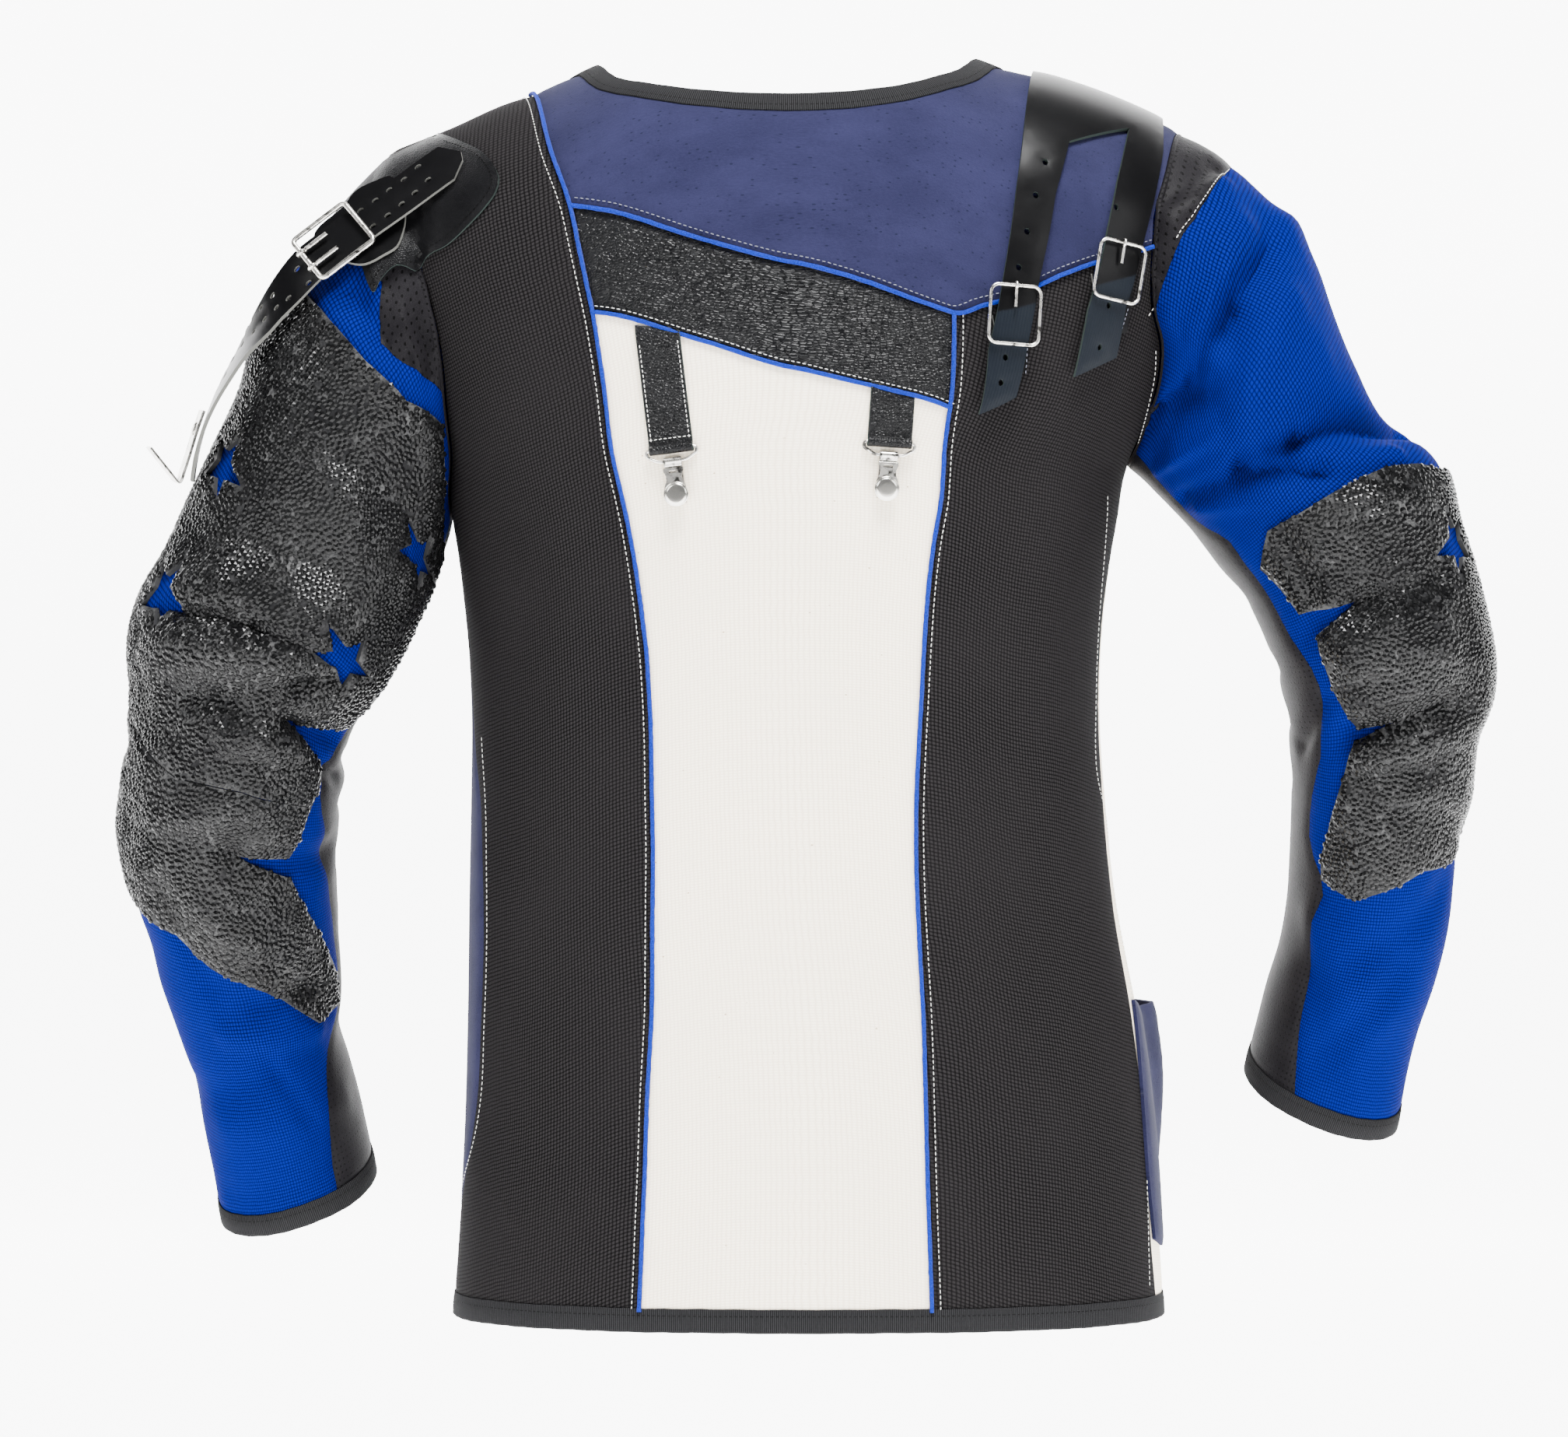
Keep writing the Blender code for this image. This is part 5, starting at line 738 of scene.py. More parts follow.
def hide(name, colour, light, roughness, grain, shaded_pores=None, wear=0.5, deep=0.22 * MM, gleam=0.3, patchy=0.12,
         painted_sheen_tail=None):
    """Leather: a creased grain of small cells, brushed lighter in soft patches, with pores where it is pierced.

    Pores are given by their pitch, their radius as a share of it and their colour, near black as painted shade
    inside the holes. A tail is the part of a piece past a start across it, where the leather is ribbed and painted
    lighter as a painted sheen where it bends: its start, the pitch of its ribs and the colour of that painted sheen."""
    made = Finish(name, colour, roughness, Specular_IOR_Level=gleam)
    u, v, where = made.flat()
    warp = made.node("VectorMath", {"operation": "SCALE"}, made.noise(where, 4 * MM).socket)
    warp.inputs["Scale"].default_value = 1.2 * MM
    moved = made.node("VectorMath", {"operation": "ADD"}, where, warp.outputs[0]).outputs[0]
    cell = made.cells(moved, grain, "DISTANCE_TO_EDGE")
    height = cell.over(0.0, 0.28) + made.noise(where, grain * 0.4) * 0.25
    tone = made.noise(where, 24 * MM, 3).over(0.35, 0.75) * wear
    shade = made.mix(tone, colour, light)
    # Pores are painted near black: painted shade inside the holes
    if shaded_pores:
        pitch, radius, paint = shaded_pores
        cx, cy = (u / pitch).fract() - 0.5, (v / pitch).fract() - 0.5
        hole = 1 - ((cx * cx + cy * cy) ** 0.5).over(radius * 0.75, radius)
        shade = made.mix(hole * 0.9, shade, paint)
        height = height * 0.35 - hole * 2
    # Past its start the tail is painted lighter and bluer: a painted sheen where the strap bends
    if painted_sheen_tail:
        start, ribs, paint = painted_sheen_tail
        share = (u * 0.75 + v).over(start, start + 2 * MM)
        shade = made.mix(share, shade, paint)
        height = height * 0.3 + (u / ribs).ribs() * share * 3
    made.paint(shade)
    made.gloss(height.over(0.0, 1.3) * patchy + made.noise(where, 12 * MM) * patchy + (roughness - patchy))
    made.relief(height, deep, 0.8)
    return made.material


# Each canvas is given the painted shade in its thread gaps first, then its own colour
BLACK_CANVAS = canvas("black canvas", (0.0004, 0.0004, 0.0004), (0.0135, 0.0125, 0.013), 1.95 * MM, 1, 1.1)
CREAM_CANVAS = canvas(
    "cream canvas", (0.76, 0.65, 0.50), (0.95, 0.865, 0.72), 1.5 * MM, 1.15, 1.0, 0.1 * MM,
    fleck=(0.35, 0.25, 0.14), stain=(0.78, 0.71, 0.6),
)
BLUE_CANVAS = canvas("royal blue canvas", (0.0, 0.0006, 0.012), (0.0, 0.0048, 0.115), 1.9 * MM, 1, 1.1)
GRAIN_LEATHER = hide(
    "grained black leather", (0.002, 0.002, 0.0023), (0.0045, 0.0045, 0.005), 0.33, 1.6 * MM, deep=0.34 * MM,
    gleam=0.11,
)
SOFT_LEATHER = hide(
    "soft perforated leather", (0.005, 0.0046, 0.0054), (0.009, 0.0083, 0.0095), 0.6, 1.2 * MM,
    shaded_pores=(4.0 * MM, 0.19, (0.0002, 0.0002, 0.0002)), gleam=0.04,
)
STRAP_BLACK, STRAP_WORN = (0.0015, 0.0015, 0.0017), (0.003, 0.003, 0.0033)
STRAP_LEATHER = hide(
    "smooth strap leather", STRAP_BLACK, STRAP_WORN, 0.3, 0.9 * MM, wear=0.3, deep=0.01 * MM, gleam=0.08,
    patchy=0.03,
)
# The plate's tails get a lighter blue-grey colour as a painted sheen where the straps bend
PLATE_LEATHER = hide(
    "strap plate leather", STRAP_BLACK, STRAP_WORN, 0.33, 0.9 * MM, wear=0.3, deep=0.02 * MM, gleam=0.08,
    patchy=0.03, painted_sheen_tail=(0.2405, 1.3 * MM, (0.004, 0.0055, 0.008)),
)
PATCH_LEATHER_BLACK = hide(
    "shoulder leather", (0.002, 0.002, 0.0023), (0.004, 0.004, 0.0045), 0.36, 1.1 * MM, deep=0.08 * MM, gleam=0.07,
)


def suede():
    """Navy suede: brushed nap in soft patches, pierced all over with hair-fine holes that are painted dark as the
    shade inside them.
    """
    made = Finish("navy suede", (0.025, 0.028, 0.075), 0.9, Specular_IOR_Level=0.02, Sheen_Weight=0.03)
    _, _, where = made.flat()
    nap = made.noise(where, 38 * MM, 4, 0.6).over(0.3, 0.72)
    fine = made.noise(where, 1.0 * MM, 3, 0.7).over(0.3, 0.75)
    colour = made.mix(nap * 0.6 + fine * 0.4, (0.0075, 0.0078, 0.0225), (0.0145, 0.0148, 0.04))
    # The hair-fine holes are painted darker: painted shade inside them
    shaded_pores = 1 - made.cells(where, 2.9 * MM, loose=0.55).over(0.11, 0.2)
    colour = made.mix(shaded_pores * 0.8, colour, (0.004, 0.005, 0.014))
    made.paint(colour)
    made.relief(fine - shaded_pores, 0.12 * MM, 0.6)
    return made.material


NAVY_SUEDE = suede()
EDGE_FIBRE = Finish("cut leather edge", (0.09, 0.09, 0.083), 0.9, Specular_IOR_Level=0.02).material
EDGE_DARK = Finish("painted leather edge", (0.018, 0.024, 0.022), 0.7, Specular_IOR_Level=0.02).material


# Cutting: each panel is one flat outline, cut a hair inside its seams, and laid on the form.
# The cloth dips a little along its edges, where the seam pulls it in.
SEAM_CUT = 0.06 * MM
SEAM_DIP = 0.9 * MM
SEAM_REACH = 3.2 * MM
PATTERNS = {}  # of each piece of cloth: its flat points and triangles, and the outer points and normals on the form


def turning_area(points):
    """Area of an outline, below zero when it runs clockwise."""
    x, y = points[:, 0], points[:, 1]
    return 0.5 * float(np.sum(x * np.roll(y, -1) - y * np.roll(x, -1)))


SHARPEST = 0.2  # least length of a corner's bisector before it is brought to one
LEAST_REACH = 0.35  # a sharp corner moves no further than the distance over this


def inset(outline, distance):
    """The outline with every side moved inwards by the distance."""
    if turning_area(outline) < 0:
        outline = outline[::-1]
    before = unit(outline - np.roll(outline, 1, 0))
    after = unit(np.roll(outline, -1, 0) - outline)
    left_before = np.column_stack([-before[:, 1], before[:, 0]])
    left_after = np.column_stack([-after[:, 1], after[:, 0]])
    middle = left_before + left_after
    middle = middle / np.maximum(np.linalg.norm(middle, axis=1, keepdims=True), SHARPEST)
    reach = distance / np.maximum(np.sum(middle * left_before, axis=1), LEAST_REACH)
    return outline + middle * reach[:, None]


def along_sides(outline, step):
    """The outline with points about one step apart on its sides."""
    return corner_run([*outline, outline[0]], step)[:-1]


def inside(points, outline):
    """Which of the points are inside the outline."""
    start, end = outline, np.roll(outline, -1, 0)
    x, y = points[:, 0][:, None], points[:, 1][:, None]
    crossing = (start[:, 1] > y) != (end[:, 1] > y)
    rise = np.where(end[:, 1] == start[:, 1], 1e-12, end[:, 1] - start[:, 1])
    hit = start[:, 0] + (y - start[:, 1]) * (end[:, 0] - start[:, 0]) / rise
    return (crossing & (x < hit)).sum(1) % 2 == 1


def edge_distance(points, outline):
    """How far each point is from the outline."""
    start = outline[None]
    line = np.roll(outline, -1, 0)[None] - start
    offset = points[:, None] - start
    share = np.clip((offset * line).sum(-1) / np.maximum((line * line).sum(-1), 1e-18), 0, 1)
    return np.linalg.norm(offset - share[..., None] * line, axis=-1).min(1)


EDGE_CLEAR = 0.22  # of the grid: net points nearer to the edge are left out
HOLE_CLEAR = 0.15


def net_points(outline, holes, grid):
    """Points of a triangular net inside the outline. Every piece on a surface uses the same net."""
    low, high = outline.min(0), outline.max(0)
    row_height = grid * math.sqrt(3) / 2
    points = []
    for row in range(math.floor(low[1] / row_height), math.ceil(high[1] / row_height) + 1):
        shift = grid / 2 * (row % 2)
        for column in range(math.floor(low[0] / grid) - 1, math.ceil(high[0] / grid) + 1):
            points.append((column * grid + shift, row * row_height))
    points = np.array(points)
    keep = inside(points, outline) & (edge_distance(points, outline) > EDGE_CLEAR * grid)
    for hole in holes:
        keep &= ~inside(points, hole) & (edge_distance(points, hole) > HOLE_CLEAR * grid)
    return points[keep]


SLIVER = 1e-7  # square metres: a flatter triangle along a straight cut is left out


def triangles_of(outline, holes, grid, extra):
    """A flat piece as points and triangles."""
    loops = [outline, *holes]
    points = np.concatenate(loops)
    edges = []
    start = 0
    for loop in loops:
        edges += [(start + i, start + (i + 1) % len(loop)) for i in range(len(loop))]
        start += len(loop)
    if grid:
        points = np.concatenate([points, extra, net_points(outline, holes, grid)])
    flat, _, faces, _, _, _ = delaunay_2d_cdt([Vector(p) for p in points], edges, [], 0, 1e-7)
    flat = np.array(flat)
    faces = np.array([f for f in faces if len(f) == 3])
    middles = flat[faces].mean(1)
    sides = flat[faces[:, 1:]] - flat[faces[:, :1]]
    keep = inside(middles, outline) & (np.abs(np.linalg.det(sides)) > 2 * SLIVER)
    for hole in holes:
        keep &= ~inside(middles, hole)
    return flat, faces[keep]


def finish_mesh(name, vertices, faces, places, finishes, slots=None, ride="jacket", angle=40):
    """An object from points and faces, with the flat place of each point as its texture place."""
    mesh = bpy.data.meshes.new(name)
    mesh.from_pydata([tuple(map(float, v)) for v in vertices], [], [tuple(map(int, f)) for f in faces])
    layer = mesh.uv_layers.new(name="cut")
    corners = np.empty(len(mesh.loops), np.int32)
    mesh.loops.foreach_get("vertex_index", corners)
    layer.data.foreach_set("uv", np.asarray(places, np.float32)[corners].ravel())
    for finish in finishes:
        mesh.materials.append(finish)
    if slots is not None:
        mesh.polygons.foreach_set("material_index", np.asarray(slots, np.int32))
    net = bmesh.new()
    net.from_mesh(mesh)
    bmesh.ops.delete(net, geom=[v for v in net.verts if not v.link_faces], context="VERTS")
    bmesh.ops.recalc_face_normals(net, faces=net.faces)
    net.to_mesh(mesh)
    net.free()
    mesh.shade_smooth()
    mesh.set_sharp_from_angle(angle=math.radians(angle))
    made = put(name, mesh)
    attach(made, ride)
    return made


def rim_of(faces):
    """The sides that only one triangle has."""
    sides = {(a, b) for a, b, c in faces} | {(b, c) for a, b, c in faces} | {(c, a) for a, b, c in faces}
    return sorted((a, b) for a, b in sides if (b, a) not in sides)


EDGE_ROWS = (0.3, 0.65)  # of the grid: rows of points that follow the edge, where the cloth dips


def cut_cloth(name, surface, outline, finish, wall, lift=None, grid=None, edge=None, holes=(), dip=SEAM_DIP,
              ride="jacket", gap=SEAM_CUT):
    """A sheet cut to the outline and laid on the surface. It keeps its flat places for what is sewn on it.

    Without a lift the sheet's outer face is the surface, and else its inner face is that far off it."""
    outline = inset(np.asarray(outline, float), gap)
    grid = grid or surface.grid
    holes = [np.asarray(hole, float) for hole in holes]
    rows = []
    for reach in EDGE_ROWS:
        row = along_sides(inset(outline, reach * grid), grid)
        keep = inside(row, outline) & (edge_distance(row, outline) > 0.2 * reach * grid)
        for hole in holes:
            keep &= ~inside(row, hole)
        rows.append(row[keep])
    dense = along_sides(outline, grid * 0.7)
    flat, faces = triangles_of(dense, holes, grid, np.concatenate(rows))
    across, down = flat[:, 0], flat[:, 1]
    spots = surface(across, down)
    normal = normals(surface, across, down)
    lift = -wall if lift is None else lift
    base = np.zeros(len(flat)) + (lift(across, down) if callable(lift) else lift)
    away = edge_distance(flat, dense)
    for hole in holes:
        away = np.minimum(away, edge_distance(flat, hole) * 2)
    base = base - dip * np.exp(-((away / SEAM_REACH) ** 2))
    outer, inner = spots + normal * (base + wall)[:, None], spots + normal * base[:, None]
    count = len(flat)
    under = [(a + count, c + count, b + count) for a, b, c in faces]
    walls = [(b, a, a + count, b + count) for a, b in rim_of(faces)]
    slots = [0] * (2 * len(faces)) + [1 if edge else 0] * len(walls)
    PATTERNS[name] = (flat, faces, outer, normal)
    return finish_mesh(name, np.concatenate([outer, inner]), [*faces, *under, *walls], np.concatenate([flat, flat]),
                       [finish, edge] if edge else [finish], slots, ride)


LEAST_SHARE = 0.31  # of its width times its length, that a measured piece of cloth covers


def state_sheet(piece):
    """Works out the flat cut of a sheet: its width and length, and the area of its own cloth; none of it is kept."""
    flat, faces, spots, _ = PATTERNS[piece.name]
    one, two = spots[faces[:, 1]] - spots[faces[:, 0]], spots[faces[:, 2]] - spots[faces[:, 0]]
    area = np.linalg.norm(np.cross(one, two), axis=1).sum() / 2
    one, two = flat[faces[:, 1]] - flat[faces[:, 0]], flat[faces[:, 2]] - flat[faces[:, 0]]
    flat_area = np.abs(one[:, 0] * two[:, 1] - one[:, 1] * two[:, 0]).sum() / 2
    best = None
    for turn in np.radians(np.arange(0, 90, 3)):
        turned = flat @ np.array([[math.cos(turn), -math.sin(turn)], [math.sin(turn), math.cos(turn)]])
        width, length = np.ptp(turned, axis=0)
        if best is None or width * length < best[0] * best[1]:
            best = (width, length)
    grow = math.sqrt(area / flat_area)
    width, length = best[0] * grow, best[1] * grow
    share = area / (width * length)
    if share < LEAST_SHARE:
        shrink = math.sqrt(share / LEAST_SHARE)
        width, length = width * shrink, length * shrink
    round(min(area, width * length * 0.999), 4)


def lay(node, ending, surface, outline, finish, wall, held="hung", rests_on=(), **more):
    """A sheet cut and laid in the place of a solid, and its cloth measured."""
    piece = cut_cloth(node + ending, surface, outline, finish, wall, **more)
    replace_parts(piece, node)
    state_sheet(piece)
    return piece


def joined(runs):
    """One outline from runs that each start where the last one ends."""
    return np.concatenate([run[:-1] for run in runs])


# Body panels: cream canvas down the middle of the back, a grained leather band and a suede yoke above it, black
# canvas at both sides, and two fronts that close with buttons. Every panel is cut to the same seam lines.
PANEL_CLOTH = 2.2 * MM
HEM_HEIGHT = -690.5 * MM
NECK_STEP = 16 * MM
PRINCESS_LEFT = (
    (682, 124), (706, 185), (733, 264), (746, 325), (762, 401), (782, 550), (798, 631), (827, 800), (839, 1000),
    (840, 1150), (838, 1300), (832, 1421), (822, 1682),
)
PRINCESS_RIGHT = (
    (1226, 402), (1221, 524), (1213, 600), (1200, 700), (1184, 900), (1177, 1050), (1181, 1200), (1187, 1320),
    (1191, 1474), (1198, 1690),
)
YOKE_EDGE = (
    (733, 264), (930, 315), (1120, 364), (1196, 392), (1226, 402), (1266, 392), (1329, 370), (1395, 342),
    (1482, 317),
)
BAND_EDGE = ((762, 401), (910, 440), (1070, 484), (1221, 524))
NECK_BACK = (
    (735, 101), (800, 118), (880, 130), (950, 136), (1010, 138), (1080, 136), (1160, 126), (1230, 108), (1286, 89),
)
# The side seams: photo rows and degrees round the body. They start at the armhole and end at the hem
SIDE_LEFT = ((800, -88), (910, -84), (1020, -76), (1160, -70), (1307, -71), (1468, -77), (1541, -86), (1680, -91))
SIDE_RIGHT = (
    (700, 87), (900, 84), (1142, 81), (1250, 78.5), (1316, 77), (1408, 76), (1484, 74.5), (1600, 75), (1680, 76),
)
NECK_FRONT = ((760, 160), (815, 225), (900, 278), (1010, 300))
FRONT_OVERLAP = 15 * MM  # each side of the centre front
OVERLAP_LIFT = 3.9 * MM
OVERLAP_RAMP = (62 * MM, 32 * MM)  # distances from the centre front where the lap starts and stops rising
PANEL_STEP = 12 * MM
left = run_px(body, PRINCESS_LEFT)
left[0][1] = 0
left[-1] = body.at_turn(left[-1][0] / TORSO_DEGREE, HEM_HEIGHT)
right = run_px(body, PRINCESS_RIGHT)
right[-1] = body.at_turn(right[-1][0] / TORSO_DEGREE, HEM_HEIGHT)
yoke_edge = run_px(body, YOKE_EDGE)
band_edge = run_px(body, BAND_EDGE)
yoke_edge[0], band_edge[0] = left[2], left[4]
right[0] = yoke_edge[4]
band_edge[-1] = right[1]
yoke_edge[-1] = arm_right[3]
neck = run_px(body, NECK_BACK)
neck[0][1] = neck[-1][1] = 0


def side_run(rows, start):
    knots = [body.at_turn(turn, seen(0, row)[1]) for row, turn in rows[:-1]]
    return np.array([start, *knots, body.at_turn(rows[-1][1], HEM_HEIGHT)])


side_left = side_run(SIDE_LEFT, arm_left[-1])
side_right = side_run(SIDE_RIGHT, arm_right[-1])


def hem_run(start, end):
    turns = np.linspace(start[0], end[0], max(2, round(abs(end[0] - start[0]) / PANEL_STEP) + 1)) / TORSO_DEGREE
    return np.array([body.at_turn(turn, HEM_HEIGHT) for turn in turns])


def ridge_run(start, end):
    return corner_run([np.array([start[0], 0.0]), np.array([end[0], 0.0])], PANEL_STEP)


def panel(name, runs, finish, **more):
    lay(name, "_cloth", body, joined(runs), finish, PANEL_CLOTH, **more)


panel("back_centre", [
    smooth_run(left, PANEL_STEP, 4), hem_run(left[-1], right[-1]), smooth_run(right, PANEL_STEP, 1)[::-1],
    smooth_run(band_edge, PANEL_STEP)[::-1],
], CREAM_CANVAS)
panel("back_band", [
    smooth_run(left, PANEL_STEP, 2, 4), smooth_run(band_edge, PANEL_STEP), smooth_run(right, PANEL_STEP, 0, 1)[::-1],
    smooth_run(yoke_edge, PANEL_STEP, 0, 4)[::-1],
], GRAIN_LEATHER, grid=5 * MM)
panel("back_yoke", [
    smooth_run(left, PANEL_STEP, 0, 2), smooth_run(yoke_edge, PANEL_STEP),
    smooth_run(arm_right, PANEL_STEP, 0, 3)[::-1], ridge_run(arm_right[0], neck[-1]),
    smooth_run(neck, NECK_STEP)[::-1], ridge_run(neck[0], left[0]),
], NAVY_SUEDE)
panel("back_side_left", [
    ridge_run(arm_left[0], left[0]), smooth_run(left, PANEL_STEP), hem_run(left[-1], side_left[-1]),
    smooth_run(side_left, PANEL_STEP)[::-1], smooth_run(arm_left, PANEL_STEP)[::-1],
], BLACK_CANVAS)
panel("back_side_right", [
    smooth_run(yoke_edge, PANEL_STEP, 4), smooth_run(arm_right, PANEL_STEP, 3), smooth_run(side_right, PANEL_STEP),
    hem_run(side_right[-1], right[-1]), smooth_run(right, PANEL_STEP)[::-1],
], BLACK_CANVAS)

HALF_ROUND = 180 * TORSO_DEGREE


def front_neck(sign):
    """The neckline of one front, from the shoulder seam to the centre front and over it by the lap."""
    tip = neck[-1] if sign > 0 else neck[0]
    knots = [np.array([math.copysign(HALF_ROUND, tip[0]) - tip[0], 0.0])]
    for px, py in NECK_FRONT[:-1]:
        knots.append(body.on_front(*seen(2 * ORIGIN_PX[0] - px if sign > 0 else px, py)))
    low = body.on_front(*seen(NECK_FRONT[-1][0] - 1, NECK_FRONT[-1][1]))[1]
    knots.append(np.array([sign * (HALF_ROUND + FRONT_OVERLAP), low]))
    return np.array(knots)


def flip(run, sign):
    """The same line on the front: as far from the side as the back's is, at the same height."""
    out = run.copy()
    out[:, 0] = sign * HALF_ROUND - run[:, 0]
    return out


def lap_rise(across, down):
    """How far the left front stands off the body near the centre, where it laps over the right front."""
    from_centre = HALF_ROUND - np.abs(across)
    return OVERLAP_LIFT * smoothstep((OVERLAP_RAMP[0] - from_centre) / (OVERLAP_RAMP[0] - OVERLAP_RAMP[1]))


def front(name, sign, side, arm, finish, lift):
    """One front, cut to its side seam, armhole, shoulder, neck, centre and hem. It gives the neckline back."""
    neck_run = front_neck(sign)
    centre = neck_run[-1]
    foot = np.array([centre[0], body.at_turn(centre[0] / TORSO_DEGREE, HEM_HEIGHT)[1]])
    panel(name, [
        smooth_run(side, PANEL_STEP)[::-1], smooth_run(flip(arm, sign), PANEL_STEP)[::-1],
        ridge_run(flip(arm[:1], sign)[0], neck_run[0]), smooth_run(neck_run, NECK_STEP),
        corner_run([centre, foot], PANEL_STEP), hem_run(foot, side[-1]),
    ], finish, lift=lift)
    return neck_run


neck_left = front("front_left", -1, side_left, arm_left, NAVY_SUEDE, lambda a, d: lap_rise(a, d) - PANEL_CLOTH)
neck_right = front("front_right", 1, side_right, arm_right, CREAM_CANVAS, None)


# The hip pocket: a suede pouch sewn to the right front along its side and foot, open and slack at its top.
# It lies flat beside the side seam and bulges farther round, most at its mouth.
POCKET_NEAR = ((1282, 80), (1400, 78.5), (1500, 77.5), (1585, 78.5))
POCKET_FAR = 132
POCKET_BULGE = 15 * MM
POCKET_FLAT = 34 * MM  # width by the side seam that lies flat
POCKET_RAMP = 28 * MM
POCKET_LIFT = 0.8 * MM
POCKET_SHIFT = (1.2, 4.2, 4.6, 3.4)  # degrees that the cloth pocket reaches past its solid, toward the seam
pocket_near = [
    body.at_turn(turn - shift, seen(0, row)[1]) for (row, turn), shift in zip(POCKET_NEAR, POCKET_SHIFT)
]
far_top, far_low = (body.at_turn(POCKET_FAR, seen(0, POCKET_NEAR[i][0])[1]) for i in (0, -1))
pocket_top, pocket_low = pocket_near[0][1], pocket_near[-1][1]


def pouch(across, down):
    near, far = pocket_near[0][0], POCKET_FAR * TORSO_DEGREE
    wide = np.clip(np.minimum(across - near - POCKET_FLAT, far - across) / POCKET_RAMP, 0, 1)
    deep = np.clip((pocket_low - down) / (pocket_low - pocket_top), 0, 1)
    return POCKET_LIFT + POCKET_BULGE * smoothstep(wide) * smoothstep(deep * 1.3)


pocket_rim = joined([
    smooth_run(pocket_near, PANEL_STEP), corner_run([pocket_near[-1], far_low, far_top, pocket_near[0]], PANEL_STEP),
])
lay("pocket_right", "_cloth", body, pocket_rim, NAVY_SUEDE, 2 * MM, "laid", ["front_right_cloth"], lift=pouch)


# Sewing thread: every row of stitches is the same short bead of thread, set along its seam at an even pitch.
# The rows lie beside the seams, on the side that the seam allowance is folded to.
def thread(name, colour):
    made = Finish(name, colour, 0.65, Specular_IOR_Level=0.03)
    made.gloss(made.noise(made.solid(), 0.5 * MM) * 0.3 + 0.5)
    return made.material


WHITE_THREAD = thread("white thread", (0.55, 0.55, 0.52))
GREY_THREAD = thread("grey thread", (0.14, 0.145, 0.18))
DARK_THREAD = thread("black thread", (0.002, 0.002, 0.002))


class NodeTree:
    """A Geometry Nodes tree that is given the geometry, lengths in metres and one material."""

    def __init__(self, name, lengths, material):
        self.tree = bpy.data.node_groups.new(name, "GeometryNodeTree")
        face = self.tree.interface
        face.new_socket("Geometry", in_out="INPUT", socket_type="NodeSocketGeometry")
        for label, value in lengths.items():
            face.new_socket(label, in_out="INPUT", socket_type="NodeSocketFloat").default_value = value
        face.new_socket(material, in_out="INPUT", socket_type="NodeSocketMaterial")
        face.new_socket("Geometry", in_out="OUTPUT", socket_type="NodeSocketGeometry")
        self.given = self.tree.nodes.new("NodeGroupInput")
        self.result = self.tree.nodes.new("NodeGroupOutput")
        self.link = self.tree.links.new

    def add(self, kind, settings=(), **inputs):
        """A node with its settings, and a value or another node's output in each input named here."""
        made = self.tree.nodes.new(kind)
        for setting, value in settings:
            setattr(made, setting, value)
        for socket, value in inputs.items():
            target = made.inputs[socket.replace("_", " ")]
            if isinstance(value, bpy.types.NodeSocket):
                self.link(value, target)
            else:
                target.default_value = value
        return made

    def uneven(self, low, high, seed):
        """A random vector for each piece that the tree sets."""
        made = self.add("FunctionNodeRandomValue", [("data_type", "FLOAT_VECTOR")], Seed=seed)
        made.inputs[0].default_value, made.inputs[1].default_value = low, high
        return made

    def sized(self, geometry, *names):
        """The geometry scaled by three of the given lengths."""
        size = self.add("ShaderNodeCombineXYZ")
        for index, name in enumerate(names):
            self.link(self.given.outputs[name], size.inputs[index])
        return self.add("GeometryNodeTransform", Geometry=geometry, Scale=size.outputs[0])

    def done(self, geometry, material):
        """The tree, with the geometry painted and handed out."""
        painted = self.add("GeometryNodeSetMaterial", Geometry=geometry, Material=self.given.outputs[material])
        self.link(painted.outputs[0], self.result.inputs[0])
        return self.tree


def stitch_tree():
    """Beads of thread along a line: Pitch, Length, Width and Height in metres."""
    made = NodeTree(
        "stitch row", {"Pitch": 3 * MM, "Length": 2.2 * MM, "Width": 0.7 * MM, "Height": 0.6 * MM}, "Thread",
    )
    add, given = made.add, made.given.outputs
    curve = add("GeometryNodeMeshToCurve", Mesh=given["Geometry"])
    spaced = add("GeometryNodeResampleCurve", [("mode", "LENGTH")], Curve=curve.outputs[0], Length=given["Pitch"])
    facing = add("GeometryNodeInputNamedAttribute", [("data_type", "FLOAT_VECTOR")], Name="facing")
    tangent = add("GeometryNodeInputTangent")
    turn = add("FunctionNodeAxesToRotation", [("primary_axis", "X"), ("secondary_axis", "Z")],
               Primary_Axis=tangent.outputs[0], Secondary_Axis=facing.outputs[0])
    wobble = made.uneven((-0.04, -0.03, -0.09), (0.04, 0.03, 0.09), 4)
    rotated = add("FunctionNodeRotateRotation", [("rotation_space", "LOCAL")], Rotation=turn.outputs[0],
                  Rotate_By=wobble.outputs[0])
    bead = add("GeometryNodeMeshUVSphere", Segments=6, Rings=4, Radius=0.5)
    tipped = add("GeometryNodeTransform", Geometry=bead.outputs[0], Rotation=(0, math.pi / 2, 0))
    shaped = made.sized(tipped.outputs[0], "Length", "Width", "Height")
    rows = add("GeometryNodeInstanceOnPoints", Points=spaced.outputs[0], Instance=shaped.outputs[0],
               Rotation=rotated.outputs[0])
    real = add("GeometryNodeRealizeInstances", Geometry=rows.outputs[0])
    smooth = add("GeometryNodeSetShadeSmooth", Geometry=real.outputs[0])
    return made.done(smooth.outputs[0], "Thread")


STITCH_ROW = stitch_tree()


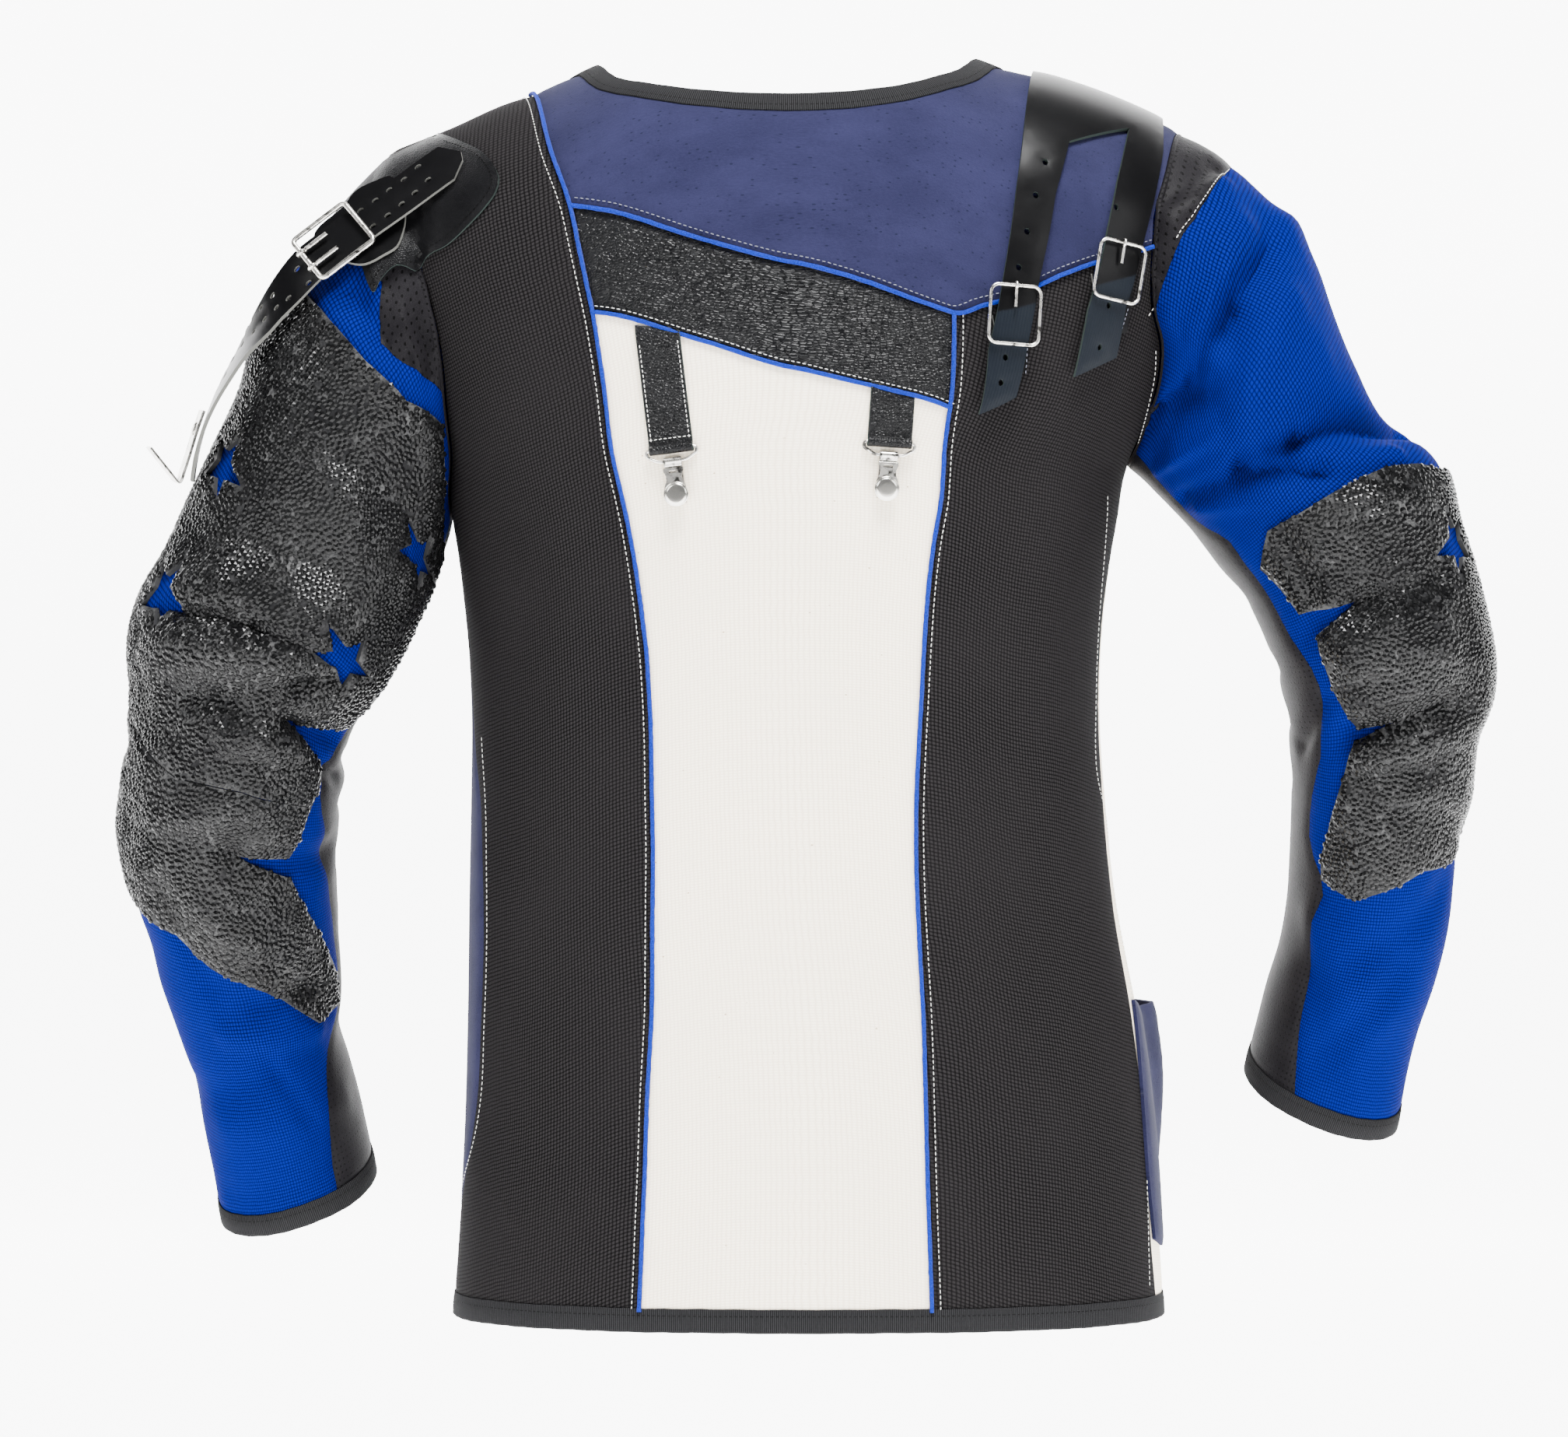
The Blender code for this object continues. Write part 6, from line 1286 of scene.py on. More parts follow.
def worked_out(name, mesh, tree, values):
    """What the tree makes of the mesh, as a plain mesh of its own."""
    piece = put(name + " start", mesh)
    maker = piece.modifiers.new(tree.name, "NODES")
    maker.node_group = tree
    for item in tree.interface.items_tree:
        if item.in_out == "INPUT" and item.name in values:
            maker[item.identifier] = values[item.name]
    graph = bpy.context.evaluated_depsgraph_get()
    graph.update()
    mesh = bpy.data.meshes.new_from_object(piece.evaluated_get(graph))
    bpy.data.objects.remove(piece)
    mesh.name = name
    made = put(name, mesh)
    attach(made, "jacket")
    return made


def sew(name, rows, finish, pitch=3.2 * MM, length=2.2 * MM, width=0.62 * MM):
    """Rows of stitches. Each row is a run of points with the way each point faces."""
    vertices, facings, edges = [], [], []
    for points, facing in rows:
        start = len(vertices)
        vertices += [tuple(map(float, p)) for p in points]
        facings += [tuple(map(float, f)) for f in facing]
        edges += [(start + i, start + i + 1) for i in range(len(points) - 1)]
    mesh = bpy.data.meshes.new(name)
    mesh.from_pydata(vertices, edges, [])
    layer = mesh.attributes.new("facing", "FLOAT_VECTOR", "POINT")
    layer.data.foreach_set("vector", np.array(facings, np.float32).ravel())
    worked_out(name, mesh, STITCH_ROW, {
        "Pitch": pitch, "Length": length, "Width": width, "Height": width * 0.8, "Thread": finish,
    })


def beside(run, offset, step=4 * MM):
    """A line beside another on the flat cloth, to its left for a positive offset."""
    run = smooth_run(run, step)
    heading = unit(np.gradient(run, axis=0))
    return run + np.column_stack([heading[:, 1], -heading[:, 0]]) * offset


def on_cloth(surface, run, rise=0.15 * MM):
    """Points just off the cloth along a flat run, and the way each faces."""
    facing = normals(surface, run[:, 0], run[:, 1])
    return surface(run[:, 0], run[:, 1]) + facing * rise, facing


TOPSTITCH = 3.7 * MM  # from the seam to the row beside it
sew("stitches_princess", [
    on_cloth(body, beside(left, -TOPSTITCH)), on_cloth(body, beside(right, TOPSTITCH)),
    on_cloth(body, beside(band_edge, TOPSTITCH * 0.8)),
], WHITE_THREAD)
sew("stitches_yoke", [on_cloth(body, beside(yoke_edge, TOPSTITCH))], GREY_THREAD)
# Rows that follow no seam, in pixels
SIDE_ROW_LEFT = ((619, 950), (622, 1050), (626, 1160), (623, 1307), (608, 1468), (598, 1541))
SIDE_ROW_RIGHT = (
    (1424, 640), (1416, 760), (1409, 900), (1410, 990), (1425, 1090), (1441, 1191), (1459, 1316), (1468, 1408),
    (1473, 1484), (1476, 1570), (1478, 1650),
)
ARM_ROW = ((1486, 453), (1485, 480), (1477, 520), (1466, 560), (1456, 592))
sew("stitches_sides", [
    on_cloth(body, smooth_run(run_px(body, row), 5 * MM)) for row in (SIDE_ROW_LEFT, SIDE_ROW_RIGHT, ARM_ROW)
], WHITE_THREAD, width=0.6 * MM)


# Piping: a soft cord covered in blue felted cloth, caught in each seam of the back so that it stands on it.
def piping_cloth():
    made = Finish("blue piping", (0.004, 0.03, 0.38), 0.9, Specular_IOR_Level=0.03, Sheen_Weight=0.05)
    _, _, where = made.flat()
    fuzz = made.noise(where, 0.9 * MM, 3, 0.7)
    made.paint(made.mix(fuzz.over(0.3, 0.7), (0.0005, 0.006, 0.10), (0.003, 0.020, 0.27)))
    made.relief(fuzz, 0.4 * MM, 0.8)
    return made.material


BLUE_PIPING = piping_cloth()
PIPE_RADIUS = 1.25 * MM
PIPE_RISE = 0.7 * MM
fuzz_seed = np.random.default_rng(7)


def tangents(points, closed):
    """Which way a run of points heads at each of them."""
    return np.roll(points, -1, 0) - np.roll(points, 1, 0) if closed else np.gradient(points, axis=0)


def quads(low, high, size):
    """The faces between two rings of points that start at low and at high."""
    return [(low + j, low + (j + 1) % size, high + (j + 1) % size, high + j) for j in range(size)]


def caps(count, size):
    """The faces that close the first and the last ring."""
    return [tuple(range(size))[::-1], tuple(range((count - 1) * size, count * size))]


def tube(name, points, radius, finish, sides=10, ride="jacket", closed=False, rough=0.0):
    """A round cord along a path, with its length and girth as its texture place."""
    points = np.asarray(points, float)
    tangent = unit(tangents(points, closed))
    side = unit(np.cross(tangent, np.linalg.svd(points - points.mean(0))[2][2]))
    other = np.cross(tangent, side)
    along = run_lengths(points)
    turns = np.arange(sides) * 2 * math.pi / sides
    vertices, places, faces = [], [], []
    for spot, s, o, length in zip(points, side, other, along):
        for turn in turns:
            reach = radius * (1 + rough * fuzz_seed.normal())
            vertices.append(spot + reach * (math.cos(turn) * s + math.sin(turn) * o))
            places.append((length, turn * radius))
    count = len(points)
    for i in range(count if closed else count - 1):
        faces += quads(i * sides, (i + 1) % count * sides, sides)
    if not closed:
        faces += caps(count, sides)
    return finish_mesh(name, vertices, faces, places, [finish], ride=ride, angle=60)


for name, run in (
    ("piping_left", smooth_run(left, 2.5 * MM)), ("piping_right", smooth_run(right, 2.5 * MM)),
    ("piping_yoke", smooth_run(yoke_edge, 2.5 * MM, 0, 4)),
    ("piping_yoke_right", smooth_run(yoke_edge, 2.5 * MM, 4)), ("piping_band", smooth_run(band_edge, 2.5 * MM)),
):
    points, _ = on_cloth(body, run, PIPE_RISE)
    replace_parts(tube(name + "_cord", points, PIPE_RADIUS, BLUE_PIPING, rough=0.07), name)


# Sleeves: a blue canvas upper sleeve, and an under sleeve and an armhole gusset of soft perforated leather that
# give when the arm bends. Both are cut along the same seams, which run down the sleeve on each side.
ARMHOLE_GAP = 1.0 * MM
# The seams between upper and under sleeve: metres along and degrees round
UNDER_LEFT = (
    (0, 176), (0.10, 176), (0.18, 175), (0.215, 171), (0.24, 157), (0.262, 152), (0.29, 161), (0.332, 167),
    (0.37, 170), (0.405, 172), (0.43, 168), (0.451, 147), (0.472, 132), (0.51, 122),
)
UNDER_RIGHT = (
    (0, 165), (0.06, 168), (0.095, 165), (0.126, 149), (0.16, 151), (0.21, 148), (0.245, 137), (0.268, 142),
    (0.292, 142), (0.32, 149), (0.348, 149), (0.381, 129), (0.40, 134), (0.43, 131), (0.47, 121),
)
UNDER_CUFF = {"left": 119, "right": 109}  # degrees round at the cuff
# The gusset's seam in the back in pixels, and before it the one over the top of the shoulder, in degrees round and
# metres along
GUSSET_LEFT = ((492, 360), (486, 400), (490, 437), (526, 470), (574, 508))
GUSSET_RIGHT = ((1584, 214), (1560, 246), (1536, 279), (1510, 322), (1492, 372), (1482, 404))
GUSSET_TOP_LEFT = ((-48, ARMHOLE_GAP), (-34, 0.022), (0, 0.036), (34, 0.034), (52, 0.026))
GUSSET_TOP_RIGHT = ((-46, ARMHOLE_GAP), (-34, 0.014), (-14, 0.022))
SLEEVE_STEP = 12 * MM
ALLOWANCE = 1.9 * MM  # radius of the roll that the seam allowances of an armhole make inside it


def polar(rows):
    """Pattern places on a sleeve from degrees round and metres along."""
    return np.array([(degrees * SLEEVE_DEGREE, along) for degrees, along in rows])


def dress_sleeve(side, under_rows, gusset_top, gusset_px):
    sleeve = SLEEVES[side]
    seam = polar([(degrees, along) for along, degrees in under_rows])
    seam[0][1] = ARMHOLE_GAP
    seam = np.concatenate([seam, [[UNDER_CUFF[side] * SLEEVE_DEGREE, sleeve.length]]])
    seam_back = smooth_run(seam, SLEEVE_STEP)
    seam_front = seam_back * [-1, 1]
    gusset = np.concatenate([polar(gusset_top), run_px(sleeve, gusset_px)])
    gusset[0][1] = gusset[-1][1] = ARMHOLE_GAP
    gusset = smooth_run(gusset, SLEEVE_STEP)
    gusset[:, 1] = np.maximum(gusset[:, 1], ARMHOLE_GAP)
    far_seam = seam_front + [360 * SLEEVE_DEGREE, 0]

    def straight(start, end):
        return corner_run([start, end], SLEEVE_STEP)

    for name, runs, finish in (
        (f"sleeve_{side}_upper", [
            straight(seam_front[0], gusset[0]), gusset, straight(gusset[-1], seam_back[0]), seam_back,
            straight(seam_back[-1], seam_front[-1]), seam_front[::-1],
        ], BLUE_CANVAS),
        (f"sleeve_{side}_under", [
            seam_back, straight(seam_back[-1], far_seam[-1]), far_seam[::-1], straight(far_seam[0], seam_back[0]),
        ], SOFT_LEATHER),
        (f"gusset_{side}", [gusset, straight(gusset[-1], gusset[0])], SOFT_LEATHER),
    ):
        lay(name, "_cloth", sleeve, joined(runs), finish, PANEL_CLOTH)


dress_sleeve("left", UNDER_LEFT, GUSSET_TOP_LEFT, GUSSET_LEFT)
dress_sleeve("right", UNDER_RIGHT, GUSSET_TOP_RIGHT, GUSSET_RIGHT)
for side, sleeve in SLEEVES.items():
    turns = np.arange(0, 360, 5) * SLEEVE_DEGREE
    start = np.full(len(turns), ARMHOLE_GAP)
    points = sleeve(turns, start) - normals(sleeve, turns, start) * 1.15 * ALLOWANCE
    tube(f"armhole_{side}_allowance", points, ALLOWANCE, SOFT_LEATHER, closed=True)


# Patches of black rubber with a pebbled face, cemented and sewn to the sleeves where the rifle and the ground rub.
# Stars and notches are cut out of them, and the blue canvas shows through.
LAID_ON = 0.6 * MM  # clearance under a piece that lies on a panel
PAD = 2.6 * MM  # rubber patches
PAD_LEFT_UPPER = (
    (345, 408), (372, 372), (397, 380), (426, 415), (471, 466), (519, 514), (566, 548),
)
PAD_LEFT_UPPER_INNER = ((172, 0.05), (171, 0.12), (169, 0.185))
PAD_LEFT_UPPER_LOW = (
    (440, 938), (369, 932), (392, 958), (413, 982), (409, 1003), (397, 1035), (311, 1016), (232, 1000), (184, 955),
)
PAD_LEFT_UPPER_FRONT = ((0, 0.264), (-45, 0.25), (-66, 0.2), (-62, 0.13), (-30, 0.075))
PAD_LEFT_LOWER = (
    (184, 976), (232, 1013), (311, 1030), (394, 1048), (375, 1104), (303, 1104), (375, 1131), (397, 1179),
    (428, 1250), (432, 1288), (407, 1314), (343, 1274), (273, 1243), (225, 1201), (192, 1176),
)
PAD_RIGHT_EDGE = (
    (1846, 606), (1778, 602), (1700, 642), (1630, 682), (1623, 729), (1671, 789), (1720, 780), (1745, 773),
    (1694, 820), (1716, 884), (1740, 940), (1794, 935), (1738, 961), (1723, 1018), (1702, 1100), (1702, 1129),
    (1742, 1156), (1826, 1118), (1862, 1108),
)
PAD_RIGHT_FRONT = ((0, 0.355), (-42, 0.325), (-50, 0.265), (-42, 0.21), (0, 0.182))
PAD_GRID = 4.5 * MM
STAR_RADIUS = 17 * MM
STAR_WAIST = 0.42  # inner radius over outer radius
STAR_TURN = 12  # degrees
STAR_STRETCH = (1.24, 0.98)  # across and down, as the sleeve is seen
STARS_LEFT = ((536, 716), (212, 763), (440, 845), (290, 600))
STARS_RIGHT = ((1868, 700),)


def rubber():
    made = Finish("rubber between pebbles", (0.05, 0.05, 0.052), 0.5, Specular_IOR_Level=0.06)
    where = made.solid()
    # The rubber's colour is paler in soft, finely broken blotches between the pebbles
    pale_blotches = made.noise(where, 26 * MM, 4, 0.6).over(0.35, 0.7)
    paler_rubber = pale_blotches * made.noise(where, 1.6 * MM, 2).over(0.3, 0.6)
    made.paint(made.mix(paler_rubber, (0.006, 0.006, 0.0065), (0.055, 0.055, 0.055)))
    made.relief(made.noise(where, 1.2 * MM, 3), 0.4 * MM, 0.9)
    return made.material


def pebble_skin():
    made = Finish("rubber pebble", (0.01, 0.01, 0.0105), 0.24, Specular_IOR_Level=0.13)
    where = made.solid()
    shade = made.noise(where, 3 * MM, 2).over(0.35, 0.7)
    made.paint(made.mix(shade, (0.0015, 0.0015, 0.0016), (0.005, 0.005, 0.0052)))
    made.gloss(made.noise(where, 14 * MM, 3) * 0.3 + 0.05)
    return made.material


RUBBER = rubber()
PEBBLE_SKIN = pebble_skin()
RUBBER_EDGE = Finish("rubber edge", (0.02, 0.02, 0.021), 0.7, Specular_IOR_Level=0.05).material
def star(middle, radius, turn):
    """The ten corners of a star."""
    points = []
    for i in range(10):
        reach = radius if i % 2 == 0 else radius * STAR_WAIST
        angle = math.radians(turn + 36 * i)
        points.append(middle + reach * np.array([math.sin(angle), -math.cos(angle)]))
    return np.array(points)


PEBBLE_LENGTHS = {"Spacing": 2.3 * MM, "Size": 2.05 * MM, "Height": 1.25 * MM}
PEBBLE_TRIES = 400000  # on a square metre, before those nearer than the spacing go


def pebble_tree():
    """Pebbles strewn over the faces marked outer: Spacing, Size and Height in metres."""
    made = NodeTree("pebbles", PEBBLE_LENGTHS, "Rubber")
    add, given = made.add, made.given.outputs
    marked = add("GeometryNodeInputNamedAttribute", [("data_type", "FLOAT")], Name="outer")
    strewn = add("GeometryNodeDistributePointsOnFaces", [("distribute_method", "POISSON")], Mesh=given["Geometry"],
                 Distance_Min=given["Spacing"], Density_Max=PEBBLE_TRIES, Density_Factor=marked.outputs[0], Seed=11)
    ball = add("GeometryNodeMeshIcoSphere", Subdivisions=1, Radius=1)
    shaped = made.sized(ball.outputs[0], "Size", "Size", "Height")
    uneven = made.uneven((0.85, 0.85, 0.75), (1.1, 1.1, 1.15), 3)
    placed = add("GeometryNodeInstanceOnPoints", Points=strewn.outputs["Points"], Instance=shaped.outputs[0],
                 Rotation=strewn.outputs["Rotation"], Scale=uneven.outputs[0])
    real = add("GeometryNodeRealizeInstances", Geometry=placed.outputs[0])
    return made.done(real.outputs[0], "Rubber")


PEBBLES = pebble_tree()


def strew(name, pad):
    """Pebbles over the outer face of a patch, kept off its very edge."""
    _, faces, outer, _ = PATTERNS[pad.name]
    mesh = bpy.data.meshes.new(name)
    mesh.from_pydata([tuple(map(float, p)) for p in outer], [], [tuple(map(int, f)) for f in faces])
    layer = mesh.attributes.new("outer", "FLOAT", "POINT")
    edge = {v for a, b in rim_of(faces) for v in (a, b)}
    layer.data.foreach_set("value", np.array([0.0 if i in edge else 1.0 for i in range(len(outer))], np.float32))
    worked_out(name, mesh, PEBBLES, {**PEBBLE_LENGTHS, "Rubber": PEBBLE_SKIN})
upper_low = run_px(left_sleeve, PAD_LEFT_UPPER_LOW)
lower_edge = run_px(left_sleeve, PAD_LEFT_LOWER)
lower_edge[:4] = upper_low[[8, 7, 6, 5]] + [0, 0.4 * MM]
lower_front = polar(((0, 0.345), (-42, 0.32), (-45, 0.2506), (0, 0.2646)))
for name, side, stars, knots in (
    ("pad_left_upper", "left", STARS_LEFT, [
        run_px(left_sleeve, PAD_LEFT_UPPER), polar(PAD_LEFT_UPPER_INNER), upper_low, polar(PAD_LEFT_UPPER_FRONT),
    ]),
    ("pad_left_lower", "left", (), [lower_edge, lower_front]),
    ("pad_right", "right", STARS_RIGHT, [run_px(right_sleeve, PAD_RIGHT_EDGE), polar(PAD_RIGHT_FRONT)]),
):
    cuts = []
    for place in stars:
        middle = at_px(SLEEVES[side], *place)
        cuts.append(middle + (star(middle, STAR_RADIUS, STAR_TURN) - middle) * STAR_STRETCH)
    pad = lay(name, "_patch", SLEEVES[side], np.concatenate(knots), RUBBER, PAD, "laid",
              [f"sleeve_{side}_upper_cloth"], lift=LAID_ON, grid=PAD_GRID, edge=RUBBER_EDGE, holes=cuts,
              dip=0.5 * MM)
    strew(name + "_pebbles", pad)


# Bindings: black ribbed tape folded over the raw edge at the neck, the hem and both cuffs, and stitched down.
TAPE_WIDTH = 11.5 * MM
TAPE_PROUD = 0.4 * MM
CLOTH = 2.5 * MM  # wall of canvas, leather and suede


def ribbed_tape():
    made = Finish("black ribbed tape", (0.006, 0.006, 0.0065), 0.8, Specular_IOR_Level=0.02)
    along, around, where = made.flat()
    rib = (along / (1.15 * MM)).ribs()
    cross = (around / (0.8 * MM)).ribs()
    # The grooves between the ribs are painted darker as shade, and the rib tops lighter as painted highlight
    tone = (rib * 0.8 + cross * 0.15 + made.noise(where, 2 * MM) * 0.25).over(0.15, 1.1)
    made.paint(made.mix(tone, (0.002, 0.002, 0.002), (0.016, 0.016, 0.017)))
    made.relief(rib + cross * 0.2, 0.3 * MM, 0.8)
    return made.material


RIBBED_TAPE = ribbed_tape()
TAPE_THICK = 0.5 * MM
TAPE_EDGE = 0.9 * MM  # how far in from its folded edge the tape begins to turn over
TAPE_WAVER = ((0.12 * MM, 1.7), (0.1 * MM, 0.43))  # how far its edge wanders, and how fast from ring to ring
TAPE_ROW = 1.9 * MM  # from the tape's turn to its stitches


def banded(name, rings, finishes, around, ride="jacket", closed=False, slots=None, angle=50):
    """A skin through rings of equal point counts, laid out as its length and its girth."""
    rings = np.asarray(rings, float)
    if closed:
        rings = np.concatenate([rings, rings[:1]])
    count, size = rings.shape[:2]
    middle = rings.mean(1)
    along = run_lengths(middle)
    places = [(length, turn) for length in along for turn in around]
    faces, marks = [], []
    for i in range(count - 1):
        faces += quads(i * size, (i + 1) * size, size)
        marks += slots or [0] * size
    if not closed:
        faces += caps(count, size)
        marks += [max(marks)] * 2
    return finish_mesh(name, rings.reshape(-1, 3), faces, places, finishes, marks, ride, angle)


def bind(node, points, facing, closed, outward, lifts=None):
    """A tape folded over a raw edge, its cloth measured, and the stitches that hold it."""
    points, facing = np.asarray(points, float), np.asarray(facing, float)
    side = unit(np.cross(facing, tangents(points, closed)) * outward)
    lifts = np.zeros(len(points)) if lifts is None else lifts
    high, low = TAPE_PROUD, -CLOTH - TAPE_PROUD
    middle = (high + low) / 2
    section = (
        (-2.0 * MM, high - 0.3 * MM), (-1.7 * MM, high), (TAPE_WIDTH * 0.4, high + 0.25 * MM),
        (TAPE_WIDTH - TAPE_EDGE, high), (TAPE_WIDTH - 0.2 * MM, high - 0.8 * MM), (TAPE_WIDTH, middle),
        (TAPE_WIDTH - 0.2 * MM, low + 0.8 * MM), (TAPE_WIDTH - TAPE_EDGE, low), (TAPE_WIDTH * 0.4, low - 0.2 * MM),
        (0.6 * MM, low), (0.2 * MM, low + 0.5 * MM),
    )
    around = run_lengths(section)
    girth = around[-1]
    lining = [(min(width, TAPE_WIDTH - TAPE_THICK), height + math.copysign(TAPE_THICK, middle - height))
              for width, height in section[::-1] if height != middle]
    section, around = (*section, *lining), np.concatenate([around, around[::-1][:len(lining)]])
    rings = []
    for i, (p, s, n, up) in enumerate(zip(points, side, facing, lifts)):
        waver = sum(far * math.sin(i * pace) for far, pace in TAPE_WAVER)
        rings.append([p + s * (width + waver) + n * (height + up) for width, height in section])
    piece = banded(node + "_tape", rings, [RIBBED_TAPE], around, closed=closed)
    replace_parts(piece, node)
    length = np.linalg.norm(np.diff(points, axis=0), axis=1).sum()
    round(float(length * girth) * 0.98, 4)
    row = [p + s * TAPE_ROW + n * (high + up + 0.12 * MM) for p, s, n, up in zip(points, side, facing, lifts)]
    if closed:
        row = row + row[:1]
        facing = np.concatenate([facing, facing[:1]])
    sew(node + "_stitches", [(row, facing)], DARK_THREAD, pitch=2.9 * MM, length=2.1 * MM, width=0.55 * MM)


TAPE_STEP = 4 * MM
points, facing, lifts = [], [], []
neck_line = [smooth_run(run, TAPE_STEP) for run in (neck_right, neck, neck_left)]
neck_line[:2] = [run[::-1] for run in neck_line[:2]]
for run, is_front in zip(neck_line, (True, False, True)):
    run = run[1:] if points else run
    points += list(body(run[:, 0], run[:, 1]))
    facing += list(normals(body, run[:, 0], np.maximum(run[:, 1], 1 * MM)))
    on_left = run[:, 0] < -HALF_ROUND / 2
    lifts += list(np.where(on_left, lap_rise(run[:, 0], run[:, 1]), 0) if is_front else np.zeros(len(run)))
bind("binding_neck", points, facing, False, -1, np.array(lifts))
turns = np.linspace(HALF_ROUND + FRONT_OVERLAP, -HALF_ROUND - FRONT_OVERLAP, 240)
line = np.array([body.at_turn(turn / TORSO_DEGREE, HEM_HEIGHT) for turn in turns])
hem_lift = np.where(turns < 0, lap_rise(turns, 0), 0)
bind("binding_hem", body(line[:, 0], line[:, 1]), normals(body, line[:, 0], line[:, 1]), False, 1, hem_lift)
for side, sleeve in SLEEVES.items():
    turns = np.linspace(0, 360 * SLEEVE_DEGREE, 91)[:-1]
    end = np.full_like(turns, sleeve.length)
    bind(f"binding_cuff_{side}", sleeve(turns, end), normals(sleeve, turns, end - 1 * MM), True, -sleeve.hand)


# Shoulder leather: a soft patch over the left shoulder, and over the right one a plate cut in one with two straps,
# whose ends run through buckles and hang as tails. Short tabs sewn to the back hold the buckles.
ON_SLEEVE_MISS = 0.3  # pixels within which a sight line counts as meeting the sleeve
class Over:
    """The body's side and the sleeve's head as one surface. Both directions are photo pixels, as metres."""

    hand = 1
    top = -10.0  # no edge that a normal must keep below

    def __init__(self, body, sleeve):
        self.body = body
        self.sleeve = sleeve

    def __call__(self, across, down):
        across, down = np.broadcast_arrays(np.asarray(across, float), np.asarray(down, float))
        pixels = np.column_stack([across.ravel(), down.ravel()]) / PIXEL
        on_body = trace(self.body, pixels)[0]
        on_sleeve, miss = trace(self.sleeve, pixels)
        points = self.body(on_body[:, 0], on_body[:, 1])
        other = self.sleeve.bare(on_sleeve[:, 0], on_sleeve[:, 1])
        use = (miss < ON_SLEEVE_MISS) & (on_sleeve[:, 1] > 0)
        return np.where(use[:, None], other, points).reshape(*across.shape, 3)


def to_world(frame, points):
    """World places of points given in a frame."""
    frame = np.array(frame)
    return np.asarray(points, float) @ frame[:3, :3].T + frame[:3, 3]


class Plane:
    """A flat sheet in a local frame: across is local x, and down is local -z."""

    top = -10.0
    hand = 1

    def __init__(self, frame):
        self.frame = np.array(frame)

    def __call__(self, across, down):
        across, down = np.broadcast_arrays(np.asarray(across, float), np.asarray(down, float))
        return to_world(self.frame, np.stack([across, np.zeros_like(across), -down], -1))


SHOULDER_PATCH = (
    (566, 176), (594, 184), (623, 199), (637, 216), (643, 232), (639, 248), (625, 268), (604, 290), (576, 315),
    (549, 331), (534, 349), (521, 344), (510, 343), (498, 351), (488, 364), (482, 376), (466, 340), (464, 310),
    (470, 280), (478, 248), (488, 222), (504, 207), (530, 194),
)
LEATHER_GRID = 5 * MM
PATCH_LIFT = 1.2 * MM
PATCH_LEATHER = 1.6 * MM
SHOULDER_STRAP = (
    (1327, 101), (1410, 127), (1490, 161), (1492, 200), (1480, 260), (1465, 316), (1440, 396), (1428, 458),
    (1375, 484), (1393, 400), (1419, 304), (1434, 235), (1449, 170), (1373, 186), (1356, 250), (1333, 360),
    (1318, 440), (1302, 510), (1255, 532), (1268, 450), (1288, 355), (1306, 240), (1316, 160),
)
STRAP = 2.2 * MM
STRAP_RISE = (230, 330)  # pixel rows between which the straps rise over the piping
PLATE_LIFT = 1.3 * MM
STRAP_LIFT = 3.0 * MM
SHOULDER_TABS = (
    ((1275, 405), (1326, 405), (1322, 440), (1318, 478), (1284, 478)),
    ((1402, 352), (1456, 352), (1452, 390), (1446, 428), (1408, 428)),
)
TAB_LEATHER = 1.8 * MM
BUCKLES = ((1300, 406, 29, 33, 4), (1431, 350, 29, 33, 12))  # place in pixels, width, height and lean
BUCKLE_WIRE = 1.6 * MM
BUCKLE_CORNER = 6 * MM
PRONG_WIRE = 1.1 * MM
PRONG_LENGTH = 9 * MM
STRAP_HOLES = (
    (1342, 212), (1330, 253), (1318, 300), (1307, 346), (1283, 492), (1289, 460), (1432, 268), (1424, 308),
    (1419, 393), (1407, 446),
)
# Folds of the patch: ends in pixels, half width and depth in millimetres
PATCH_FOLDS = (
    (540, 262, 543, 350, 4, 2.4), (556, 268, 552, 345, 5, -1.2), (523, 262, 512, 345, 6, -1.4),
    (600, 195, 560, 330, 12, 1.0), (500, 215, 560, 190, 10, -1.0),
)
patch_folds = [(np.array([a, b]) * PIXEL, np.array([c, d]) * PIXEL, wide * MM, deep * MM)
               for a, b, c, d, wide, deep in PATCH_FOLDS]
over_shoulder = Over(body, left_sleeve)
patch_outline = smooth_run(np.array([*SHOULDER_PATCH, SHOULDER_PATCH[0]]) * PIXEL, 3 * MM)[:-1]
lay("shoulder_patch", "_leather", over_shoulder, patch_outline, PATCH_LEATHER_BLACK, PATCH_LEATHER, "laid",
    ["sleeve_left_upper_cloth", "gusset_left_cloth", "back_side_left_cloth"],
    lift=lambda across, down: PATCH_LIFT - dent(patch_folds, across, down), grid=LEATHER_GRID, edge=EDGE_DARK,
    dip=0.4 * MM)


def ride_height(across, down):
    """How far the strap leather stands off the back: low at the shoulder, higher where it crosses the piping."""
    return PLATE_LIFT + STRAP_LIFT * smoothstep((down - rise_from) / (rise_to - rise_from))


def punched(surface, pixels, half_long=1.9 * MM, half_wide=1.2 * MM):
    """Oval holes at photo points."""
    angles = np.arange(12) * math.pi / 6
    oval = np.column_stack([half_wide * np.cos(angles), half_long * np.sin(angles)])
    return [oval + place for place in run_px(surface, pixels)]


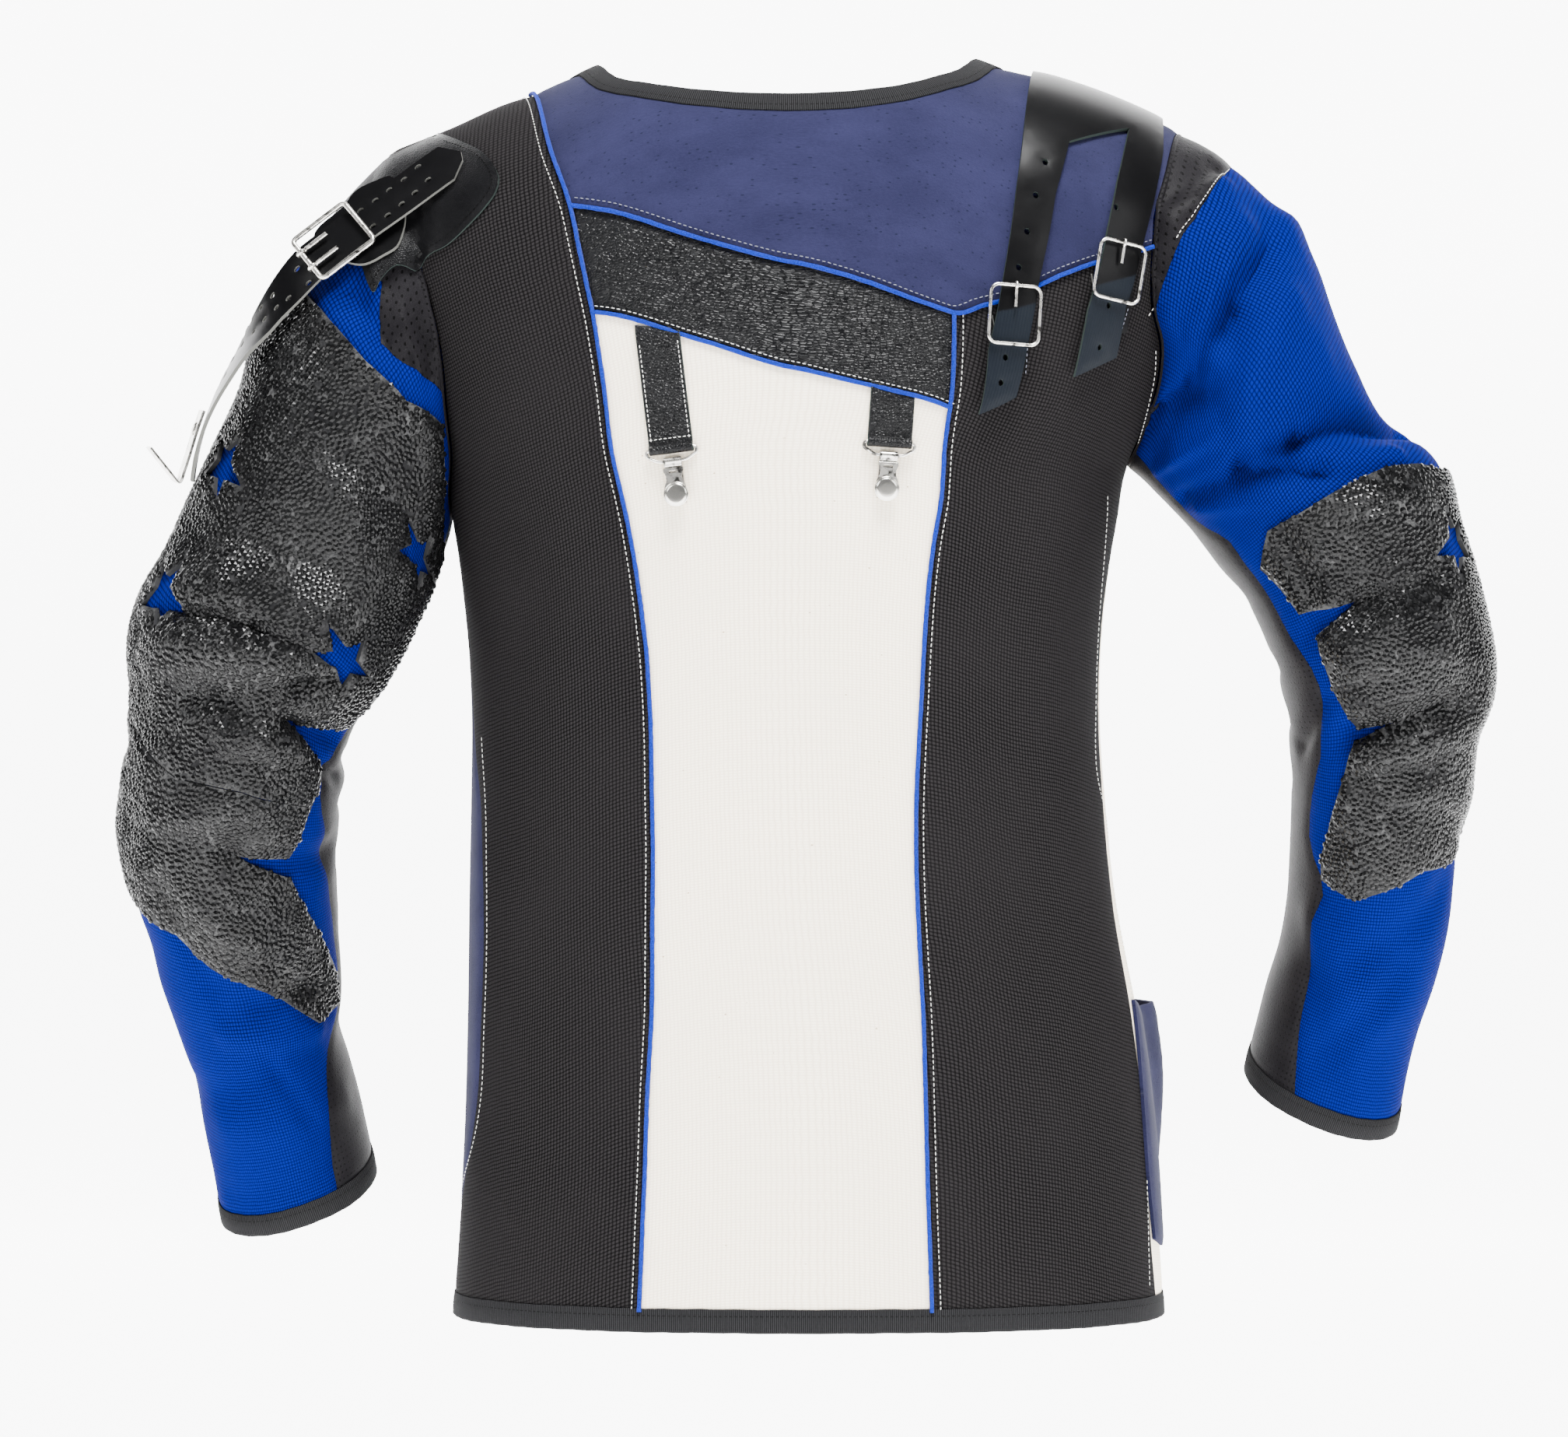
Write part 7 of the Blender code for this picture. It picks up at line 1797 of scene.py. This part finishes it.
rise_from = at_px(body, 1300, STRAP_RISE[0])[1]
rise_to = at_px(body, 1300, STRAP_RISE[1])[1]
strap_line = run_px(body, SHOULDER_STRAP)
strap_line[:3, 1] = 4 * MM
lay("shoulder_strap", "_leather", body, along_sides(strap_line, 6 * MM), PLATE_LEATHER, STRAP, "laid",
    ["back_yoke_cloth", "back_side_right_cloth"], lift=ride_height, grid=6 * MM, edge=EDGE_DARK,
    holes=punched(body, STRAP_HOLES), dip=0.35 * MM)


def nickel():
    made = Finish("nickel", (0.68, 0.66, 0.60), 0.16, Metallic=1.0)
    where = made.solid()
    made.gloss(made.noise(where, 3 * MM, 4) * 0.16 + 0.2)
    # Dark blotches painted into the plated colour are painted reflections of dark surroundings
    painted_reflection = made.noise(where, 4.5 * MM, 2).over(0.32, 0.5)
    made.paint(made.mix(painted_reflection, (0.05, 0.048, 0.045), (0.58, 0.56, 0.52)))
    return made.material


NICKEL = nickel()
BRIGHT_NICKEL = Finish("polished nickel", (0.62, 0.60, 0.55), 0.22, Metallic=1.0).material
def local_frame(point, out, down):
    """A frame at the point: local y points into the body, and local -z as near down as can be."""
    into = -Vector(out).normalized()
    up = -Vector(down)
    up = (up - into * up.dot(into)).normalized()
    side = into.cross(up)
    rotation = Matrix((side, into, up)).transposed().to_4x4()
    return Matrix.Translation(Vector(point)) @ rotation
def node_middle(node):
    """The middle of a solid's box."""
    low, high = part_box(node)
    return (np.array(low) + np.array(high)) / 2


def frame_ring(width, height, corner, frame):
    """Points of a rounded rectangle in the local xz plane of the frame."""
    points = []
    for i, (x, z) in enumerate(((1, 1), (-1, 1), (-1, -1), (1, -1))):
        middle = np.array([x * (width / 2 - corner), z * (height / 2 - corner)])
        for turn in np.radians(90 * i + np.linspace(0, 90, 9)):
            points.append(middle + corner * np.array([math.cos(turn), math.sin(turn)]))
    return to_world(frame, [(x, 0, z) for x, z in points])


def prong(node, frame, shift, top, length, radius):
    """A tongue that hinges round a bar of the frame: a small roll on the bar and a pin across the opening."""
    turns = np.radians(np.arange(-100, 161, 20))
    bar = radius * 1.15 + 0.5 * MM
    sign = math.copysign(1, top)
    roll = [(shift, -bar * math.cos(t) * 0.9, top + sign * bar * math.sin(t)) for t in turns[::-1]]
    pin = [(shift, -radius * 0.7, top - sign * length * share) for share in (0.2, 0.4, 0.6, 0.8, 1.0)]
    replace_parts(tube(node + "_pin", to_world(frame, [*roll, *pin]), radius, NICKEL, sides=12), node)


for number, (px, py, width, height, turn) in enumerate(BUCKLES, 1):
    slant = math.radians(turn)
    out = normals(body, *at_px(body, px, py))
    frame = local_frame(node_middle(f"buckle_{number}"), out, (-math.sin(slant), 0, -math.cos(slant)))
    ring = frame_ring(width * MM, height * MM, BUCKLE_CORNER * 0.8, frame)
    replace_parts(tube(f"buckle_{number}_frame", ring, BUCKLE_WIRE * 0.66, NICKEL, sides=16, closed=True),
                f"buckle_{number}")
    prong(f"prong_{number}", frame, 0, height * MM / 2, PRONG_LENGTH * 1.35, PRONG_WIRE * 0.9)
for number, tab in enumerate(SHOULDER_TABS, 1):
    lay(f"shoulder_tab_{number}", "_leather", body, along_sides(run_px(body, tab), 5 * MM), STRAP_LEATHER,
        TAB_LEATHER, "laid", ["back_side_right_cloth"], lift=LAID_ON, grid=LEATHER_GRID, edge=EDGE_FIBRE,
        dip=0.3 * MM)


def inner_row(outline, distance, step=3 * MM):
    """A row inside a closed cut edge."""
    row = along_sides(inset(np.asarray(outline, float), distance), step)
    return np.concatenate([row, row[:1]])


patch_row = inner_row(patch_outline, 3.6 * MM)
patch_points, patch_facing = on_cloth(over_shoulder, patch_row, PATCH_LIFT + PATCH_LEATHER + 0.1 * MM)
sew("patch_stitches", [(patch_points, patch_facing)], DARK_THREAD, pitch=3 * MM, length=2.2 * MM, width=0.6 * MM)
gusset_row = run_px(right_sleeve, ((1580, 218), (1556, 246), (1533, 276), (1514, 303)))
arm_edge = run_px(body, ((1489, 352), (1491, 372), (1487, 388), (1478, 404)))
sew("gusset_stitches", [on_cloth(right_sleeve, smooth_run(gusset_row, 4 * MM)),
                        on_cloth(body, smooth_run(arm_edge, 4 * MM))], WHITE_THREAD, width=0.65 * MM)
tab_ends = run_px(body, ((1319, 449), (1317, 478))), run_px(body, ((1447, 398), (1438, 427)))
sew("tab_stitches", [on_cloth(body, corner_run(list(row), 3 * MM), LAID_ON + TAB_LEATHER) for row in tab_ends],
    GREY_THREAD, pitch=2.6 * MM, length=1.8 * MM)


# Sling strap: a stiff leather strap from the shoulder patch through a frame buckle with two prongs, down to a metal
# hook riveted to its free end. Oval holes are punched along both its edges.
def strip_frames(rows, step):
    """Middle, face normal, width direction and heading along a strip: its rows give place, depth and turn."""
    spots = []
    for px, py, depth, turn, tilt in rows:
        x, z = seen(px, py, depth * MM)
        spots.append((x, depth * MM, z, turn, tilt))
    knots = [spot[:3] for spot in spots]
    line = smooth_run(knots, step)
    lengths, at = run_lengths(knots), run_lengths(line)
    turns, tilts = (
        np.radians(np.interp(at / at[-1], lengths / lengths[-1], [spot[i] for spot in spots])) for i in (3, 4)
    )
    heading = unit(np.gradient(line, axis=0))
    face = np.column_stack([-np.sin(turns) * np.cos(tilts), -np.cos(turns) * np.cos(tilts), np.sin(tilts)])
    face = unit(face - heading * np.sum(face * heading, axis=1, keepdims=True))
    return line, face, np.cross(face, heading), heading


def on_plane(frame, pixels):
    """Pattern places at which the sight lines of photo points meet the plane of a frame."""
    frame = np.array(frame)
    eye = np.array([eye_x, -EYE_DISTANCE, eye_z])
    places = []
    for px, py in pixels:
        x, z = seen(px, py)
        ray = np.array([x, 0, z]) - eye
        into = frame[:3, 1]
        spot = eye + ray * ((frame[:3, 3] - eye) @ into) / (ray @ into)
        local = (spot - frame[:3, 3]) @ frame[:3, :3]
        places.append((local[0], -local[2]))
    return np.array(places)


# Rows of the strap: photo place, depth in millimetres, and the degrees that its face turns and tilts
SLING_ROWS = (
    (597, 197, -68.5, 4, 32), (573, 213, -69.0, 4, 32), (505, 262, -70.5, 4, 32), (468, 288, -71.6, 4, 32),
    (432, 315, -72.8, 4, 32), (399, 341, -74, 8, 26), (372, 372, -71.6, 32, 14), (352, 398, -68, 52, 8),
    (340, 416, -65, 61, 4), (316, 452, -62, 76, 0), (300, 478, -61, 78, 0), (275, 526, -60, 82, 0),
    (260.5, 567, -60, 85, 0), (254, 594, -60, 86, 0), (250.5, 619, -60, 86, 0),
)
SLING_BUCKLE_PX = (432, 315)
SLING_BASE = (
    (441, 258), (451, 243), (480, 227), (498, 221), (512, 240), (513, 298), (507, 311), (490, 322), (465, 334),
    (436, 330), (408, 322), (400, 300),
)
SLING_BASE_LEATHER = 2.4 * MM
SLING_BASE_GAP = 4.1 * MM
SLING_WIDTH = 24.5 * MM
SLING_THICK = 2.6 * MM
SLING_BUCKLE_LENGTH = 37 * MM
SLING_BUCKLE_WIDTH = 33 * MM
SLING_WIRE = 2.0 * MM
SLING_CORNER = 5 * MM
SLING_PRONG = 13 * MM
SLING_PRONG_OUT = 6 * MM  # from the middle of the buckle to each prong
SLING_PRONG_WIRE = 1.4 * MM
HOOK_ROWS = (
    (262, 528, -55.7, 76, 0), (253.5, 552, -55.7, 76, 0), (243, 586, -55.7, 76, 0), (233, 617, -55.7, 76, 0),
    (190, 576, -55.7, 76, 0),
)
HOOK_WIDTH = 16 * MM
HOOK_THICK = 1.6 * MM


class Strip:
    """A strap as a surface: across its width from its middle, and down its length."""

    hand = 1
    top = 0.0

    def __init__(self, rows):
        self.line, self.face, self.side, self.heading = strip_frames(rows, 4 * MM)
        self.along = run_lengths(self.line)
        self.length = self.along[-1]
        self.seen_from = (-SLING_WIDTH / 2, 0.0)
        self.seen_to = (SLING_WIDTH / 2, self.length)

    def __call__(self, across, down):
        across, down = np.broadcast_arrays(np.asarray(across, float), np.asarray(down, float))
        at = np.clip(down, 0, self.length)
        line, side = (np.stack([np.interp(at, self.along, rows[:, i]) for i in range(3)], -1)
                      for rows in (self.line, self.side))
        return line + side * across[..., None]

    bare = __call__


sling = Strip(SLING_ROWS)
probe = normals(sling, np.array([0.0]), np.array([sling.length / 2]))[0]
if probe @ sling.face[len(sling.face) // 2] < 0:
    sling.hand = -1
half = SLING_WIDTH / 2
tip = run_px(sling, ((566, 193), (594, 197), (596, 208), (585, 232)))
tip = tip if tip[0, 0] < tip[-1, 0] else tip[::-1]
tip[0, 0], tip[-1, 0] = -half, half
sling_outline = np.array([*tip, (half, sling.length), (-half, sling.length)])
SLING_SKIN = 2.0 * MM
SLING_HOLES = (
    (539, 217), (521, 233), (502, 246.5), (484, 260), (465, 273), (552, 233.5), (535, 250), (518, 264.5),
    (500, 279), (481, 293), (384.5, 347), (399, 365.5), (354, 381), (374, 385), (339.5, 396.6), (359, 397),
    (325, 415), (344, 412), (312, 433), (330, 429), (301.5, 453), (316, 445), (292, 472), (304, 464), (282, 493),
    (294, 485),
)
lay("sling_strap", "_leather", sling, along_sides(sling_outline, 5 * MM), STRAP_LEATHER, SLING_SKIN,
    lift=SLING_THICK - SLING_SKIN, grid=LEATHER_GRID, edge=EDGE_FIBRE,
    holes=punched(sling, SLING_HOLES, 2.1 * MM, 1.3 * MM), dip=0.3 * MM)
nearest = int(np.argmin(np.linalg.norm(photo_px(sling.line) - SLING_BUCKLE_PX, axis=1)))
sling_out = sling.face[nearest]
behind = local_frame(sling.line[nearest], sling_out, sling.heading[nearest])
frame = local_frame(node_middle("sling_buckle"), sling_out, sling.heading[nearest])
ring = frame_ring(SLING_BUCKLE_WIDTH, SLING_BUCKLE_LENGTH, SLING_CORNER * 0.6, frame)
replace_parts(tube("sling_buckle_frame", ring, SLING_WIRE * 0.75, NICKEL, sides=16, closed=True), "sling_buckle")
for number, shift in ((1, -SLING_PRONG_OUT), (2, SLING_PRONG_OUT)):
    prong(f"sling_prong_{number}", frame, shift, -SLING_BUCKLE_LENGTH / 2, SLING_PRONG + 5 * MM,
          SLING_PRONG_WIRE * 0.9)
base_knots = on_plane(behind, SLING_BASE)
base_outline = smooth_run(np.array([*base_knots, base_knots[0]]), 3 * MM)[:-1]
lay("sling_base", "_leather", Plane(behind), base_outline, STRAP_LEATHER, SLING_BASE_LEATHER, "laid",
    ["shoulder_patch_leather"], lift=-SLING_BASE_GAP - SLING_BASE_LEATHER, grid=LEATHER_GRID, edge=EDGE_FIBRE,
    dip=0.3 * MM)


def ribbon(name, path, across, facing, width, thick, finishes, ride="jacket"):
    """A flat strip along a path, with softened edges. Its sides may have a finish of their own."""
    half, soft = width / 2, min(0.35 * MM, thick * 0.3)
    section = (
        (-half + soft, thick), (-half / 3, thick), (half / 3, thick), (half - soft, thick),
        (half, thick - soft), (half, soft), (half - soft, 0), (half / 3, 0),
        (-half / 3, 0), (-half + soft, 0), (-half, soft), (-half, thick - soft),
    )
    slots = [0, 0, 0, 1, 1, 1, 0, 0, 0, 1, 1, 1] if len(finishes) > 1 else [0] * 12
    around = [spot[0] for spot in section]
    rings = [[p + a * wide + f * high for wide, high in section] for p, a, f in zip(path, across, facing)]
    return banded(name, rings, finishes, around, ride=ride, slots=slots, angle=35)


line, face, side, heading = strip_frames(HOOK_ROWS[:-1], 4 * MM)
end_x, end_z = seen(*HOOK_ROWS[-1][:2], HOOK_ROWS[-1][2] * MM)
end = np.array([end_x, HOOK_ROWS[-1][2] * MM, end_z])
leg = (end - line[-1]) / np.linalg.norm(end - line[-1])
bend = [heading[-1] * (1 - t) + leg * t for t in (0.2, 0.5, 0.8)]
curve = [line[-1]]
for way in bend:
    curve.append(curve[-1] + way / np.linalg.norm(way) * 1.6 * MM)
path = np.array([*line, *curve[1:], *[curve[-1] + (end - curve[-1]) * t for t in (0.25, 0.5, 0.75, 1.0)]])
ways = unit(np.gradient(path, axis=0))
wide = np.repeat(side[-1][None], len(path), 0)
facing = np.cross(wide, ways)
facing = facing * np.sign(facing[0] @ face[0])
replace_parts(ribbon("sling_hook_metal", path, wide, facing, HOOK_WIDTH, HOOK_THICK, [NICKEL]), "sling_hook")


def turned(name, profile, middle, axis, finish, sides=28, ride="jacket", angle=35):
    """A round piece turned about an axis, from heights along it and radii, both in millimetres."""
    frame = local_frame(middle, axis, (0.01, 0.02, -1))
    turns = np.arange(sides) * 2 * math.pi / sides
    rings = []
    for height, radius in profile:
        height, radius = height * MM, radius * MM
        rings.append(to_world(frame, [(radius * math.cos(t), -height, radius * math.sin(t)) for t in turns]))
    around = turns * (profile[0][1] * MM)
    return banded(name, rings, [finish], around, ride=ride, angle=angle)


RIVET = ((-1.4, 4.1), (-0.5, 4.2), (-0.1, 3.9), (0.3, 3.2), (0.55, 2.2), (0.65, 1.0), (0.66, 0.2))
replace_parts(turned("sling_rivet_head", RIVET, node_middle("sling_rivet"), face[1], NICKEL), "sling_rivet")


# Garter tabs: two leather tabs sewn to the back, each folded round a wire loop. A nickel clip with a snap lever
# hangs from each loop, and the loop, the clip and its lever all swing.
GARTER_TABS = {"left": ((847, 437), (864, 577)), "right": ((1147, 513), (1143, 569))}
GARTER_WIDTH = 25 * MM
FOLD_RADIUS = 2.7 * MM
LOOP_WIRE = 1.0 * MM
LOOP_HALF_TOP = 14.2 * MM
LOOP_HALF_LOW = 6.8 * MM
LOOP_DROP = 7.0 * MM
CLIP_HALF = 5.0 * MM
CLIP_EYE = 2.1 * MM
LEVER_PIVOT = 4.6 * MM  # below the loop's lower bar
LEVER_BUTTON = 18.6 * MM  # from the loop's lower bar to the middle of the round button
LEVER_BUTTON_RADIUS = 7.0 * MM
# Middles of the loops' upper bars, as in the solids
LOOP_PIVOTS = {"left": (-0.066058, -0.121113, -0.20839), "right": (0.055767, -0.121758, -0.205098)}
TAB_SHEET = 1.25 * MM
TAB_ROW = 0.15 * MM  # how far its stitches stand off the tab
TAB_START = 3.4 * MM
TAB_ROLL = (75, -150)  # degrees at which the tab begins and ends its turn round the bar
TUCK_SLOPE_LENGTH = 14 * MM  # stretch over which the tab's slanted top end comes straight
CLIP_SHEET = 0.55 * MM
LEVER_SHEET = 0.6 * MM
LEVER_OFF = 2.1 * MM  # how far the lever's plate is in front of the loop's plane
LEVER_SLOT = (2.6 * MM, 0.8 * MM, 1.4 * MM)  # half width, half height, and place below the pivot
# Half widths of the lever's plate at places down it, and the heights and radii of its button, head and pivot
LEVER_PLATE = ((0.0, 5.6), (1.5, 5.7), (3.0, 5.0), (5.0, 4.3), (7.0, 4.6), (9.0, 5.6), (10.5, 6.1))
LEVER_DOME = (
    (0.0, 6.9), (0.5, 7.1), (1.0, 7.0), (1.3, 6.6), (1.25, 6.2), (1.35, 6.0), (1.75, 5.5), (1.9, 4.6), (1.95, 2.5),
    (1.96, 0.3),
)
LEVER_HEAD = ((-5.6, 0.9), (-5.4, 1.1), (5.4, 1.1), (5.6, 0.9))


def dress_garter(side, tuck, slope, sewn):
    """A tab, its loop, the clip on the loop, and the clip's lever. The tab runs on by tuck, to a slanted end."""
    plain = Torso()
    places = run_px(plain, GARTER_TABS[side])
    top, low = plain(*places[0]), plain(*places[1])
    length = float(np.linalg.norm(low - top))
    frame = np.array(local_frame(LOOP_PIVOTS[side], normals(plain, *places.mean(0)), low - top))
    across, into, up = frame[:3, 0], frame[:3, 1], frame[:3, 2]

    def world(points):
        return to_world(frame, points)

    # The tab: down the front, round the loop's bar, and up behind
    mid = FOLD_RADIUS - TAB_SHEET
    end = length + tuck
    path, face = [(0, TAB_START, end), (0, 2.3 * MM, end - 3 * MM)], [-into, -into]
    for share in np.linspace(0, 1, 14):
        path.append((0, TAB_SHEET + 0.05 * MM + 0.2 * MM * math.sin(share * 9),
                     (end - 8 * MM) * (1 - share) + TAB_START * share))
        face.append(-into)
    for turn in np.radians(np.linspace(*TAB_ROLL, 14)):
        path.append((0, -mid * math.cos(turn), mid * math.sin(turn)))
        face.append(-into * math.cos(turn) + up * math.sin(turn))
    path.append((0, mid, 0.6 * MM))
    face.append(into)
    sideways = [
        across + up * slope * max(0, 1 - abs(spot[2] - length - tuck) / TUCK_SLOPE_LENGTH) for spot in path
    ]
    tab = ribbon(f"garter_tab_{side}_leather", world(path), sideways, face, GARTER_WIDTH, TAB_SHEET,
                 [GRAIN_LEATHER, EDGE_DARK])
    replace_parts(tab, f"garter_tab_{side}")
    if sewn:
        edge = GARTER_WIDTH / 2 - 1.7 * MM
        rows = [[(x, -TAB_ROW, z) for z in np.linspace(length - 2.5 * MM, 6 * MM, 30)] for x in (-edge, edge)]
        rows.append([(x, -TAB_ROW, 6 * MM) for x in np.linspace(-edge, edge, 24)])
        sew(f"garter_{side}_stitches", [(world(row), [-into] * len(row)) for row in rows], WHITE_THREAD,
            pitch=2.7 * MM, length=1.9 * MM, width=0.6 * MM)

    loop_knots = [
        (0, 0, 0), (LOOP_HALF_TOP - 1.5 * MM, 0, 0), (LOOP_HALF_TOP - 0.3 * MM, 0, -0.5 * MM),
        (LOOP_HALF_TOP, 0, -1.8 * MM), (LOOP_HALF_TOP - 0.4 * MM, 0, -3.4 * MM),
        (LOOP_HALF_TOP - 2.4 * MM, 0, -4.6 * MM), (LOOP_HALF_LOW + 1.6 * MM, 0, -LOOP_DROP + 0.5 * MM),
        (LOOP_HALF_LOW - 1 * MM, 0, -LOOP_DROP), (0, 0, -LOOP_DROP),
    ]
    ring = loop_knots + [(-x, y, z) for x, y, z in loop_knots[-2:0:-1]]
    ring = smooth_run(world(ring + ring[:1]), 0.8 * MM)[:-1]
    loop = tube(f"clip_loop_{side}_wire", ring, LOOP_WIRE, NICKEL, sides=12, ride=f"loop_{side}", closed=True)
    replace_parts(loop, f"clip_loop_{side}")

    # The clip's body: a plate rolled round the loop's lower bar, from a short lip in front to a long jaw behind
    eye = CLIP_EYE - 0.35 * MM
    path = [(0, -1.15 * MM, -LOOP_DROP - 2.9 * MM), (0, -1.4 * MM, -LOOP_DROP - 2.1 * MM)]
    facing = [-into, -into]
    for turn in np.radians(np.linspace(-35, 200, 15)):
        path.append((0, -eye * math.cos(turn), -LOOP_DROP + eye * math.sin(turn)))
        facing.append(-into * math.cos(turn) + up * math.sin(turn))
    for drop in (2.6, 8, 14, 20, 24):
        path.append((0, 0.6 * MM, -LOOP_DROP - drop * MM))
        facing.append(into)
    clip = ribbon(f"clip_body_{side}_metal", world(path), [across] * len(path), facing, 2 * CLIP_HALF, CLIP_SHEET,
                  [NICKEL], ride=f"clip_{side}")
    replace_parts(clip, f"clip_body_{side}")

    # The lever: a flared plate with a slot and a rolled head, and a polished round button on it
    pin, button = LOOP_DROP + LEVER_PIVOT, LOOP_DROP + LEVER_BUTTON
    edge = [(half_wide * MM, pin - 0.7 * MM + drop * MM) for drop, half_wide in LEVER_PLATE]
    foot = [(LEVER_BUTTON_RADIUS * math.cos(turn), button + LEVER_BUTTON_RADIUS * 0.92 * math.sin(turn))
            for turn in np.radians(np.linspace(40, 140, 12))]
    outline = np.array([*edge, *foot, *((-x, down) for x, down in edge[::-1])])
    half_wide, half_high, below = LEVER_SLOT
    slot = np.array([(x * half_wide, pin + below + z * half_high) for x, z in ((-1, -1), (1, -1), (1, 1), (-1, 1))])
    plate = cut_cloth(f"clip_lever_{side}_plate", Plane(frame), outline, NICKEL, LEVER_SHEET, lift=LEVER_OFF,
                      grid=1.6 * MM, dip=0.0, ride=f"lever_{side}", gap=0, holes=[slot])
    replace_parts(plate, f"clip_lever_{side}")
    turned(f"clip_button_{side}", LEVER_DOME, world([(0, -2.3 * MM, -button)])[0], -into, BRIGHT_NICKEL,
           ride=f"lever_{side}", angle=60)
    turned(f"clip_head_{side}", LEVER_HEAD, world([(0, -1.5 * MM, -pin)])[0], across, NICKEL, sides=14,
           ride=f"lever_{side}")


dress_garter("left", 7 * MM, -0.24, True)
dress_garter("right", 6.5 * MM, -0.28, False)


# The front's five buttons: moulded discs with a raised rim and four holes, down the middle of the lap.
# Each is sewn on with a cross of thread.
BUTTON_ROWS = (400, 650, 900, 1150, 1400)
BUTTON_PROFILE = (
    (-2.0, 9.4), (-1.6, 10.6), (0.0, 11.0), (1.4, 10.7), (2.0, 9.6), (1.7, 8.5), (1.0, 7.6), (0.8, 4.0), (0.8, 0.2),
)
CROSS_ARMS = (((-2, -2), (2, 2)), ((2, -2), (-2, 2)))  # millimetres
CROSS_RISE = 1.1
BUTTON_FINISH = Finish("black button", (0.012, 0.012, 0.013), 0.25).material
plain = Torso()
crosses = []
for number, row in enumerate(BUTTON_ROWS, 1):
    facing = np.array(normals(plain, *plain.at_turn(180, seen(0, row)[1])))
    middle = node_middle(f"front_button_{number}")
    disc = turned(f"front_button_{number}_disc", BUTTON_PROFILE, middle, facing, BUTTON_FINISH, sides=40)
    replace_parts(disc, f"front_button_{number}")
    frame = local_frame(middle, facing, (0, 0, -1))
    for a, b in CROSS_ARMS:
        ends = [np.array([a[0] + (b[0] - a[0]) * t, -CROSS_RISE, a[1] + (b[1] - a[1]) * t]) * MM
                for t in np.linspace(0, 1, 5)]
        crosses.append((to_world(frame, ends), [facing] * len(ends)))
sew("button_crosses", crosses, DARK_THREAD, pitch=1.4 * MM, length=1.7 * MM, width=0.8 * MM)
